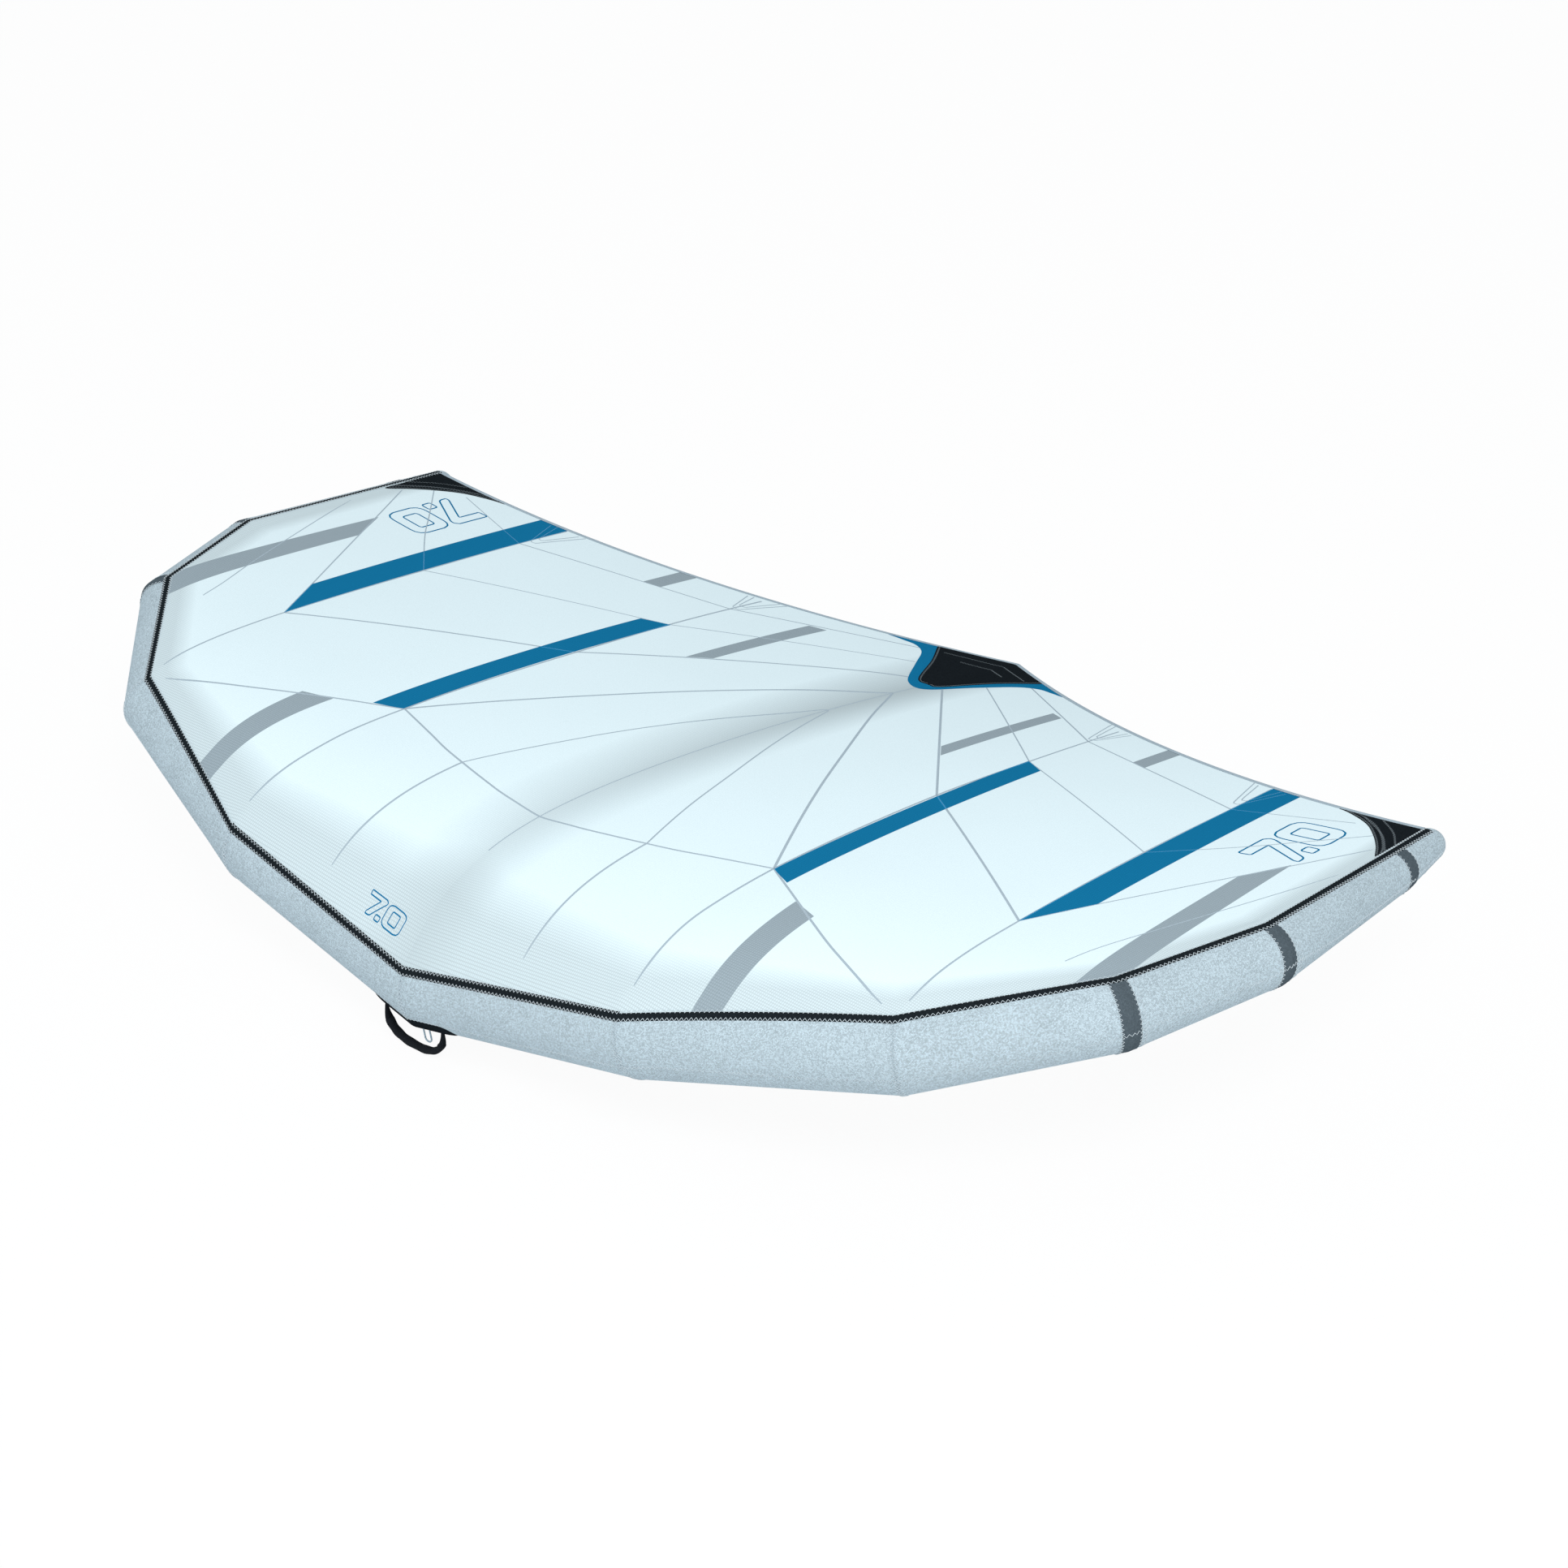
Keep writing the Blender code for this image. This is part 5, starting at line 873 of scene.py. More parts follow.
def inside(points, outline):
    """Which plan points lie inside a closed outline."""
    found = np.zeros(len(points), bool)
    for start, end in zip(outline, np.roll(outline, -1, axis=0)):
        crosses = (start[1] > points[:, 1]) != (end[1] > points[:, 1])
        rise = end[1] - start[1]
        at = start[0] + (points[:, 1] - start[1]) * (end[0] - start[0]) / (rise if rise else 1e-12)
        found ^= crosses & (points[:, 0] < at)
    return found


def cut_sheet(outline, step, fine_step=None):
    """Plan points and triangles that fill an outline, finer close behind the leading edge."""
    outline = np.asarray(outline, float)
    kept = [outline[0]]
    for point in outline[1:]:
        if np.linalg.norm(point - kept[-1]) > SAME_POINT:
            kept.append(point)
    if np.linalg.norm(kept[0] - kept[-1]) < SAME_POINT:
        kept.pop()
    outline = np.array(kept)
    edge = resampled(np.vstack((outline, outline[:1])), step * EDGE_STEP_SHARE)[:-1]
    low, high = outline.min(axis=0), outline.max(axis=0)
    clouds = []
    for size, close in ((step, False), (fine_step, True)):
        if size is None:
            continue
        x, y = np.meshgrid(np.arange(low[0], high[0], size), np.arange(low[1], high[1], size * ROW_SHARE))
        x = x + (np.arange(len(x)) % 2)[:, None] * size / 2
        cloud = np.stack((x.ravel(), y.ravel()), axis=1)
        cloud = cloud[inside(cloud, outline)]
        if fine_step is not None and len(cloud):
            cloud = cloud[(distance_to_line(cloud, FRONT_PLAN) < FINE_DEPTH) == close]
        if len(cloud):
            clear = distance_to_line(cloud, np.vstack((edge, edge[:1]))) > size * CLEAR_SHARE
            clouds.append(cloud[clear])
    points = np.vstack((edge, *clouds))
    count = len(edge)
    made, _, faces, _, _, _ = delaunay_2d_cdt(
        [Vector(point) for point in points], [(i, (i + 1) % count) for i in range(count)],
        [list(range(count))], 1, 1e-7,
    )
    return np.array([tuple(point) for point in made]), faces


# Spacing of a cut sheet's points, as shares of its step

SAME_POINT = 1e-4
EDGE_STEP_SHARE = 0.6
ROW_SHARE = 0.866
CLEAR_SHARE = 0.45
FINE_DEPTH = 0.07
FRONT_PLAN = front_plan(np.linspace(0, LAST_CORNER, 97), 0.0)
SEAM_WIDTHS = {"nose": 0.006, "middle": 0.0045, "radial": 0.007, "inner": 0.006, "outer": 0.0055}
SEAM_LINES = dict(zip(SEAM_WIDTHS, (
    smooth_line(line, LINE_STEP)
    for line in (NOSE_SEAM, MIDDLE_SEAM, RADIAL_SEAM, INNER_CHORD_SEAM, OUTER_CHORD_SEAM)
)))


def panel_outlines():
    """Plan outlines of the right half's canopy panels."""
    fronts = [
        front_plan(np.linspace(first, last, 1 + 24 * (last - first)), TAPE_HALF_WIDTH - CANOPY_TUCK)
        for first, last in ((0, 1), (1, 2), (2, LAST_CORNER))
    ]
    rear = trailing_plan(HEM_WIDTH - CANOPY_TUCK)

    def on_rear(x):
        return np.array((x, np.interp(x, rear[:, 0], rear[:, 1])))

    nose, radial = SEAM_LINES["nose"], SEAM_LINES["radial"]
    inner, outer = (before(SEAM_LINES[name], rear, 0.01) for name in ("inner", "outer"))
    ends = [on_rear(line[-1, 0]) for line in (inner, outer)]
    tip_end = on_rear(fronts[2][-1, 0])
    last_front = fronts[2][fronts[2][:, 1] < tip_end[1] - 0.002]
    breaks = (0, ends[0][0], ends[1][0], tip_end[0])
    rears = [
        rear[(rear[:, 0] > low + 0.004) & (rear[:, 0] < high - 0.004)][::-1]
        for low, high in zip(breaks, breaks[1:])
    ]
    outer = outer[outer[:, 1] > fronts[1][-1, 1] + 0.01]
    return {
        "nose": np.vstack((fronts[0], nose[::-1])),
        "shoulder": np.vstack((fronts[1], nose[-1:])),
        "centre": np.vstack((nose, radial[::-1][1:])),
        "rear": np.vstack((radial, inner[1:], ends[0], rears[0], (0.0, rear[0, 1]))),
        "middle": np.vstack((nose[-1:], fronts[1][-1:], outer, ends[1], rears[1], ends[0], inner[:0:-1])),
        "tip": np.vstack((last_front, tip_end, rears[2], ends[1], outer[::-1])),
    }


def behind_tube(plan):
    """How far plan points lie behind the leading edge, where 1 is clear of the tube."""
    return distance_to_line(plan, FRONT_PLAN) / np.interp(plan[:, 0], *np.transpose(TUBE_ZONE))


def canopy_cloth(name, outline, side, step, fine_step=None, lift=0.0, thickness=CLOTH):
    """A cut piece of cloth that follows the canopy. Its vertices hold how far behind the tube they lie, which
    the canopy finish reads to place the tube's painted shade.
    """
    plan, faces = cut_sheet(outline, step, fine_step)
    points = canopy(plan[:, 0], plan[:, 1])
    if lift:
        points = points + canopy_normal(plan[:, 0], plan[:, 1]) * lift
    piece = mesh_piece(name, points * mirror(side), [face[::side] for face in faces])
    facing(piece, lambda centres: np.array((0, 0, 1.0)))
    behind = piece.data.attributes.new("behind", "FLOAT", "POINT")
    behind.data.foreach_set("value", behind_tube(plan).astype(np.float32))
    return thicken(piece, thickness)


def both_sides(outline):
    """A whole outline from a right half that starts and ends on the centre line."""
    outline = np.asarray(outline, float)
    whole = np.vstack((outline, outline[::-1] * np.array((-1.0, 1.0))))
    keep = np.linalg.norm(whole - np.roll(whole, 1, axis=0), axis=1) > 1e-5
    return whole[keep]


# A laid strip's section, as shares of its width and thickness

STRIP_SECTION = np.array(((0.0, 0.0), (0.15, 1.0), (0.5, 1.0), (0.85, 1.0), (1.0, 0.0)))


class Strips(Bands):
    """Narrow strips of cloth laid on the canopy."""

    def add(self, left, right, normals, thickness):
        """left and right are the strip's edges on the surface below it."""
        section = [
            lerp(left, right, share) + normals * thickness * height for share, height in STRIP_SECTION
        ]
        along = along_line((left + right) / 2)
        width = float(np.linalg.norm(right - left, axis=1).mean())
        self.add_rows(np.stack(section, axis=1))
        places = floats((STRIP_SECTION[:, 0] - 0.5) * width, along[:, None])
        self.places.append(np.stack(places, axis=-1).reshape(-1, 2))
        self.length += float(along[-1])
        self.area += float(along[-1]) * width

    def on_canopy(
        self, line, width, thickness, lift=STRIP_LIFT, sides=(RIGHT, LEFT), step=LINE_STEP, tapered=True
    ):
        """Lays a strip on a plan line as far as the hem. A tapered one narrows over the leading edge tube."""
        line = resampled(before(resampled(line, step), trailing_plan(HEM_WIDTH)), step)
        normals = canopy_normal(line[:, 0], line[:, 1])
        half = width / 2 * (np.clip(behind_tube(line), 0.1, 1) if tapered else np.ones(len(line)))
        sideways = (offset_line(line, 1.0) - line) * half[:, None]
        left, right = (canopy(*place.T) + normals * lift for place in (line + sideways, line - sideways))
        for side in sides:
            self.add(left * mirror(side), right * mirror(side), normals * mirror(side), thickness)


ZIGZAG_POINTS = 4


def zigzag(length, pitch, amplitude):
    """Places along and across a line of zigzag stitching."""
    count = max(2, int(round(length / pitch * ZIGZAG_POINTS)))
    share = np.arange(count + 1) / ZIGZAG_POINTS
    swing = 1 - 4 * np.abs((share % 1) - 0.5)
    return share * (length / (count / ZIGZAG_POINTS)), swing * amplitude / 2


class Threads(Bands):
    """Lines of stitching, each thread a thin square cord."""

    def add(self, line, normals, radius):
        up = unit(normals) * radius
        side = unit(np.cross(unit(normals), unit(np.gradient(line, axis=0)))) * radius
        self.add_rows(np.stack((line + side, line + up, line - side, line - up), axis=1))

    def on_tube(self, stations, turns, lift, side, radius):
        """Lays a thread on the leading edge tube. Stations below 0 lie on the tube's other half."""
        flip = mirror(np.where(stations < 0, -1.0, 1.0))
        line, above = (tube(np.abs(stations), turns, lift + rise, side) * flip for rise in (0.0, 0.004))
        self.add(line, above - line, radius)

    def on_canopy(self, line, side, lift, radius, pitch, amplitude):
        """Lays a zigzag row on the canopy along a plan line, as far as the hem."""
        line = resampled(before(line, trailing_plan(HEM_WIDTH)), STITCH_STEP)
        lengths = along_line(line)
        along, across = zigzag(lengths[-1], pitch, amplitude)
        place, sideways = (
            np.stack([np.interp(along, lengths, column) for column in table.T], axis=1)
            for table in (line, offset_line(line, 1.0) - line)
        )
        place = place + sideways * across[:, None]
        normals = canopy_normal(place[:, 0], place[:, 1])
        points = canopy(place[:, 0], place[:, 1]) + normals * lift
        self.add(points * mirror(side), normals * mirror(side), radius)


# Settings

def colour_setting(name, description, default):
    return bpy.props.FloatVectorProperty(
        name=name, description=description, default=default, subtype="COLOR", size=3, min=0, max=1
    )


def length_setting(name, description, default, low=0.0001, high=1.0):
    return bpy.props.FloatProperty(
        name=name, description=description, default=default, min=low, max=high, unit="LENGTH"
    )


class WingColours(bpy.types.PropertyGroup):
    canopy: colour_setting("Canopy", "Colour of the canopy cloth", ICE)
    stripe_blue: colour_setting(
        "Blue stripes", "Colour of the two blue stripes on each half", STRIPE_BLUE
    )
    stripe_grey: colour_setting(
        "Grey stripes", "Colour of the four grey stripes on each half", STRIPE_GREY
    )
    seam: colour_setting("Seams", "Colour of the canopy's seams and hem", SEAM_GREY)
    sleeve: colour_setting("Sleeve", "Colour of the woven leading edge and strut", SLEEVE_BLUE)
    band: colour_setting("Corner bands", "Colour of the bands over the outer corners", SLATE)
    tape: colour_setting("Tape", "Colour of the tape where canopy and leading edge meet", TAPE_BLACK)
    patch: colour_setting("Patches", "Colour of the corner patches", PATCH_BLACK)
    thread: colour_setting("Light thread", "Colour of the stitching on the leading edge", THREAD_WHITE)
    patch_thread: colour_setting("Dark thread", "Colour of the stitching on the patches", THREAD_DARK)


class WingSizes(bpy.types.PropertyGroup):
    stitch_pitch: length_setting("Stitch pitch", "Length of one zigzag stitch", 0.0115, 0.004, 0.05)
    stitch_width: length_setting("Stitch width", "Width of the zigzag rows", 0.0075, 0.002, 0.02)
    thread_radius: length_setting(
        "Thread radius", "Half the thickness of the stitching thread", 0.0007, 0.0002, 0.002
    )
    weave_pitch: length_setting(
        "Weave pitch", "Width of one cell of the woven sleeve", 0.0028, 0.001, 0.02
    )
    canopy_mesh: length_setting(
        "Canopy mesh", "Distance between the canopy's mesh points", 0.015, 0.006, 0.05
    )


# Finishes

EDGE_SHARPNESS = 800.0
GRAIN_SCALE = 330.0
GRID_CELLS = ((0.0029, 0.0009), (0.0032, 0.0010))


def finish_named(name, make, *values):
    return bpy.data.materials.get(name) or make(name, *values)


def sleeve_finish(context):
    colour, pitch = context.scene.wing_colours.sleeve, context.scene.wing_sizes.weave_pitch
    return finish_named("sleeve_weave", woven_finish, tuple(colour), pitch, 0.44, 0.58, True, 0.0003)


def region(finish, plan, corners):
    """1 inside a shape of straight edges, listed anticlockwise in the plan, and 0 outside."""
    mask = None
    for (x1, y1), (x2, y2) in zip(corners, corners[1:] + corners[:1]):
        length = math.hypot(x2 - x1, y2 - y1)
        across = (-(y2 - y1) / length, (x2 - x1) / length)
        reach = (*across, -across[0] * x1 - across[1] * y1)
        edge = finish.node("ShaderNodeVectorMath", {"operation": "DOT_PRODUCT"}, [plan, reach], output=1)
        edge = edge.maths("MULTIPLY_ADD", EDGE_SHARPNESS, 0.5, clamp=True)
        mask = edge if mask is None else mask * edge
    return mask


def grain(finish):
    return finish.noise(GRAIN_SCALE, 1.0, 0.6) - 0.5


def plan_places(finish):
    """Plan coordinates of the right half, for both halves, from the nose seam."""
    x, y, _ = finish.parts(finish.place())
    y = y + float(ORIGIN[1])
    return x, y, finish.joined(x.absolute(), y, 1.0)


def any_region(finish, plan, regions):
    first, *others = [region(finish, plan, corners) for corners in regions]
    for mask in others:
        first = first.most(mask)
    return first


def canopy_finish(name, colours):
    """Light coated cloth with printed stripes and a ripstop grid. It carries painted shade: greyer over the
    leading edge tube and along the strut beneath it.
    """
    finish = Finish(name, 0.5, 0.0)
    x, y, plan = plan_places(finish)
    line_x, line_y = (
        1 - place.pingpong(cell).above(line, 0.0008) for place, (cell, line) in zip((x, y), GRID_CELLS)
    )
    grid = line_x.most(line_y)
    # Painted shade over the leading edge tube, from the stored distance behind it, and along the strut in a
    # band that deepens towards the rear.
    tube_shade = 1 - finish.field("behind").above(1.0, 0.7)
    strut_shade = (1 - x.absolute().above(0.075, 0.17)) * (y.above(1.0, 1.6) * 0.6 + 0.4)
    # under is the stronger of the two painted shades; it also deepens the grid lines.
    under = tube_shade.most(strut_shade)
    speck = grain(finish)
    broad = finish.noise(3.0, 2.0) - 0.5
    cloudy = (speck * 1.6 + broad * 0.4 + 0.3).limited() * 0.20
    cloth = tuple(colours.canopy)
    # Mixed over the cloth in turn: random cloudy tone, the tube's painted shade, the ripstop grid lines
    # (drawn darker inside the painted shade) and the strut's painted shade.
    for share, dimmed in (
        (cloudy, 0.6), (tube_shade * 0.5, 0.66), (
            grid * (under * 0.34 + 0.05), 0.42
        ), (strut_shade * 0.8, 0.5)
    ):
        cloth = finish.mix(share, cloth, scaled(colours.canopy, dimmed))
    worn = (speck * 0.5 + 0.6 - grid * 0.45).limited()
    for regions, colour in ((GREY_REGIONS, colours.stripe_grey), (BLUE_REGIONS, colours.stripe_blue)):
        stripe = finish.mix(worn, scaled(colour, 0.8), scaled(colour, 1.2))
        cloth = finish.mix(any_region(finish, plan, regions), cloth, stripe)
    finish.colour(cloth)
    finish.rough(0.5 + speck * 0.25)
    finish.bump(speck * 0.6 - grid * 0.5, 0.0003, 0.6)
    return finish.material


def seam_finish(name, colours):
    """Seam tape with a row of zigzag thread down its middle, printed blue where it crosses a blue stripe."""
    finish = Finish(name, roughness=0.5, specular=0.0)
    _, _, plan = plan_places(finish)
    u, v, _ = finish.parts(finish.uv())
    swing = ((v / 0.0075).pingpong(0.5) * 4 - 1) * 0.0011
    thread = 1 - (u - swing).absolute().above(0.00045, 0.0003)
    speck = grain(finish)
    tape = finish.mix(
        (speck * 1.5 + 0.5).limited(), scaled(colours.seam, 0.88), scaled(colours.seam, 1.08)
    )
    tape = finish.mix(any_region(finish, plan, BLUE_REGIONS), tape, scaled(colours.stripe_blue, 1.25))
    finish.colour(finish.mix(thread * 0.5, tape, scaled(colours.seam, 1.25)))
    finish.bump(thread + speck * 0.3, 0.0003)
    return finish.material


def laid_weave(name, colour, pitch, contrast):
    """Woven cloth on a piece laid flat over the canopy, by its place in the plan."""
    finish = Finish(name, 0.5, 0.0)
    x, y, _ = finish.parts(finish.place())
    height, cell = weave(finish, x, y, pitch)
    level = (0.5 + (cell - 0.5 + height - 0.6) * contrast + grain(finish) * 0.3).limited()
    finish.colour(finish.mix(level, scaled(colour, 0.6), scaled(colour, 1.4)))
    finish.rough(0.5 + (cell - 0.5) * 0.2)
    finish.bump(height, 0.0002)
    return finish.material


def thread_finish(name, colour):
    """Twisted sewing thread."""
    finish = Finish(name, roughness=0.55, specular=0.3)
    x, y, z = finish.parts(finish.place())
    twist = ((x + y * 0.7 + z * 1.3) * 5200.0).sine() * 0.5 + 0.5
    worn = finish.noise(60.0, 2.0)
    finish.colour(finish.mix(twist * 0.15 + worn * 0.2, tuple(colour), scaled(colour, 0.6)))
    finish.bump(twist, 0.0001)
    return finish.material


def film_finish(name):
    """Smooth soft bladder film."""
    finish = Finish(name, roughness=0.28, coat=0.2)
    cloud = finish.noise(7.0, 3.0)
    finish.colour(finish.mix(cloud, (0.62, 0.67, 0.70), (0.80, 0.84, 0.86)))
    finish.rough(0.24 + cloud * 0.12)
    finish.bump(finish.noise(40.0, 2.0), 0.0006, 0.4)
    return finish.material


def moulded_finish(name, colour, roughness, texture=520.0):
    """Moulded plastic with a fine spark texture, paler at its sharp outer edges."""
    finish = Finish(name, roughness=roughness, specular=0.5)
    fine = finish.noise(texture, 2.0)
    broad = finish.noise(45.0, 3.0)
    edge = finish.node("ShaderNodeNewGeometry", output="Pointiness")
    # Paler colour at sharp outer edges, found from pointiness and varied by broad noise.
    edge_paling = edge.above(0.56, 0.1) * (broad * 0.8 + 0.2)
    shade_colour = finish.mix(broad, scaled(colour, 0.85), scaled(colour, 1.12))
    finish.colour(finish.mix(edge_paling * 0.35, shade_colour, scaled(colour, 1.9)))
    finish.rough(roughness - 0.08 + fine * 0.2)
    finish.bump(fine, 0.00012, 0.6)
    return finish.material


def foam_finish(name, colour):
    """Closed-cell foam covered in a fine knit, with faint grip ribs around it."""
    finish = Finish(name, roughness=0.72, specular=0.02)
    u, v, _ = finish.parts(finish.uv())
    height, cell = weave(finish, u, v, 0.0016)
    ribs = (v * (math.tau / 0.006)).sine() * 0.5 + 0.5
    cloud = finish.noise(30.0, 3.0)
    level = (cell * 0.25 + ribs * 0.2 + cloud * 0.4).limited()
    finish.colour(finish.mix(level, scaled(colour, 0.75), scaled(colour, 1.5)))
    finish.rough(0.66 + cell * 0.15)
    finish.bump(height * 0.4 + ribs, 0.0003)
    return finish.material


def braid_finish(name, colour, dark, strands, pitch):
    """Braided cord on the piece's own map, u round it and v along it in metres."""
    finish = Finish(name, 0.6, sheen=0.2)
    u, v, _ = finish.parts(finish.uv())
    turn, rise = u * strands, v / pitch * strands
    one = ((turn + rise) * math.pi).sine().absolute()
    other = ((turn - rise) * math.pi).sine().absolute()
    height = one.most(other)
    fleck = finish.cells(finish.joined((turn + rise).floor(), (turn - rise).floor(), 3.0))
    cord = finish.mix(height, scaled(colour, 0.6), tuple(colour))
    finish.colour(finish.mix(fleck.above(0.82, 0.1), cord, tuple(dark)))
    finish.bump(height, 0.0004)
    return finish.material


# Pieces

def dress(piece, finish, body="wing", nodes=()):
    """Gives a piece its material, its body and the frame nodes that it stands for."""
    piece.data.materials.clear()
    piece.data.materials.append(finish)
    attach(piece, body)
    if nodes:
        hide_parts(*nodes)
    return piece


def metres_map(points):
    """A map in metres for a grid, along its middle row and column."""
    rows, columns = points.shape[:2]
    across, along = along_line(points[rows // 2]), along_line(points[:, columns // 2])
    return np.stack(floats(across[None, :], along[:, None]), axis=-1)


# The sleeves' seams: points closer together beside them, and the cloth drawn in at them

SEAM_STEPS = np.array((0.0, 0.002, 0.004, 0.007, 0.011, 0.016, 0.023, 0.032, 0.045, 0.062, 0.085))
PANEL_STEP = 0.025
PANEL_GAP = 0.0002
FOLD_WIDTH = 0.034
STRUT_FOLDS = 14
FREE_END = 10.0


def seam_turn(station):
    """The turn of the sleeve's lengthwise seam."""
    stations, degrees = zip(*LENGTHWISE_SEAM)
    return tape_turn(station) + np.radians(np.interp(station, stations, degrees))


def segment_stations(first, last, length):
    """Places and stations from one seam to the next, closer together near each seam."""
    close = SEAM_STEPS[-1]
    middle = np.linspace(close, length - close, max(3, int((length - 2 * close) / PANEL_STEP)))
    along = np.concatenate((SEAM_STEPS[:-1], middle, length - SEAM_STEPS[-2::-1]))
    return along, first + (last - first) * along / length


def seam_pull(gap, wave, seam, fold, reach):
    """How far the cloth is drawn in at this gap from a seam, by the seam and by the folds that run to it."""
    return -seam * np.exp(-((gap / 0.006) ** 2)) - fold * wave * np.exp(-((gap / reach) ** 2))


def folded(turns, folds, shift, slow_shift):
    return 0.5 + 0.5 * np.sin(turns * folds + shift) * np.sin(turns * 3 + slow_shift)


def sleeve_panel(name, side, corner):
    """One woven panel of the leading edge, its girth and its length."""
    length = segment_length(corner)
    trim = PANEL_GAP / length
    last = corner == LAST_CORNER - 1
    along, stations = segment_stations(corner + trim, corner + 1 - (0 if last else trim), length)
    turns = seam_turn(stations)[:, None] + np.linspace(0, math.tau, TUBE_SIDES + 1)
    radius = station_radius(stations)[:, None]
    gap = np.minimum(along, FREE_END if last else length - along)[:, None]
    wave = folded(turns, np.round(math.tau * radius / FOLD_WIDTH), corner * 2.1, side)
    points = tube(stations[:, None], turns, seam_pull(gap, wave, 0.0009, 0.0008, 0.022), side)
    u = (turns - tape_turn(stations)[:, None]) * radius
    u, v = floats(u, along[:, None])
    places = np.stack((u, v), axis=-1)
    if last:
        centre, travel = CORNERS[LAST_CORNER][0] * mirror(side), MITRES[LAST_CORNER] * mirror(side)
        rises = (6, 14, 24, 35, 47, 59, 71, 82, 90)
        points, places = domed_map(points, u, v, travel, CORNERS[LAST_CORNER][3], rises, centre)
    piece = grid_piece(name, points, places, around=True)
    middle = np.mean([CORNERS[corner][0], CORNERS[corner + 1][0]], axis=0) * mirror(side)
    axis = AXIS_STEPS[corner] * mirror(side)

    def outward(centres):
        away = centres - middle
        return away - (away @ axis)[:, None] * axis

    facing(piece, outward)
    return thicken(piece, CLOTH), math.tau * float(radius.mean()), length


class WING_OT_sleeves(bpy.types.Operator):
    """Sews the twelve woven sleeve panels of the leading edge"""

    bl_idname = "wing.sleeves"
    bl_label = "Leading edge sleeves"

    def execute(self, context):
        finish = sleeve_finish(context)
        for side in (RIGHT, LEFT):
            for corner in range(LAST_CORNER):
                label = f"{SIDE_NAMES[side]}_{corner + 1}"
                piece, wide, long = sleeve_panel(f"sleeve_{label}", side, corner)
                dress(piece, finish, nodes=[f"le_sleeve_{label}"])
                long += DOME_LENGTH if corner == LAST_CORNER - 1 else 0
        return {"FINISHED"}


DOME_LENGTH = 0.05
DOME_DEG = (18, 36, 54, 72, 90)
TUBE_FILM_INSET = 0.0032
STRUT_FILM_INSET = 0.003
STRUT_FILM_START = 1.7
TUBE_FILM_RADIUS = 0.088
STRUT_FILM_RADIUS = 0.06


class WING_OT_bladders(bpy.types.Operator):
    """Lays the air bladders inside the leading edge and the strut"""

    bl_idname = "wing.bladders"
    bl_label = "Bladders"

    def execute(self, context):
        turns = np.linspace(0, math.tau, 49)
        stations = tube_stations(9)
        right = tube(stations[:, None], turns, -TUBE_FILM_INSET, RIGHT)
        left = tube(stations[1:, None], turns, -TUBE_FILM_INSET, LEFT)[::-1]
        centre, _, _, radius, _ = CORNERS[LAST_CORNER]
        outs = [MITRES[LAST_CORNER] * mirror(side) * (radius - TUBE_FILM_INSET) for side in (LEFT, RIGHT)]
        centres = [centre * mirror(side) for side in (LEFT, RIGHT)]
        rows = domed(np.concatenate((left, right)), outs, DOME_DEG, centres)
        film_piece("leading_edge_film", rows, "le_bladder", TUBE_FILM_RADIUS)
        stations = np.linspace(STRUT_FILM_START, len(STRUT) - 1, 40)
        body = strut(stations[:, None], turns, -STRUT_FILM_INSET)
        outs = []
        for ring, inner in ((body[0], body[1]), (body[-1], body[-2])):
            travel = unit(ring - inner)[:-1].mean(axis=0)
            outs.append(unit(travel) * np.linalg.norm(ring[0] - ring[:-1].mean(axis=0)))
        rows = domed(body, outs, DOME_DEG)
        film_piece("strut_film", rows, "strut_bladder", STRUT_FILM_RADIUS)
        return {"FINISHED"}


def tube_stations(count):
    """Stations over the whole half, with this many from one corner to the next."""
    return np.concatenate(
        [np.linspace(k, k + 1, count)[:-1] for k in range(LAST_CORNER)] + [[LAST_CORNER]]
    )


def film_piece(name, rows, node, radius):
    piece = grid_piece(name, rows, metres_map(rows), around=True)
    thicken(facing_out(piece), FILM)
    dress(piece, finish_named("bladder_skin", film_finish), nodes=[node])
    declare_tube(piece, math.tau * radius)


class WING_OT_bands(bpy.types.Operator):
    """Wraps the dark bands over the three outer corners of each side"""

    bl_idname = "wing.bands"
    bl_label = "Corner bands"

    def execute(self, context):
        finish = finish_named(
            "band_weave", woven_finish, tuple(context.scene.wing_colours.band), 0.0026, 0.3
        )
        shares = np.array((-1, -0.93, -0.6, -0.3, -0.1, 0, 0.1, 0.3, 0.6, 0.93, 1))
        lift = 0.0011 - 0.0004 * np.abs(shares) ** 6
        for side in (RIGHT, LEFT):
            for corner in BAND_CORNERS:
                ahead, after = (BAND_HALF_WIDTH / segment_length(k) for k in (corner - 1, corner))
                stations = corner + np.where(shares < 0, shares * ahead, shares * after)
                reach = (TAPE_HALF_WIDTH + EDGE_GAP) / station_radius(stations)
                turns = (tape_turn(stations) + reach)[:, None]
                turns = turns + (math.tau - 2 * reach)[:, None] * np.linspace(0, 1, 101)
                points = tube(stations[:, None], turns, lift[:, None], side)
                label = f"{SIDE_NAMES[side]}_{corner}"
                piece = grid_piece(f"corner_band_{label}", points, metres_map(points))
                middle = CORNERS[corner][0] * mirror(side)
                facing(piece, lambda centres: centres - middle)
                thicken(piece, TAPE_CLOTH)
                dress(piece, finish, nodes=[f"le_corner_band_{label}"])
                flat = (2 * BAND_HALF_WIDTH, math.tau * CORNERS[corner][3] - 2 * TAPE_HALF_WIDTH)
        return {"FINISHED"}


def tape_height(across):
    """The tape's top above the sleeve, higher where it lies on the canopy's edge."""
    return 0.0013 + 0.0006 * np.tanh(across / 0.003) - 0.0003 * np.abs(across / TAPE_HALF_WIDTH) ** 8


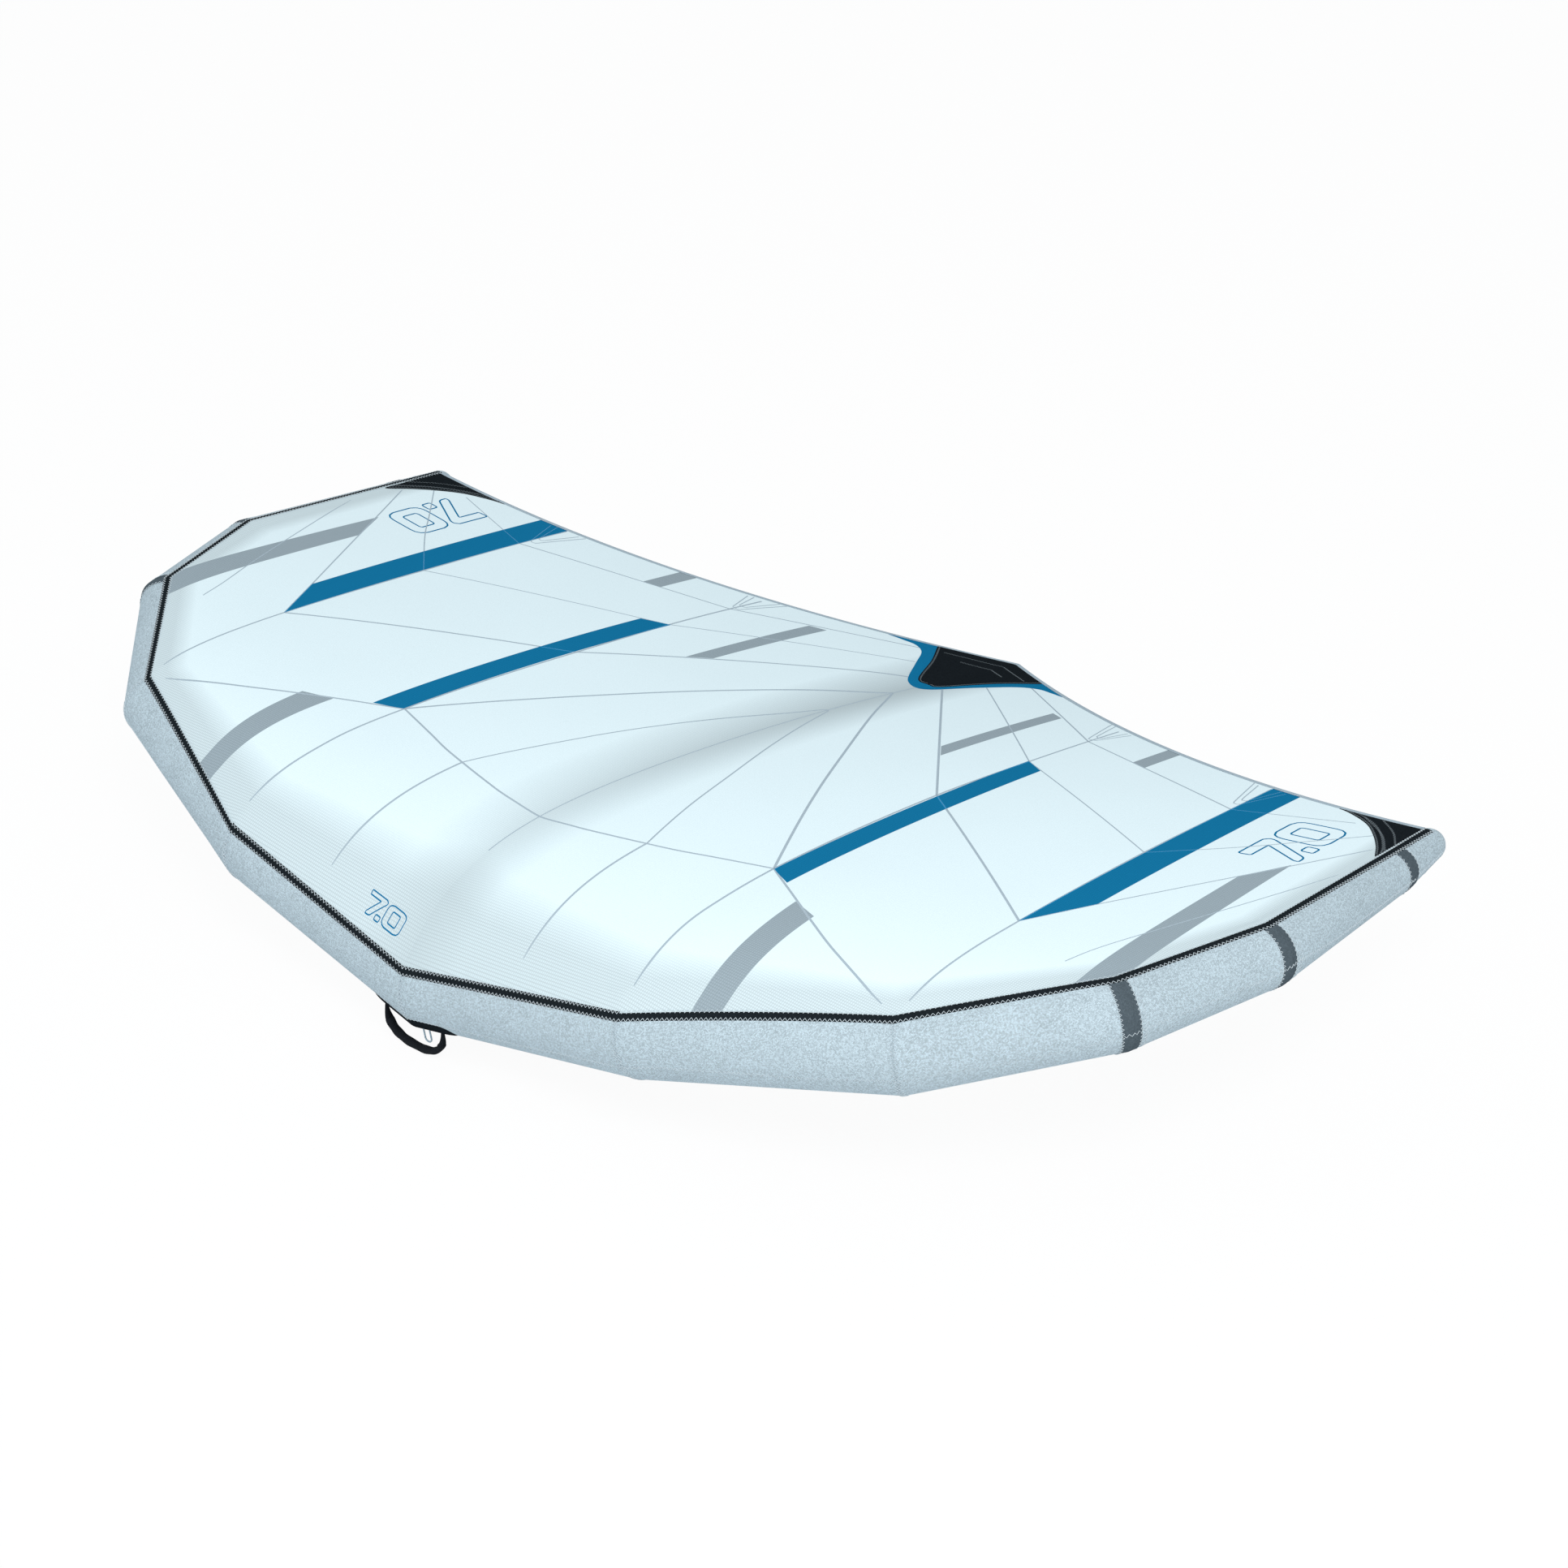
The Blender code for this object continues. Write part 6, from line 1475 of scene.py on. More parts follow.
class WING_OT_tape(bpy.types.Operator):
    """Lays the tape that joins the canopy to the leading edge"""

    bl_idname = "wing.tape"
    bl_label = "Seam tape"

    def execute(self, context):
        finish = finish_named(
            "tape_weave", woven_finish, tuple(context.scene.wing_colours.tape), 0.0024, 0.4
        )
        steps = tube_stations(29)[:, None]
        across = np.array((-1, -0.96, -0.85, -0.5, -0.2, 0, 0.2, 0.5, 0.85, 0.96, 1)) * TAPE_HALF_WIDTH
        right, left = (
            tube(steps, tape_turn(steps, across), tape_height(across), side) for side in (RIGHT, LEFT)
        )
        rows = np.concatenate((left[:0:-1], right))
        piece = grid_piece("seam_tape", rows, metres_map(rows))
        facing(piece, lambda centres: tube_clearance(centres)[1])
        thicken(piece, TAPE_CLOTH)
        dress(piece, finish, nodes=["le_seam_tape"])
        return {"FINISHED"}


def sheet_area(piece):
    """The area of one face of a closed sheet."""
    return float(numbers(piece.data.polygons, "area", 1).sum()) / 2


def declare_sheet(piece):
    """Works out the area of a closed sheet and the two longer sides of its box, from which its cut size would
    come; nothing is done with them.
    """
    area = sheet_area(piece)
    first, second = (
        float(size) for size in sorted(np.ptp(numbers(piece.data.vertices, "co"), axis=0))[1:]
    )


def declare_tube(piece, around):
    """Works out the length of the flat sheet that a sewn tube was cut from; nothing is done with it."""
    sheet_area(piece) / around


class WING_OT_canopy(bpy.types.Operator):
    """Cuts and lays the twelve canopy panels"""

    bl_idname = "wing.canopy"
    bl_label = "Canopy panels"

    def execute(self, context):
        finish = finish_named("canopy_ripstop", canopy_finish, context.scene.wing_colours)
        step = context.scene.wing_sizes.canopy_mesh
        for panel, outline in panel_outlines().items():
            for side in (RIGHT, LEFT):
                label = f"{SIDE_NAMES[side]}_{panel}"
                piece = canopy_cloth(f"panel_{label}", outline, side, step, step * 0.55)
                dress(piece, finish, nodes=[f"canopy_{label}"])
                declare_sheet(piece)
        return {"FINISHED"}


class WING_OT_seams(bpy.types.Operator):
    """Lays the narrow seam tapes and the chevrons over the canopy"""

    bl_idname = "wing.seams"
    bl_label = "Canopy seams"

    def execute(self, context):
        finish = finish_named("seam_weave", seam_finish, context.scene.wing_colours)
        seams, chevrons = Strips(), Strips()
        outer = SEAM_LINES["outer"]
        for name, line in {
            **SEAM_LINES, "outer": outer[distance_to_line(outer, FRONT_PLAN) > 0.03]
        }.items():
            seams.on_canopy(line, SEAM_WIDTHS[name], SEAM_CLOTH)
        for width, line in FINE_SEAMS:
            seams.on_canopy(smooth_line(line, LINE_STEP), width, SEAM_CLOTH)
        middle = np.stack((np.zeros(60), np.linspace(0.3, 2.04, 60)), axis=1)
        seams.on_canopy(middle, MIDDLE_LINE_WIDTH, SEAM_CLOTH, sides=(RIGHT,))
        for corners in CHEVRONS:
            chevrons.on_canopy(np.array(corners), CHEVRON_WIDTH, 0.0004, 0.0001)
        for strips, name in ((seams, "canopy_seams"), (chevrons, "edge_chevrons")):
            piece = strips.piece(name, STRIP_SMOOTH_DEG)
            dress(piece, finish)
        return {"FINISHED"}


MIDDLE_LINE_WIDTH = 0.0035
CHEVRON_WIDTH = 0.0034
STRIP_SMOOTH_DEG = 30.0
THREAD_SMOOTH_DEG = 60.0

# Size figures: outlines in shares of a figure's width and height, then each place's side, start, directions
# along and up, width, height and line width

FIGURE_SEVEN = (
    (0.02, 1), (0.80, 1), (0.90, 0.92), (0.89, 0.82), (0.42, 0.03), (0.34, 0), (0.20, 0), (0.20, 0.09),
    (0.60, 0.78), (0.03, 0.78), (0, 0.96), (0.02, 1),
)
FIGURE_POINT = (
    (0.70, 0), (0.88, 0), (0.91, 0.03), (0.91, 0.20), (0.88, 0.23), (0.70, 0.23), (0.67, 0.20), (0.67, 0.03),
    (0.70, 0),
)
FIGURE_NOUGHT = (
    (1.24, 0), (1.72, 0), (1.86, 0.05), (1.93, 0.14), (1.95, 0.26), (1.95, 0.74), (1.93, 0.86), (1.86, 0.95),
    (1.72, 1), (1.24, 1), (1.10, 0.95), (1.03, 0.86), (1.01, 0.74), (1.01, 0.26), (1.03, 0.14), (1.10, 0.05),
    (1.24, 0),
)
FIGURE_HOLE = (
    (1.32, 0.23), (1.64, 0.23), (1.68, 0.27), (1.68, 0.73), (1.64, 0.77), (1.32, 0.77), (1.28, 0.73),
    (1.28, 0.27), (1.32, 0.23),
)
FIGURE_PLACES = (
    (RIGHT, (1.553, 1.396), (0, 1), (-1, 0), 0.142, 0.146, 0.0052),
    (LEFT, (1.553, 1.700), (0, -1), (-1, 0), 0.142, 0.146, 0.0052),
    (LEFT, (0.182, 0.046), (-0.9976, -0.070), (-0.070, 0.9976), 0.066, 0.040, 0.0026),
)


class WING_OT_figures(bpy.types.Operator):
    """Prints the plain size figures in outline near the nose and the wingtips"""

    bl_idname = "wing.figures"
    bl_label = "Size figures"

    def execute(self, context):
        blue = tuple(context.scene.wing_colours.stripe_blue)
        ink = finish_named("figure_print", laid_weave, blue, 0.0022, 0.12)
        strips = Strips()
        for side, start, along, up, wide, high, width in FIGURE_PLACES:
            for outline in (FIGURE_SEVEN, FIGURE_POINT, FIGURE_NOUGHT, FIGURE_HOLE):
                shares = np.array(outline) * (wide, high)
                line = np.array(start) + shares[:, :1] * np.array(along) + shares[:, 1:] * np.array(up)
                strips.on_canopy(line, width, 0.0003, sides=(side,), step=high * 0.04, tapered=False)
        piece = strips.piece("size_figures", STRIP_SMOOTH_DEG)
        dress(piece, ink)
        return {"FINISHED"}


class WING_OT_hem(bpy.types.Operator):
    """Folds the hem round the trailing edge"""

    bl_idname = "wing.hem"
    bl_label = "Trailing edge hem"

    def execute(self, context):
        finish = finish_named(
            "hem_weave", laid_weave, tuple(context.scene.wing_colours.seam), 0.0018, 0.15
        )
        x = np.linspace(0, HALF_SPAN - 0.014, 150)
        over, under = 0.0011, -CANOPY_THICKNESS - 0.0009
        middle = (over + under) / 2
        half = ((HEM_WIDTH, over), (HEM_WIDTH / 2, over + 0.0003), (0.0005, over - 0.0001))
        fold = ((-0.0009, middle + 0.0006), (-0.0009, middle - 0.0006))
        columns = []
        for inset, lift in (*half, *fold, *((inset, 2 * middle - lift) for inset, lift in half[::-1])):
            line = trailing_plan(inset, HALF_SPAN - 0.012)
            y = np.interp(x, line[:, 0], line[:, 1])
            points = canopy(x, y) + canopy_normal(x, y) * lift
            columns.append(np.concatenate((points[:0:-1] * mirror(LEFT), points)))
        points = np.stack(columns, axis=1)
        piece = grid_piece("hem", points, metres_map(points))

        def outward(centres):
            height = centres[:, 2] - canopy(centres[:, 0], centres[:, 1])[:, 2] - middle
            return np.sign(height)[:, None] * np.array((0, 0, 1.0))

        facing(piece, outward)
        thicken(piece, TAPE_CLOTH)
        dress(piece, finish, nodes=["trailing_edge_hem"])
        return {"FINISHED"}


PATCH_STEP = 0.012
PATCH_LINE_STEP = 0.006


class WING_OT_patches(bpy.types.Operator):
    """Sews the patches at the trailing edge's middle and at the wingtips"""

    bl_idname = "wing.patches"
    bl_label = "Corner patches"

    def execute(self, context):
        colours = context.scene.wing_colours
        black = finish_named("patch_weave", laid_weave, tuple(colours.patch), 0.0026, 0.5)
        blue = finish_named("border_weave", laid_weave, tuple(colours.stripe_blue), 0.0022, 0.12)
        edge = trailing_plan(HEM_WIDTH + EDGE_GAP)
        for name, line, finish, slot, lift, cloth in (
            ("patch", CENTRE_PATCH, black, "patch_cloth", CENTRE_PATCH_LIFT, CLOTH),
            ("border", CENTRE_BORDER, blue, "border_cloth", PATCH_LIFT - 0.0003, 0.0005),
        ):
            line = before(smooth_line(line, PATCH_LINE_STEP), edge)
            outline = both_sides(np.vstack((line, edge[edge[:, 0] < line[-1, 0]][::-1])))
            piece = canopy_cloth(f"centre_{name}", outline, RIGHT, PATCH_STEP, lift=lift, thickness=cloth)
            dress(piece, finish, nodes=[f"trailing_edge_{name}"])
            declare_sheet(piece)
        line = before(smooth_line(TIP_PATCH, PATCH_LINE_STEP), edge)
        front_edge = front_plan(np.linspace(4, LAST_CORNER, 60), TAPE_HALF_WIDTH + EDGE_GAP)
        line = line[line[:, 0] < np.interp(line[:, 1], front_edge[:, 1], front_edge[:, 0]) - 0.001]
        side_edge = before(front_edge[front_edge[:, 1] > line[-1, 1]], edge)
        shut = edge[(edge[:, 0] > line[0, 0]) & (edge[:, 0] < side_edge[-1, 0])]
        outline = np.vstack((line, side_edge, shut[::-1]))
        for side, label in SIDE_NAMES.items():
            piece = canopy_cloth(f"tip_patch_{label}", outline, side, PATCH_STEP, lift=PATCH_LIFT)
            dress(piece, black, nodes=[f"wingtip_patch_{label}"])
            declare_sheet(piece)
        return {"FINISHED"}


def strut_start(turns):
    """The station at which the strut leaves the leading edge tube, for each turn."""
    stations = np.linspace(0, 4, 161)
    height, _ = tube_clearance(strut(stations[:, None], turns[None, :], 0.0))
    found = []
    for column in height.T:
        under = np.flatnonzero(column < 0.0006)
        found.append(stations[under[-1] + 1] if len(under) else 0.0)
    return np.array(found)


def strut_along(stations):
    """Distance along the strut's middle for an array of stations."""
    fine = np.linspace(0, len(STRUT) - 1, 400)
    return np.interp(stations, fine, along_line(strut(fine, np.pi)))


class WING_OT_strut(bpy.types.Operator):
    """Sews the three panels of the centre strut's sleeve"""

    bl_idname = "wing.strut"
    bl_label = "Centre strut"

    def execute(self, context):
        finish = sleeve_finish(context)
        turns = np.linspace(0, math.tau, 97)
        ends = np.array((0.0, 0.012, 0.03, 0.06, 0.1))
        share = np.concatenate((ends[:-1], np.linspace(0.1, 0.9, 26), 1 - ends[-2::-1]))[:, None]
        for i, name in enumerate(("front", "middle", "rear")):
            start, end = STRUT_PANEL_ENDS[i] + (0.004 if i else 0), STRUT_PANEL_ENDS[i + 1] - (
                0.004 if i < 2 else 0
            )
            first = np.full(len(turns), start) if i else strut_start(turns)
            first[-1] = first[0]
            stations = first[None, :] + share * (end - first[None, :])
            gap = np.minimum(share, 1 - share) * (end - start) * STATION_LENGTH
            pull = seam_pull(gap, folded(turns, STRUT_FOLDS, 0, i), 0.0006, 0.0006, 0.02)
            points = strut(stations, turns, pull)
            v = strut_along(stations)
            u = np.broadcast_to((turns - math.pi) * STRUT_RADIUS, v.shape)
            places = np.stack((u, v), axis=-1)
            if i == 2:
                travel = unit((0.0, *STRUT[-1][7:9]))
                points, places = domed_map(
                    points, u, v, travel, STRUT[-1][9], (10, 22, 36, 50, 64, 78, 90)
                )
            piece = grid_piece(f"strut_panel_{name}", points, places, around=True)
            middle = points.reshape(-1, 3).mean(axis=0)
            facing(piece, lambda centres: (centres - middle) * np.array((1.0, 0.0, 0.0)))
            thicken(piece, CLOTH)
            dress(piece, finish, nodes=[f"strut_sleeve_{name}"])
            declare_tube(piece, math.tau * STRUT_RADIUS)
        return {"FINISHED"}


STATION_LENGTH = 0.16

# Handles: each pivot's axes and place in the frame, its reach from root to root and its drop, and half the
# width and thickness of its webbing

HANDLES = {
    "front_handle": (
        ((0, 0.999747, -0.022492), (-1, 0, 0), (0, 0.022492, 0.999747)), (0, 0.001979, 0.087978),
        0.367467, 0.088, 0.0085, 0.0026,
    ),
    "rear_handle": (
        ((0, 0.988765, -0.149477), (-1, 0, 0), (0, 0.149477, 0.988765)), (0, 0.664186, 0.014045),
        0.374090, 0.088, 0.0085, 0.0026,
    ),
    "nose_handle": (
        ((1, 0, 0), (0, 1, 0), (0, 0, 1)), (0, -0.584629, -0.110675), 0.192023, 0.076, 0.0108, 0.0056,
    ),
}
HANDLE_PATH_SHARES = (
    (0, 0), (0, 0.16), (0.022, 0.44), (0.062, 0.70), (0.108, 0.91), (0.150, 0.99), (0.165, 1)
)
HANDLE_WIDTH_SHARES = (0, 0.25, 0.6, 0.9, 1, 1, 1)
ROOT_RADIUS = 0.0045
ROOT_DOME_DEG = (20, 40, 58, 75, 90)
ARC_POWER = 0.8
GRIP_LENGTH = 0.240
GRIP_RADIUS = 0.0165
GRIP_END_RADIUS = 0.0125
GRIP_END = ((0, 0.0), (0, 0.55), (0.0012, 0.86), (0.004, 1.0), (0.010, 1.06))
GRIP_SHOULDER = 0.020
NOSE_GRIP_START_DEG = 24.0
NOSE_GRIP_HALF_WIDTH = 0.0118
NOSE_GRIP_HALF_THICKNESS = 0.0082
NOSE_GRIP_SQUARE = 0.12
NOSE_GRIP_END = 0.004
BASE_MARGIN = 0.045
BASE_HALF_WIDTH = 0.031
NOSE_BASE_HALF_LENGTH = 0.128
NOSE_BASE_HALF_WIDTH = 0.034
NOSE_BASE_TURN_DEG = -45.0
NOSE_BASE_CROWN = 0.004
BLACK = (0.013, 0.015, 0.018)


def placed(axes, origin, local):
    """Points of a pivot's own frame in the wing's frame."""
    return np.asarray(local) @ np.asarray(axes, float) + np.asarray(origin, float)


def strap_path(reach, drop):
    """A handle's middle line from end to end in its pivot's frame, with its share of the full width."""
    shares = zip(HANDLE_PATH_SHARES, HANDLE_WIDTH_SHARES)
    half = [(-reach / 2 + reach * x, -drop * z, share) for (x, z), share in shares]
    return smooth_line(half + [(-x, z, share) for x, z, share in reversed(half)], 0.006)


def arc_path(reach, drop, first_deg=0.0):
    """A rounder middle line for the short handle at the nose."""
    turns = np.radians(np.linspace(first_deg, 180 - first_deg, 61))
    x = -reach / 2 * np.sign(np.cos(turns)) * np.abs(np.cos(turns)) ** ARC_POWER
    return np.stack((x, -drop * np.sin(turns) ** ARC_POWER, np.clip(np.sin(turns) / 0.35, 0, 1)), axis=1)


def strap_rows(path, wide, thick, square, end):
    """Rings round a middle line, closed with round ends of this radius."""
    travel = unit(np.gradient(path[:, :2], axis=0))
    normal = np.stack((travel[:, 1], np.zeros(len(path)), -travel[:, 0]), axis=1)
    turns = np.linspace(0, math.tau, 33)
    across, over = (
        np.sign(way) * np.abs(way) ** (1 - square[:, None]) for way in (np.cos(turns), np.sin(turns))
    )
    centres = np.stack((path[:, 0], np.zeros(len(path)), path[:, 1]), axis=1)
    rows = centres[:, None] + (across * wide[:, None])[..., None] * np.array((0, 1.0, 0))
    rows = rows + (over * thick[:, None])[..., None] * normal[:, None]
    outs = [np.array((way[0], 0, way[1])) * end for way in (-travel[0], travel[-1])]
    return domed(rows, outs, ROOT_DOME_DEG)


def webbing_rows(path, half_width, half_thickness):
    share = np.clip(path[:, 2], 0, 1)
    wide, thick = (lerp(ROOT_RADIUS, size, share) for size in (half_width, half_thickness))
    return strap_rows(path, wide, thick, 0.35 * share, ROOT_RADIUS)


def grip_rows(drop):
    """Rings of a straight padded grip with a welt along it."""
    insets = np.array([inset for inset, _ in GRIP_END] + [GRIP_SHOULDER])
    ends = np.array([GRIP_END_RADIUS * size for _, size in GRIP_END] + [GRIP_RADIUS])
    middle = np.linspace(0.03, GRIP_LENGTH - 0.03, 30)
    crown = GRIP_RADIUS * (1 + 0.02 * np.cos(middle / GRIP_LENGTH * math.tau))
    x = np.concatenate((insets, middle, GRIP_LENGTH - insets[::-1])) - GRIP_LENGTH / 2
    size = np.maximum(np.concatenate((ends, crown, ends[::-1])), 1e-5)
    turns = np.linspace(0, math.tau, 49)
    welt = 0.0006 * np.exp(-(((turns - math.pi / 2) / 0.12) ** 2))
    ring = size[:, None] * (1 + 0.03 * np.cos(2 * turns)) + welt * (size > GRIP_END_RADIUS * 0.7)[:, None]
    x = np.broadcast_to(x[:, None], ring.shape)
    return np.stack((x, ring * np.cos(turns), -drop + ring * np.sin(turns)), axis=-1)


def nose_grip_rows(reach, drop):
    """Rings of the nose handle's padding, with shallow ribs along it."""
    path = arc_path(reach, drop, NOSE_GRIP_START_DEG)
    swell = 1 + 0.05 * np.sin(np.arange(len(path)) * 0.55)
    wide, thick = NOSE_GRIP_HALF_WIDTH * swell, NOSE_GRIP_HALF_THICKNESS * swell
    return strap_rows(path, wide, thick, np.full(len(path), NOSE_GRIP_SQUARE), NOSE_GRIP_END)


class WING_OT_handles(bpy.types.Operator):
    """Makes the three handles, each a webbing loop with a padded grip, and the patches under them"""

    bl_idname = "wing.handles"
    bl_label = "Handles"

    def execute(self, context):
        web = finish_named("webbing_weave", woven_finish, BLACK, 0.0014, 0.5)
        foam = finish_named("grip_foam", foam_finish, BLACK)
        patch_colour = tuple(context.scene.wing_colours.patch)
        patch = finish_named("handle_patch_weave", woven_finish, patch_colour, 0.0022, 0.5)
        for name, (axes, origin, reach, drop, half_width, half_thickness) in HANDLES.items():
            short = name == "nose_handle"
            path = arc_path(reach, drop) if short else strap_path(reach, drop)
            rows = placed(axes, origin, webbing_rows(path, half_width, half_thickness))
            loop = facing_out(grid_piece(f"{name}_strap", rows, metres_map(rows), around=True, origin=0))
            dress(loop, web, body=name, nodes=[f"{name}_webbing"])
            rows = placed(axes, origin, nose_grip_rows(reach, drop) if short else grip_rows(drop))
            grip = facing_out(grid_piece(f"{name}_foam", rows, metres_map(rows), around=True, origin=0))
            dress(grip, foam, body=name, nodes=[f"{name}_grip"])
        for name, (_, origin, reach, *_) in HANDLES.items():
            if name == "nose_handle":
                base = nose_patch(f"{name}_base")
            else:
                base = strut_patch(f"{name}_base", origin[1] + ORIGIN[1], reach)
            dress(base, patch, nodes=[f"{name}_patch"])
            declare_sheet(base)
        return {"FINISHED"}


def rounded_outline(half_length, half_width):
    turns = np.linspace(-math.pi / 2, math.pi / 2, 17)
    right = np.stack(
        (half_length - half_width + half_width * np.cos(turns), half_width * np.sin(turns)), axis=1
    )
    return np.vstack((right, -right))


def flat_patch(name, outline, placed_at, down, step=0.01, crown=0.0):
    """A cut patch put on a surface by placed_at(u, v, lift). crown is how much higher its middle is."""
    plan, faces = cut_sheet(outline, step)
    inset = distance_to_line(plan, np.vstack((outline, outline[:1])))
    lift = 0.0004 + 0.0008 * np.clip(inset / 0.0015, 0, 1)
    lift = lift + crown * np.sin(np.clip(inset / NOSE_BASE_HALF_WIDTH, 0, 1) * math.pi / 2)
    piece = mesh_piece(name, placed_at(plan[:, 0], plan[:, 1], lift), faces)
    lay_map(piece, plan, piece.data.uv_layers.new(name="UVMap"))
    facing(piece, lambda centres: np.array(down))
    return thicken(piece, PATCH_CLOTH)


def strut_patch(name, y, reach):
    stations = np.linspace(0, len(STRUT) - 1, 300)
    under = strut(stations, np.pi)[:, 1]

    def placed_at(u, v, lift):
        station = np.interp(y + u, under, stations)
        radius = np.interp(station, np.arange(len(STRUT)), STRUT[:, 9])
        return strut(station, np.pi + v / radius, lift)

    outline = rounded_outline(reach / 2 + BASE_MARGIN, BASE_HALF_WIDTH)
    return flat_patch(name, outline, placed_at, (0, 0, -1.0))


def nose_patch(name):
    def placed_at(u, v, lift):
        turn = math.radians(NOSE_BASE_TURN_DEG) + v / NOSE_RADIUS
        return tube(np.abs(u) / tape_point(1)[0], turn, lift) * mirror(np.where(u < 0, -1.0, 1.0))

    outline = rounded_outline(NOSE_BASE_HALF_LENGTH, NOSE_BASE_HALF_WIDTH)
    return flat_patch(name, outline, placed_at, (0, -1.0, -1.0), 0.006, NOSE_BASE_CROWN)


# Leash loop: its pivot's axes and place, half its width, its straight depth and the cord's radius

LEASH_AXES = ((0.980562, 0.059008, 0.187127), (-0.06007, 0.998194, 0), (-0.186789, -0.011241, 0.982336))
LEASH_PLACE = (0.04088, -0.586251, -0.119445)
LEASH_HALF_WIDTH = 0.010
LEASH_DEPTH = 0.026
LEASH_RADIUS = 0.0021


class WING_OT_leash_loop(bpy.types.Operator):
    """Hangs the leash loop beside the nose handle"""

    bl_idname = "wing.leash_loop"
    bl_label = "Leash loop"

    def execute(self, context):
        finish = finish_named(
            "leash_braid", braid_finish, (0.42, 0.53, 0.60), (0.05, 0.2, 0.32), 8.0, 0.010
        )
        half = LEASH_HALF_WIDTH
        turns = np.linspace(math.pi, math.tau, 17)
        bend = np.stack((half * np.cos(turns), np.zeros(17), -LEASH_DEPTH + half * np.sin(turns)), axis=1)
        legs = np.linspace((-half, 0, 0), bend[0], 8)[:-1], np.linspace(bend[-1], (half, 0, 0), 8)[1:]
        path = placed(LEASH_AXES, LEASH_PLACE, np.vstack((legs[0], bend, legs[1])))
        up = np.array(LEASH_AXES[2]) * LEASH_RADIUS
        rows = domed(tube_rows(path, 16, LEASH_RADIUS), [up, up], (30, 60, 90))
        along = along_line(path)
        v = np.concatenate(((0, 0, 0), along, (along[-1],) * 3))
        places = np.stack(floats(np.linspace(0, 1, 17)[None, :], v[:, None]), axis=-1)
        piece = facing_out(grid_piece("leash_cord", rows, places, around=True, origin=0))
        dress(piece, finish, body="leash_loop_body", nodes=["leash_loop"])
        return {"FINISHED"}


# Hose and fittings

HOSE_PORTS = (
    ((-0.124036, -0.344437, -0.003957), (0.039074, 0.999236, 0.0)),
    ((-0.061997, -0.088237, 0.158697), (-0.950159, -0.015179, -0.311397)),
)
HOSE_START = 0.006
HOSE_STRAIGHT = 0.022
HOSE_BEND = 0.13
HOSE_RADIUS = 0.0092
HOSE_BORE_RADIUS = 0.0067


def hose_path():
    """The hose's middle line, straight off each port and bent between them."""
    places, ways = (np.array(part) for part in zip(*HOSE_PORTS))
    starts, ends = places + ways * HOSE_START, places + ways * HOSE_STRAIGHT
    bends = starts + ways * HOSE_BEND
    t = np.linspace(0, 1, 31)[:, None]
    curve = (1 - t) ** 3 * ends[0] + 3 * t * (1 - t) ** 2 * bends[0] + 3 * t**2 * (
        1 - t
    ) * bends[1] + t**3 * ends[1]
    return np.vstack((starts[:1], curve, starts[1:]))


class WING_OT_hose(bpy.types.Operator):
    """Makes the hose that fills the strut from the leading edge"""

    bl_idname = "wing.hose"
    bl_label = "Strut hose"

    def execute(self, context):
        finish = finish_named("hose_tube", moulded_finish, (0.55, 0.60, 0.63), 0.35, 260.0)
        path = resampled(hose_path(), 0.008)
        rows, inner = (tube_rows(path, 28, radius) for radius in (HOSE_RADIUS, HOSE_BORE_RADIUS))
        first, last = (lerp(rows[k], inner[k], 0.5)[None] for k in (0, -1))
        rows = np.concatenate((rows, last, inner[::-1], first, rows[:1]))
        piece = facing_out(grid_piece("hose_tube_piece", rows, metres_map(rows), around=True, origin=0))
        dress(piece, finish, nodes=["strut_hose"])
        return {"FINISHED"}


FITTINGS = (
    ("inflation_valve_base", "valve_body", (0.05, 0.055, 0.06), 0.45),
    ("inflation_valve_insert", "valve_insert", (0.012, 0.15, 0.32), 0.38),
    ("inflation_valve_plunger", "valve_plunger", (0.62, 0.64, 0.66), 0.4),
    ("inflation_valve_cap", "valve_cap", (0.03, 0.032, 0.036), 0.42),
    ("hose_port_front", "hose_port", (0.5, 0.54, 0.57), 0.4),
    ("hose_port_rear", "hose_port", (0.5, 0.54, 0.57), 0.4),
    ("hose_clip_base", "hose_clip", (0.012, 0.15, 0.32), 0.4),
    ("hose_clip_jaw", "hose_clip", (0.012, 0.15, 0.32), 0.4),
)


class WING_OT_fittings(bpy.types.Operator):
    """Gives the valve, ports and hose clip their moulded finishes"""

    bl_idname = "wing.fittings"
    bl_label = "Valve and fittings"

    def execute(self, context):
        for node, slot, colour, roughness in FITTINGS:
            finish = finish_named(f"{slot}_plastic", moulded_finish, colour, roughness)
            frame["nodes"][node].material_slots[0].material = finish
        return {"FINISHED"}


# Stitching: where the rows beside the tape lie, and those at each corner along the tube

TAPE_ROW = TAPE_HALF_WIDTH - 0.003
SEAM_ROWS = (-0.004, 0.004)
BAND_ROWS = (-BAND_HALF_WIDTH, BAND_HALF_WIDTH)
CORNER_ROWS = (
    SEAM_ROWS, SEAM_ROWS, SEAM_ROWS, (*BAND_ROWS, 0.034), (*BAND_ROWS, 0.034, 0.045), BAND_ROWS
)
HEM_LIFT = 0.001
SEAM_LENGTH = 0.6
BURIED_SHARE = 0.7
PATCH_STITCH_SHARE = 0.8


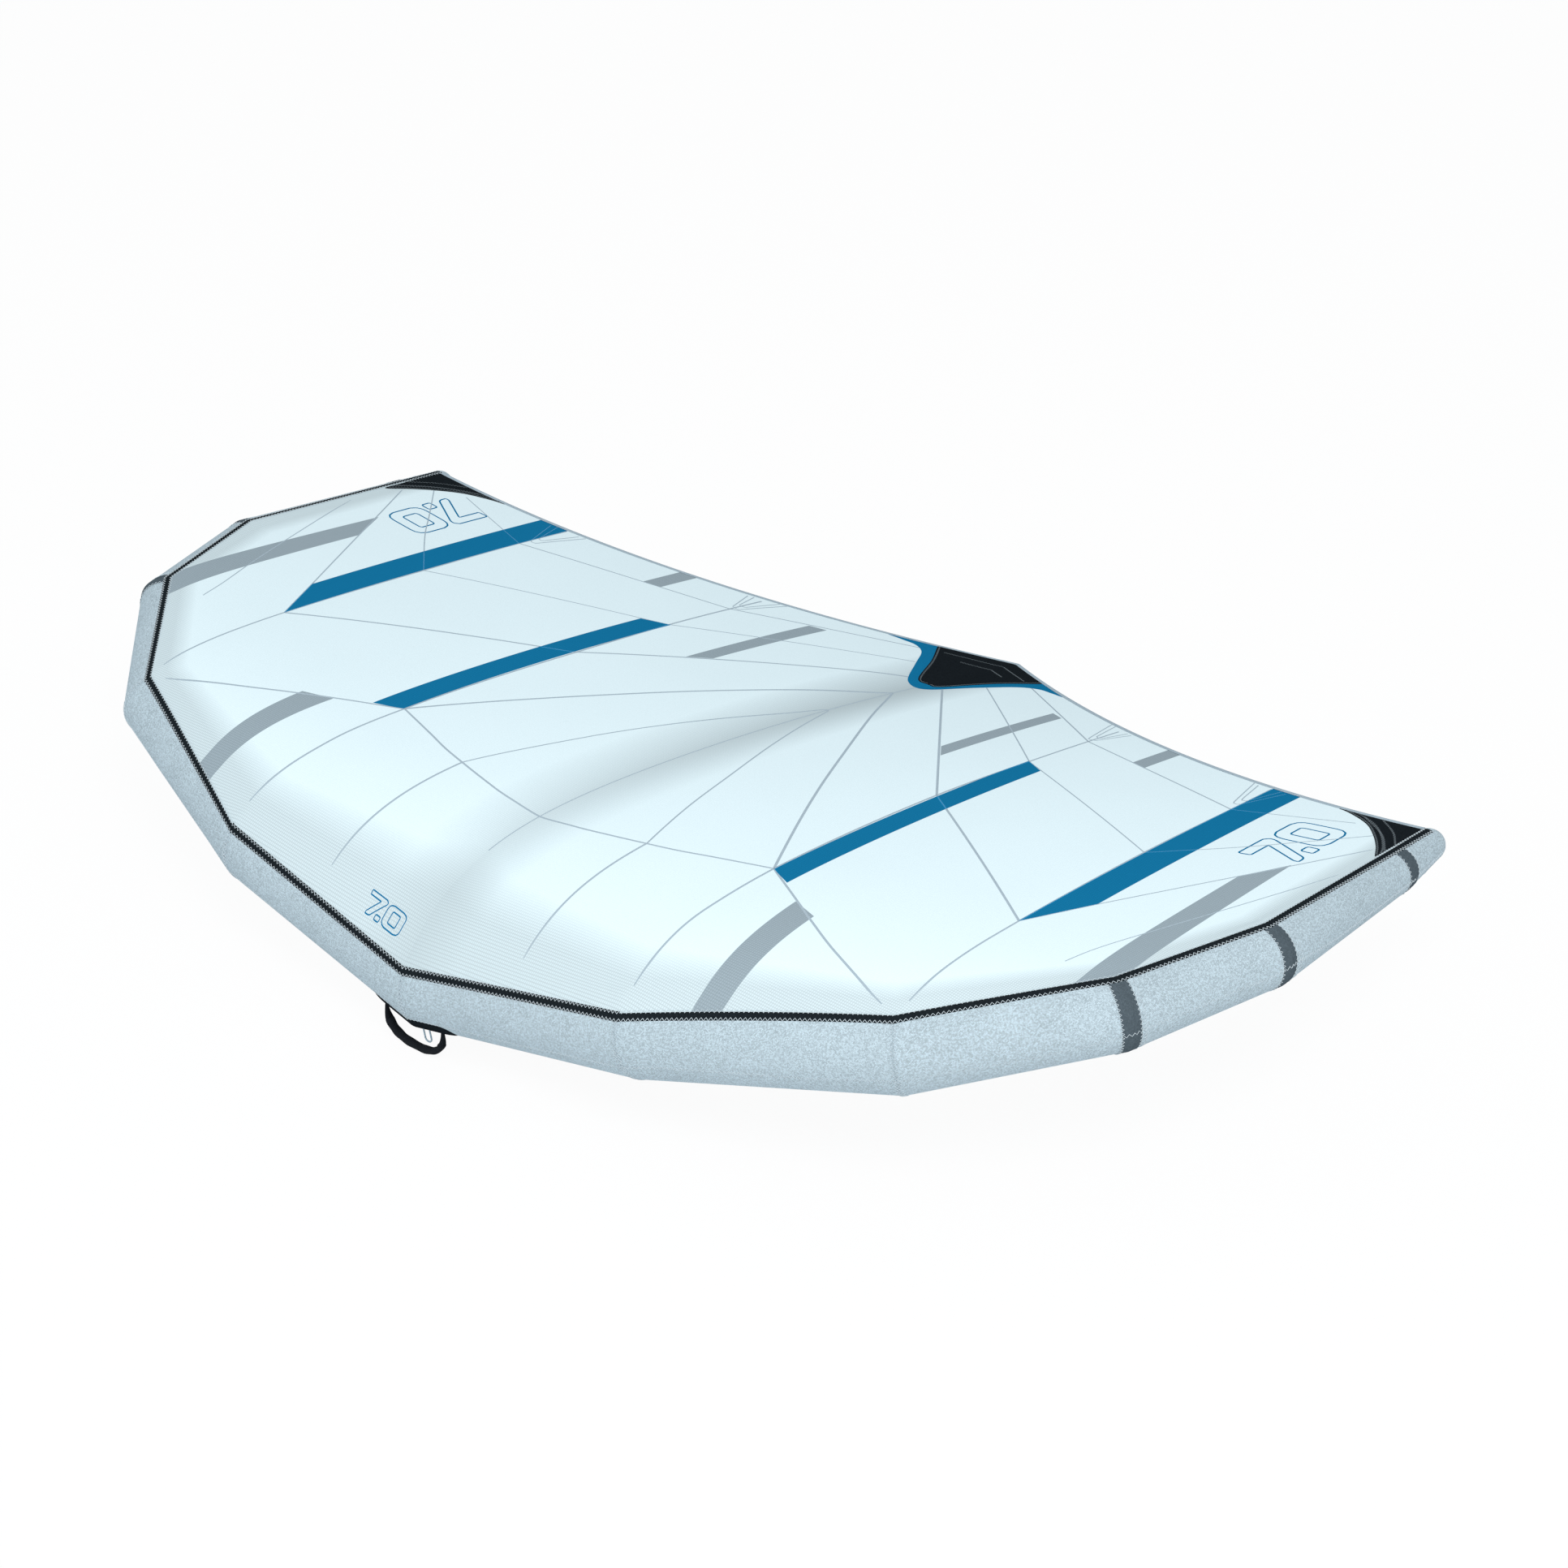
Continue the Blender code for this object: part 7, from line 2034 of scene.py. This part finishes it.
class WING_OT_stitching(bpy.types.Operator):
    """Sews the zigzag rows of the leading edge, the patches and the hem"""

    bl_idname = "wing.stitching"
    bl_label = "Stitching"

    def execute(self, context):
        colours, sizes = context.scene.wing_colours, context.scene.wing_sizes
        light = finish_named("light_thread", thread_finish, colours.thread)
        dark = finish_named("patch_thread", thread_finish, colours.patch_thread)
        pitch, width, radius = sizes.stitch_pitch, sizes.stitch_width, sizes.thread_radius
        edges, rings, seam, sewn = Threads(), Threads(), Threads(), Threads()
        lengths = np.concatenate(
            ([0], np.cumsum([segment_length(corner) for corner in range(LAST_CORNER)]))
        )
        total = sum(segment_length(corner) for corner in range(LAST_CORNER))
        along, across = zigzag(total, pitch, width)
        stations = np.interp(along / total * total, lengths, range(LAST_CORNER + 1))
        corners = np.rint(stations)
        banded = (
            np.abs(stations - corners) * SEAM_LENGTH < BAND_HALF_WIDTH
        ) & (corners >= 3) & (corners < 6)
        for side in (RIGHT, LEFT):
            for edge in (-TAPE_ROW, TAPE_ROW):
                place = across + edge
                cloth = CANOPY_LIFT if edge > 0 else 0.0
                lift = np.where(np.abs(place) < TAPE_HALF_WIDTH, tape_height(place), cloth)
                lift = lift + radius + (HEM_LIFT if edge > 0 else 0)
                edges.on_tube(stations, tape_turn(stations, place), lift, side, radius)
            for corner, rows in enumerate(CORNER_ROWS):
                for shift in rows if corner or side == RIGHT else ():
                    self.sew_corner(rings, side, corner, shift, pitch, width, radius)
            turns = seam_turn(stations) + across / station_radius(stations)
            lift = np.where(banded, BAND_LIFT, 0.0) + radius * BURIED_SHARE
            seam.on_tube(stations, turns, lift, side, radius)
            self.sew_patches(sewn, side, pitch, width, radius)
        for threads, name, finish, slot in (
            (
                edges, "tape_stitching", light, "seam_tape_cloth"
            ), (rings, "corner_stitching", light, "sleeve_cloth"),
            (
                seam, "sleeve_seam_stitching", light, "sleeve_cloth"
            ), (sewn, "patch_stitching", dark, "patch_cloth"),
        ):
            dress(threads.piece(name, THREAD_SMOOTH_DEG), finish)
        return {"FINISHED"}

    def sew_corner(self, rings, side, corner, shift, pitch, width, radius):
        """One row round the tube, from one side of the tape to the other."""
        reach = segment_length(corner if shift > 0 else max(corner - 1, 0))
        station = corner + shift / reach
        tube_radius = float(station_radius(abs(station)))
        around = math.tau * tube_radius - 2 * TAPE_HALF_WIDTH
        gap = (TAPE_HALF_WIDTH + 0.001) / tube_radius
        along, across = zigzag(around, pitch, width)
        stations = station + across / reach
        turns = float(tape_turn(abs(station))) + gap + along / around * (math.tau - 2 * gap)
        on_band = (np.abs(stations - corner) * reach < BAND_HALF_WIDTH) & (corner in BAND_CORNERS)
        rings.on_tube(
            stations, turns, np.where(on_band, BAND_LIFT, 0.0) + radius * BURIED_SHARE, side, radius
        )

    def sew_patches(self, sewn, side, pitch, width, radius):
        """The rows on a wingtip patch and on one half of the patch at the trailing edge."""
        rim = offset_line(smooth_line(TIP_PATCH, STITCH_STEP)[20:-20], 0.004)
        kite = offset_line(smooth_line(CENTRE_PATCH[:4], STITCH_STEP), 0.006)
        rows = [(smooth_line(row, STITCH_STEP), PATCH_LIFT, 0.7) for row in TIP_STITCH_ROWS]
        rows += [(rim, PATCH_LIFT, 0.6), (kite[kite[:, 0] > 0], CENTRE_PATCH_LIFT, 0.6)]
        for depth in (0.05, 0.10):
            rows.append((trailing_plan(HEM_WIDTH + depth, 0.22 - depth * 0.8), CENTRE_PATCH_LIFT, 0.6))
        for line, lift, share in rows:
            lift, thin = lift + radius * BURIED_SHARE, radius * PATCH_STITCH_SHARE
            sewn.on_canopy(line, side, lift, thin, pitch * PATCH_STITCH_SHARE, width * share)


# Stage and camera

WORLD_LIGHT = 0.66
FLOOR_WHITE = 0.95
FLOOR_RADIUS = 60
FLOOR_GAP = 0.003
LIGHTS = (
    ("key_light", (4.0, -3.0, 6.0), 3.0, 290.0, (1.0, 1.0, 1.0)),
    ("side_light", (-4.0, -4.0, 3.0), 4.0, 45.0, (0.95, 0.98, 1.0)),
)
LIGHT_TARGET = (0, 0.4, 0)
CAMERA_PLACE = (4.2859, -4.344602, 3.707181)
CAMERA_AXES = ((0.76773, -0.31469, 0.55817), (0.64077, 0.37678, -0.66892), (0.00019, 0.87121, 0.4909))
CAMERA_LENS = 65.2146
SENSOR_WIDTH = 36


def stage_finish(name):
    """A pale floor that looks white but keeps the object's shadow."""
    finish = Finish(name, 0.9)
    soft = finish.noise(0.5, 2.0)
    finish.colour(finish.mix(soft * 0.05, (0.93, 0.94, 0.95), (0.88, 0.89, 0.90)))
    white = finish.node("ShaderNodeEmission", None, {"Color": (1.0, 1.0, 1.0), "Strength": 1.0})
    paint = Value(finish, finish.shader.outputs[0])
    both = finish.node("ShaderNodeMixShader", values=[finish.to_eye() * FLOOR_WHITE, paint, white])
    finish.fill(finish.tree.nodes["Material Output"].inputs["Surface"], both)
    return finish.material


def stage_object(name, data, place):
    carrier = bpy.data.objects.new(name, data)
    bpy.context.scene.collection.objects.link(carrier)
    carrier.location = place
    return carrier


class WING_OT_stage(bpy.types.Operator):
    """Sets the pale floor, the soft lights and the camera"""

    bl_idname = "wing.stage"
    bl_label = "Stage"

    def execute(self, context):
        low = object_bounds()[0][2]
        activate()
        bpy.ops.mesh.primitive_circle_add(
            vertices=96, radius=FLOOR_RADIUS, fill_type="NGON", location=(0, 0, 0)
        )
        floor = context.object
        floor.name = "floor"
        floor.data.transform(Matrix.Translation((0, 0, low - FLOOR_GAP)))
        floor.data.materials.append(stage_finish("floor_paint"))
        floor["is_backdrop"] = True
        world = bpy.data.worlds.new("studio")
        context.scene.world = world
        world.use_nodes = True
        studio = Nodes(world.node_tree)
        light = studio.node(
            "ShaderNodeBackground", None, {"Color": (0.93, 0.97, 1.0), "Strength": WORLD_LIGHT}
        )
        white = studio.node("ShaderNodeBackground", None, {"Color": (1.0, 1.0, 1.0), "Strength": 1.0})
        both = studio.node("ShaderNodeMixShader", values=[studio.to_eye(), light, white])
        studio.fill(studio.tree.nodes["World Output"].inputs["Surface"], both)
        for name, place, size, power, colour in LIGHTS:
            lamp = bpy.data.lights.new(name, "AREA")
            lamp.shape = "DISK"
            lamp.size, lamp.energy, lamp.color = size, power, colour
            aim = (Vector(LIGHT_TARGET) - Vector(place)).to_track_quat("-Z", "Y")
            stage_object(name, lamp, place).rotation_euler = aim.to_euler()
        seen = bpy.data.cameras.new("camera")
        seen.sensor_width, seen.lens, seen.clip_end = SENSOR_WIDTH, CAMERA_LENS, 200
        holder = stage_object("camera", seen, CAMERA_PLACE)
        holder.matrix_world = Matrix.Translation(CAMERA_PLACE) @ Matrix(CAMERA_AXES).to_4x4()
        context.scene.camera = holder
        context.scene.view_settings.view_transform = "Standard"
        return {"FINISHED"}


STEPS = (
    WING_OT_bladders, WING_OT_sleeves, WING_OT_bands, WING_OT_canopy, WING_OT_seams, WING_OT_figures,
    WING_OT_hem, WING_OT_patches, WING_OT_tape, WING_OT_strut, WING_OT_handles, WING_OT_leash_loop,
    WING_OT_hose, WING_OT_fittings, WING_OT_stitching, WING_OT_stage,
)


class WING_PT_panel(bpy.types.Panel):
    """Lists the wing's settings and building steps"""

    bl_idname = "WING_PT_panel"
    bl_label = "Inflatable hand wing"
    bl_space_type = "VIEW_3D"
    bl_region_type = "UI"
    bl_category = "Wing"

    def draw(self, context):
        layout = self.layout
        for settings in (context.scene.wing_colours, context.scene.wing_sizes):
            box = layout.box()
            for name in settings.bl_rna.properties.keys():
                if name not in ("rna_type", "name"):
                    box.prop(settings, name)
        for step in STEPS:
            layout.operator(step.bl_idname)


CLASSES = (WingColours, WingSizes, *STEPS, WING_PT_panel)


def register():
    for made in CLASSES:
        bpy.utils.register_class(made)
    bpy.types.Scene.wing_colours = bpy.props.PointerProperty(type=WingColours)
    bpy.types.Scene.wing_sizes = bpy.props.PointerProperty(type=WingSizes)


def unregister():
    del bpy.types.Scene.wing_sizes
    del bpy.types.Scene.wing_colours
    for made in reversed(CLASSES):
        bpy.utils.unregister_class(made)


def main():
    register()
    for step in STEPS:
        group, name = step.bl_idname.split(".")
        getattr(getattr(bpy.ops, group), name)()


if __name__ == "__main__":
    main()
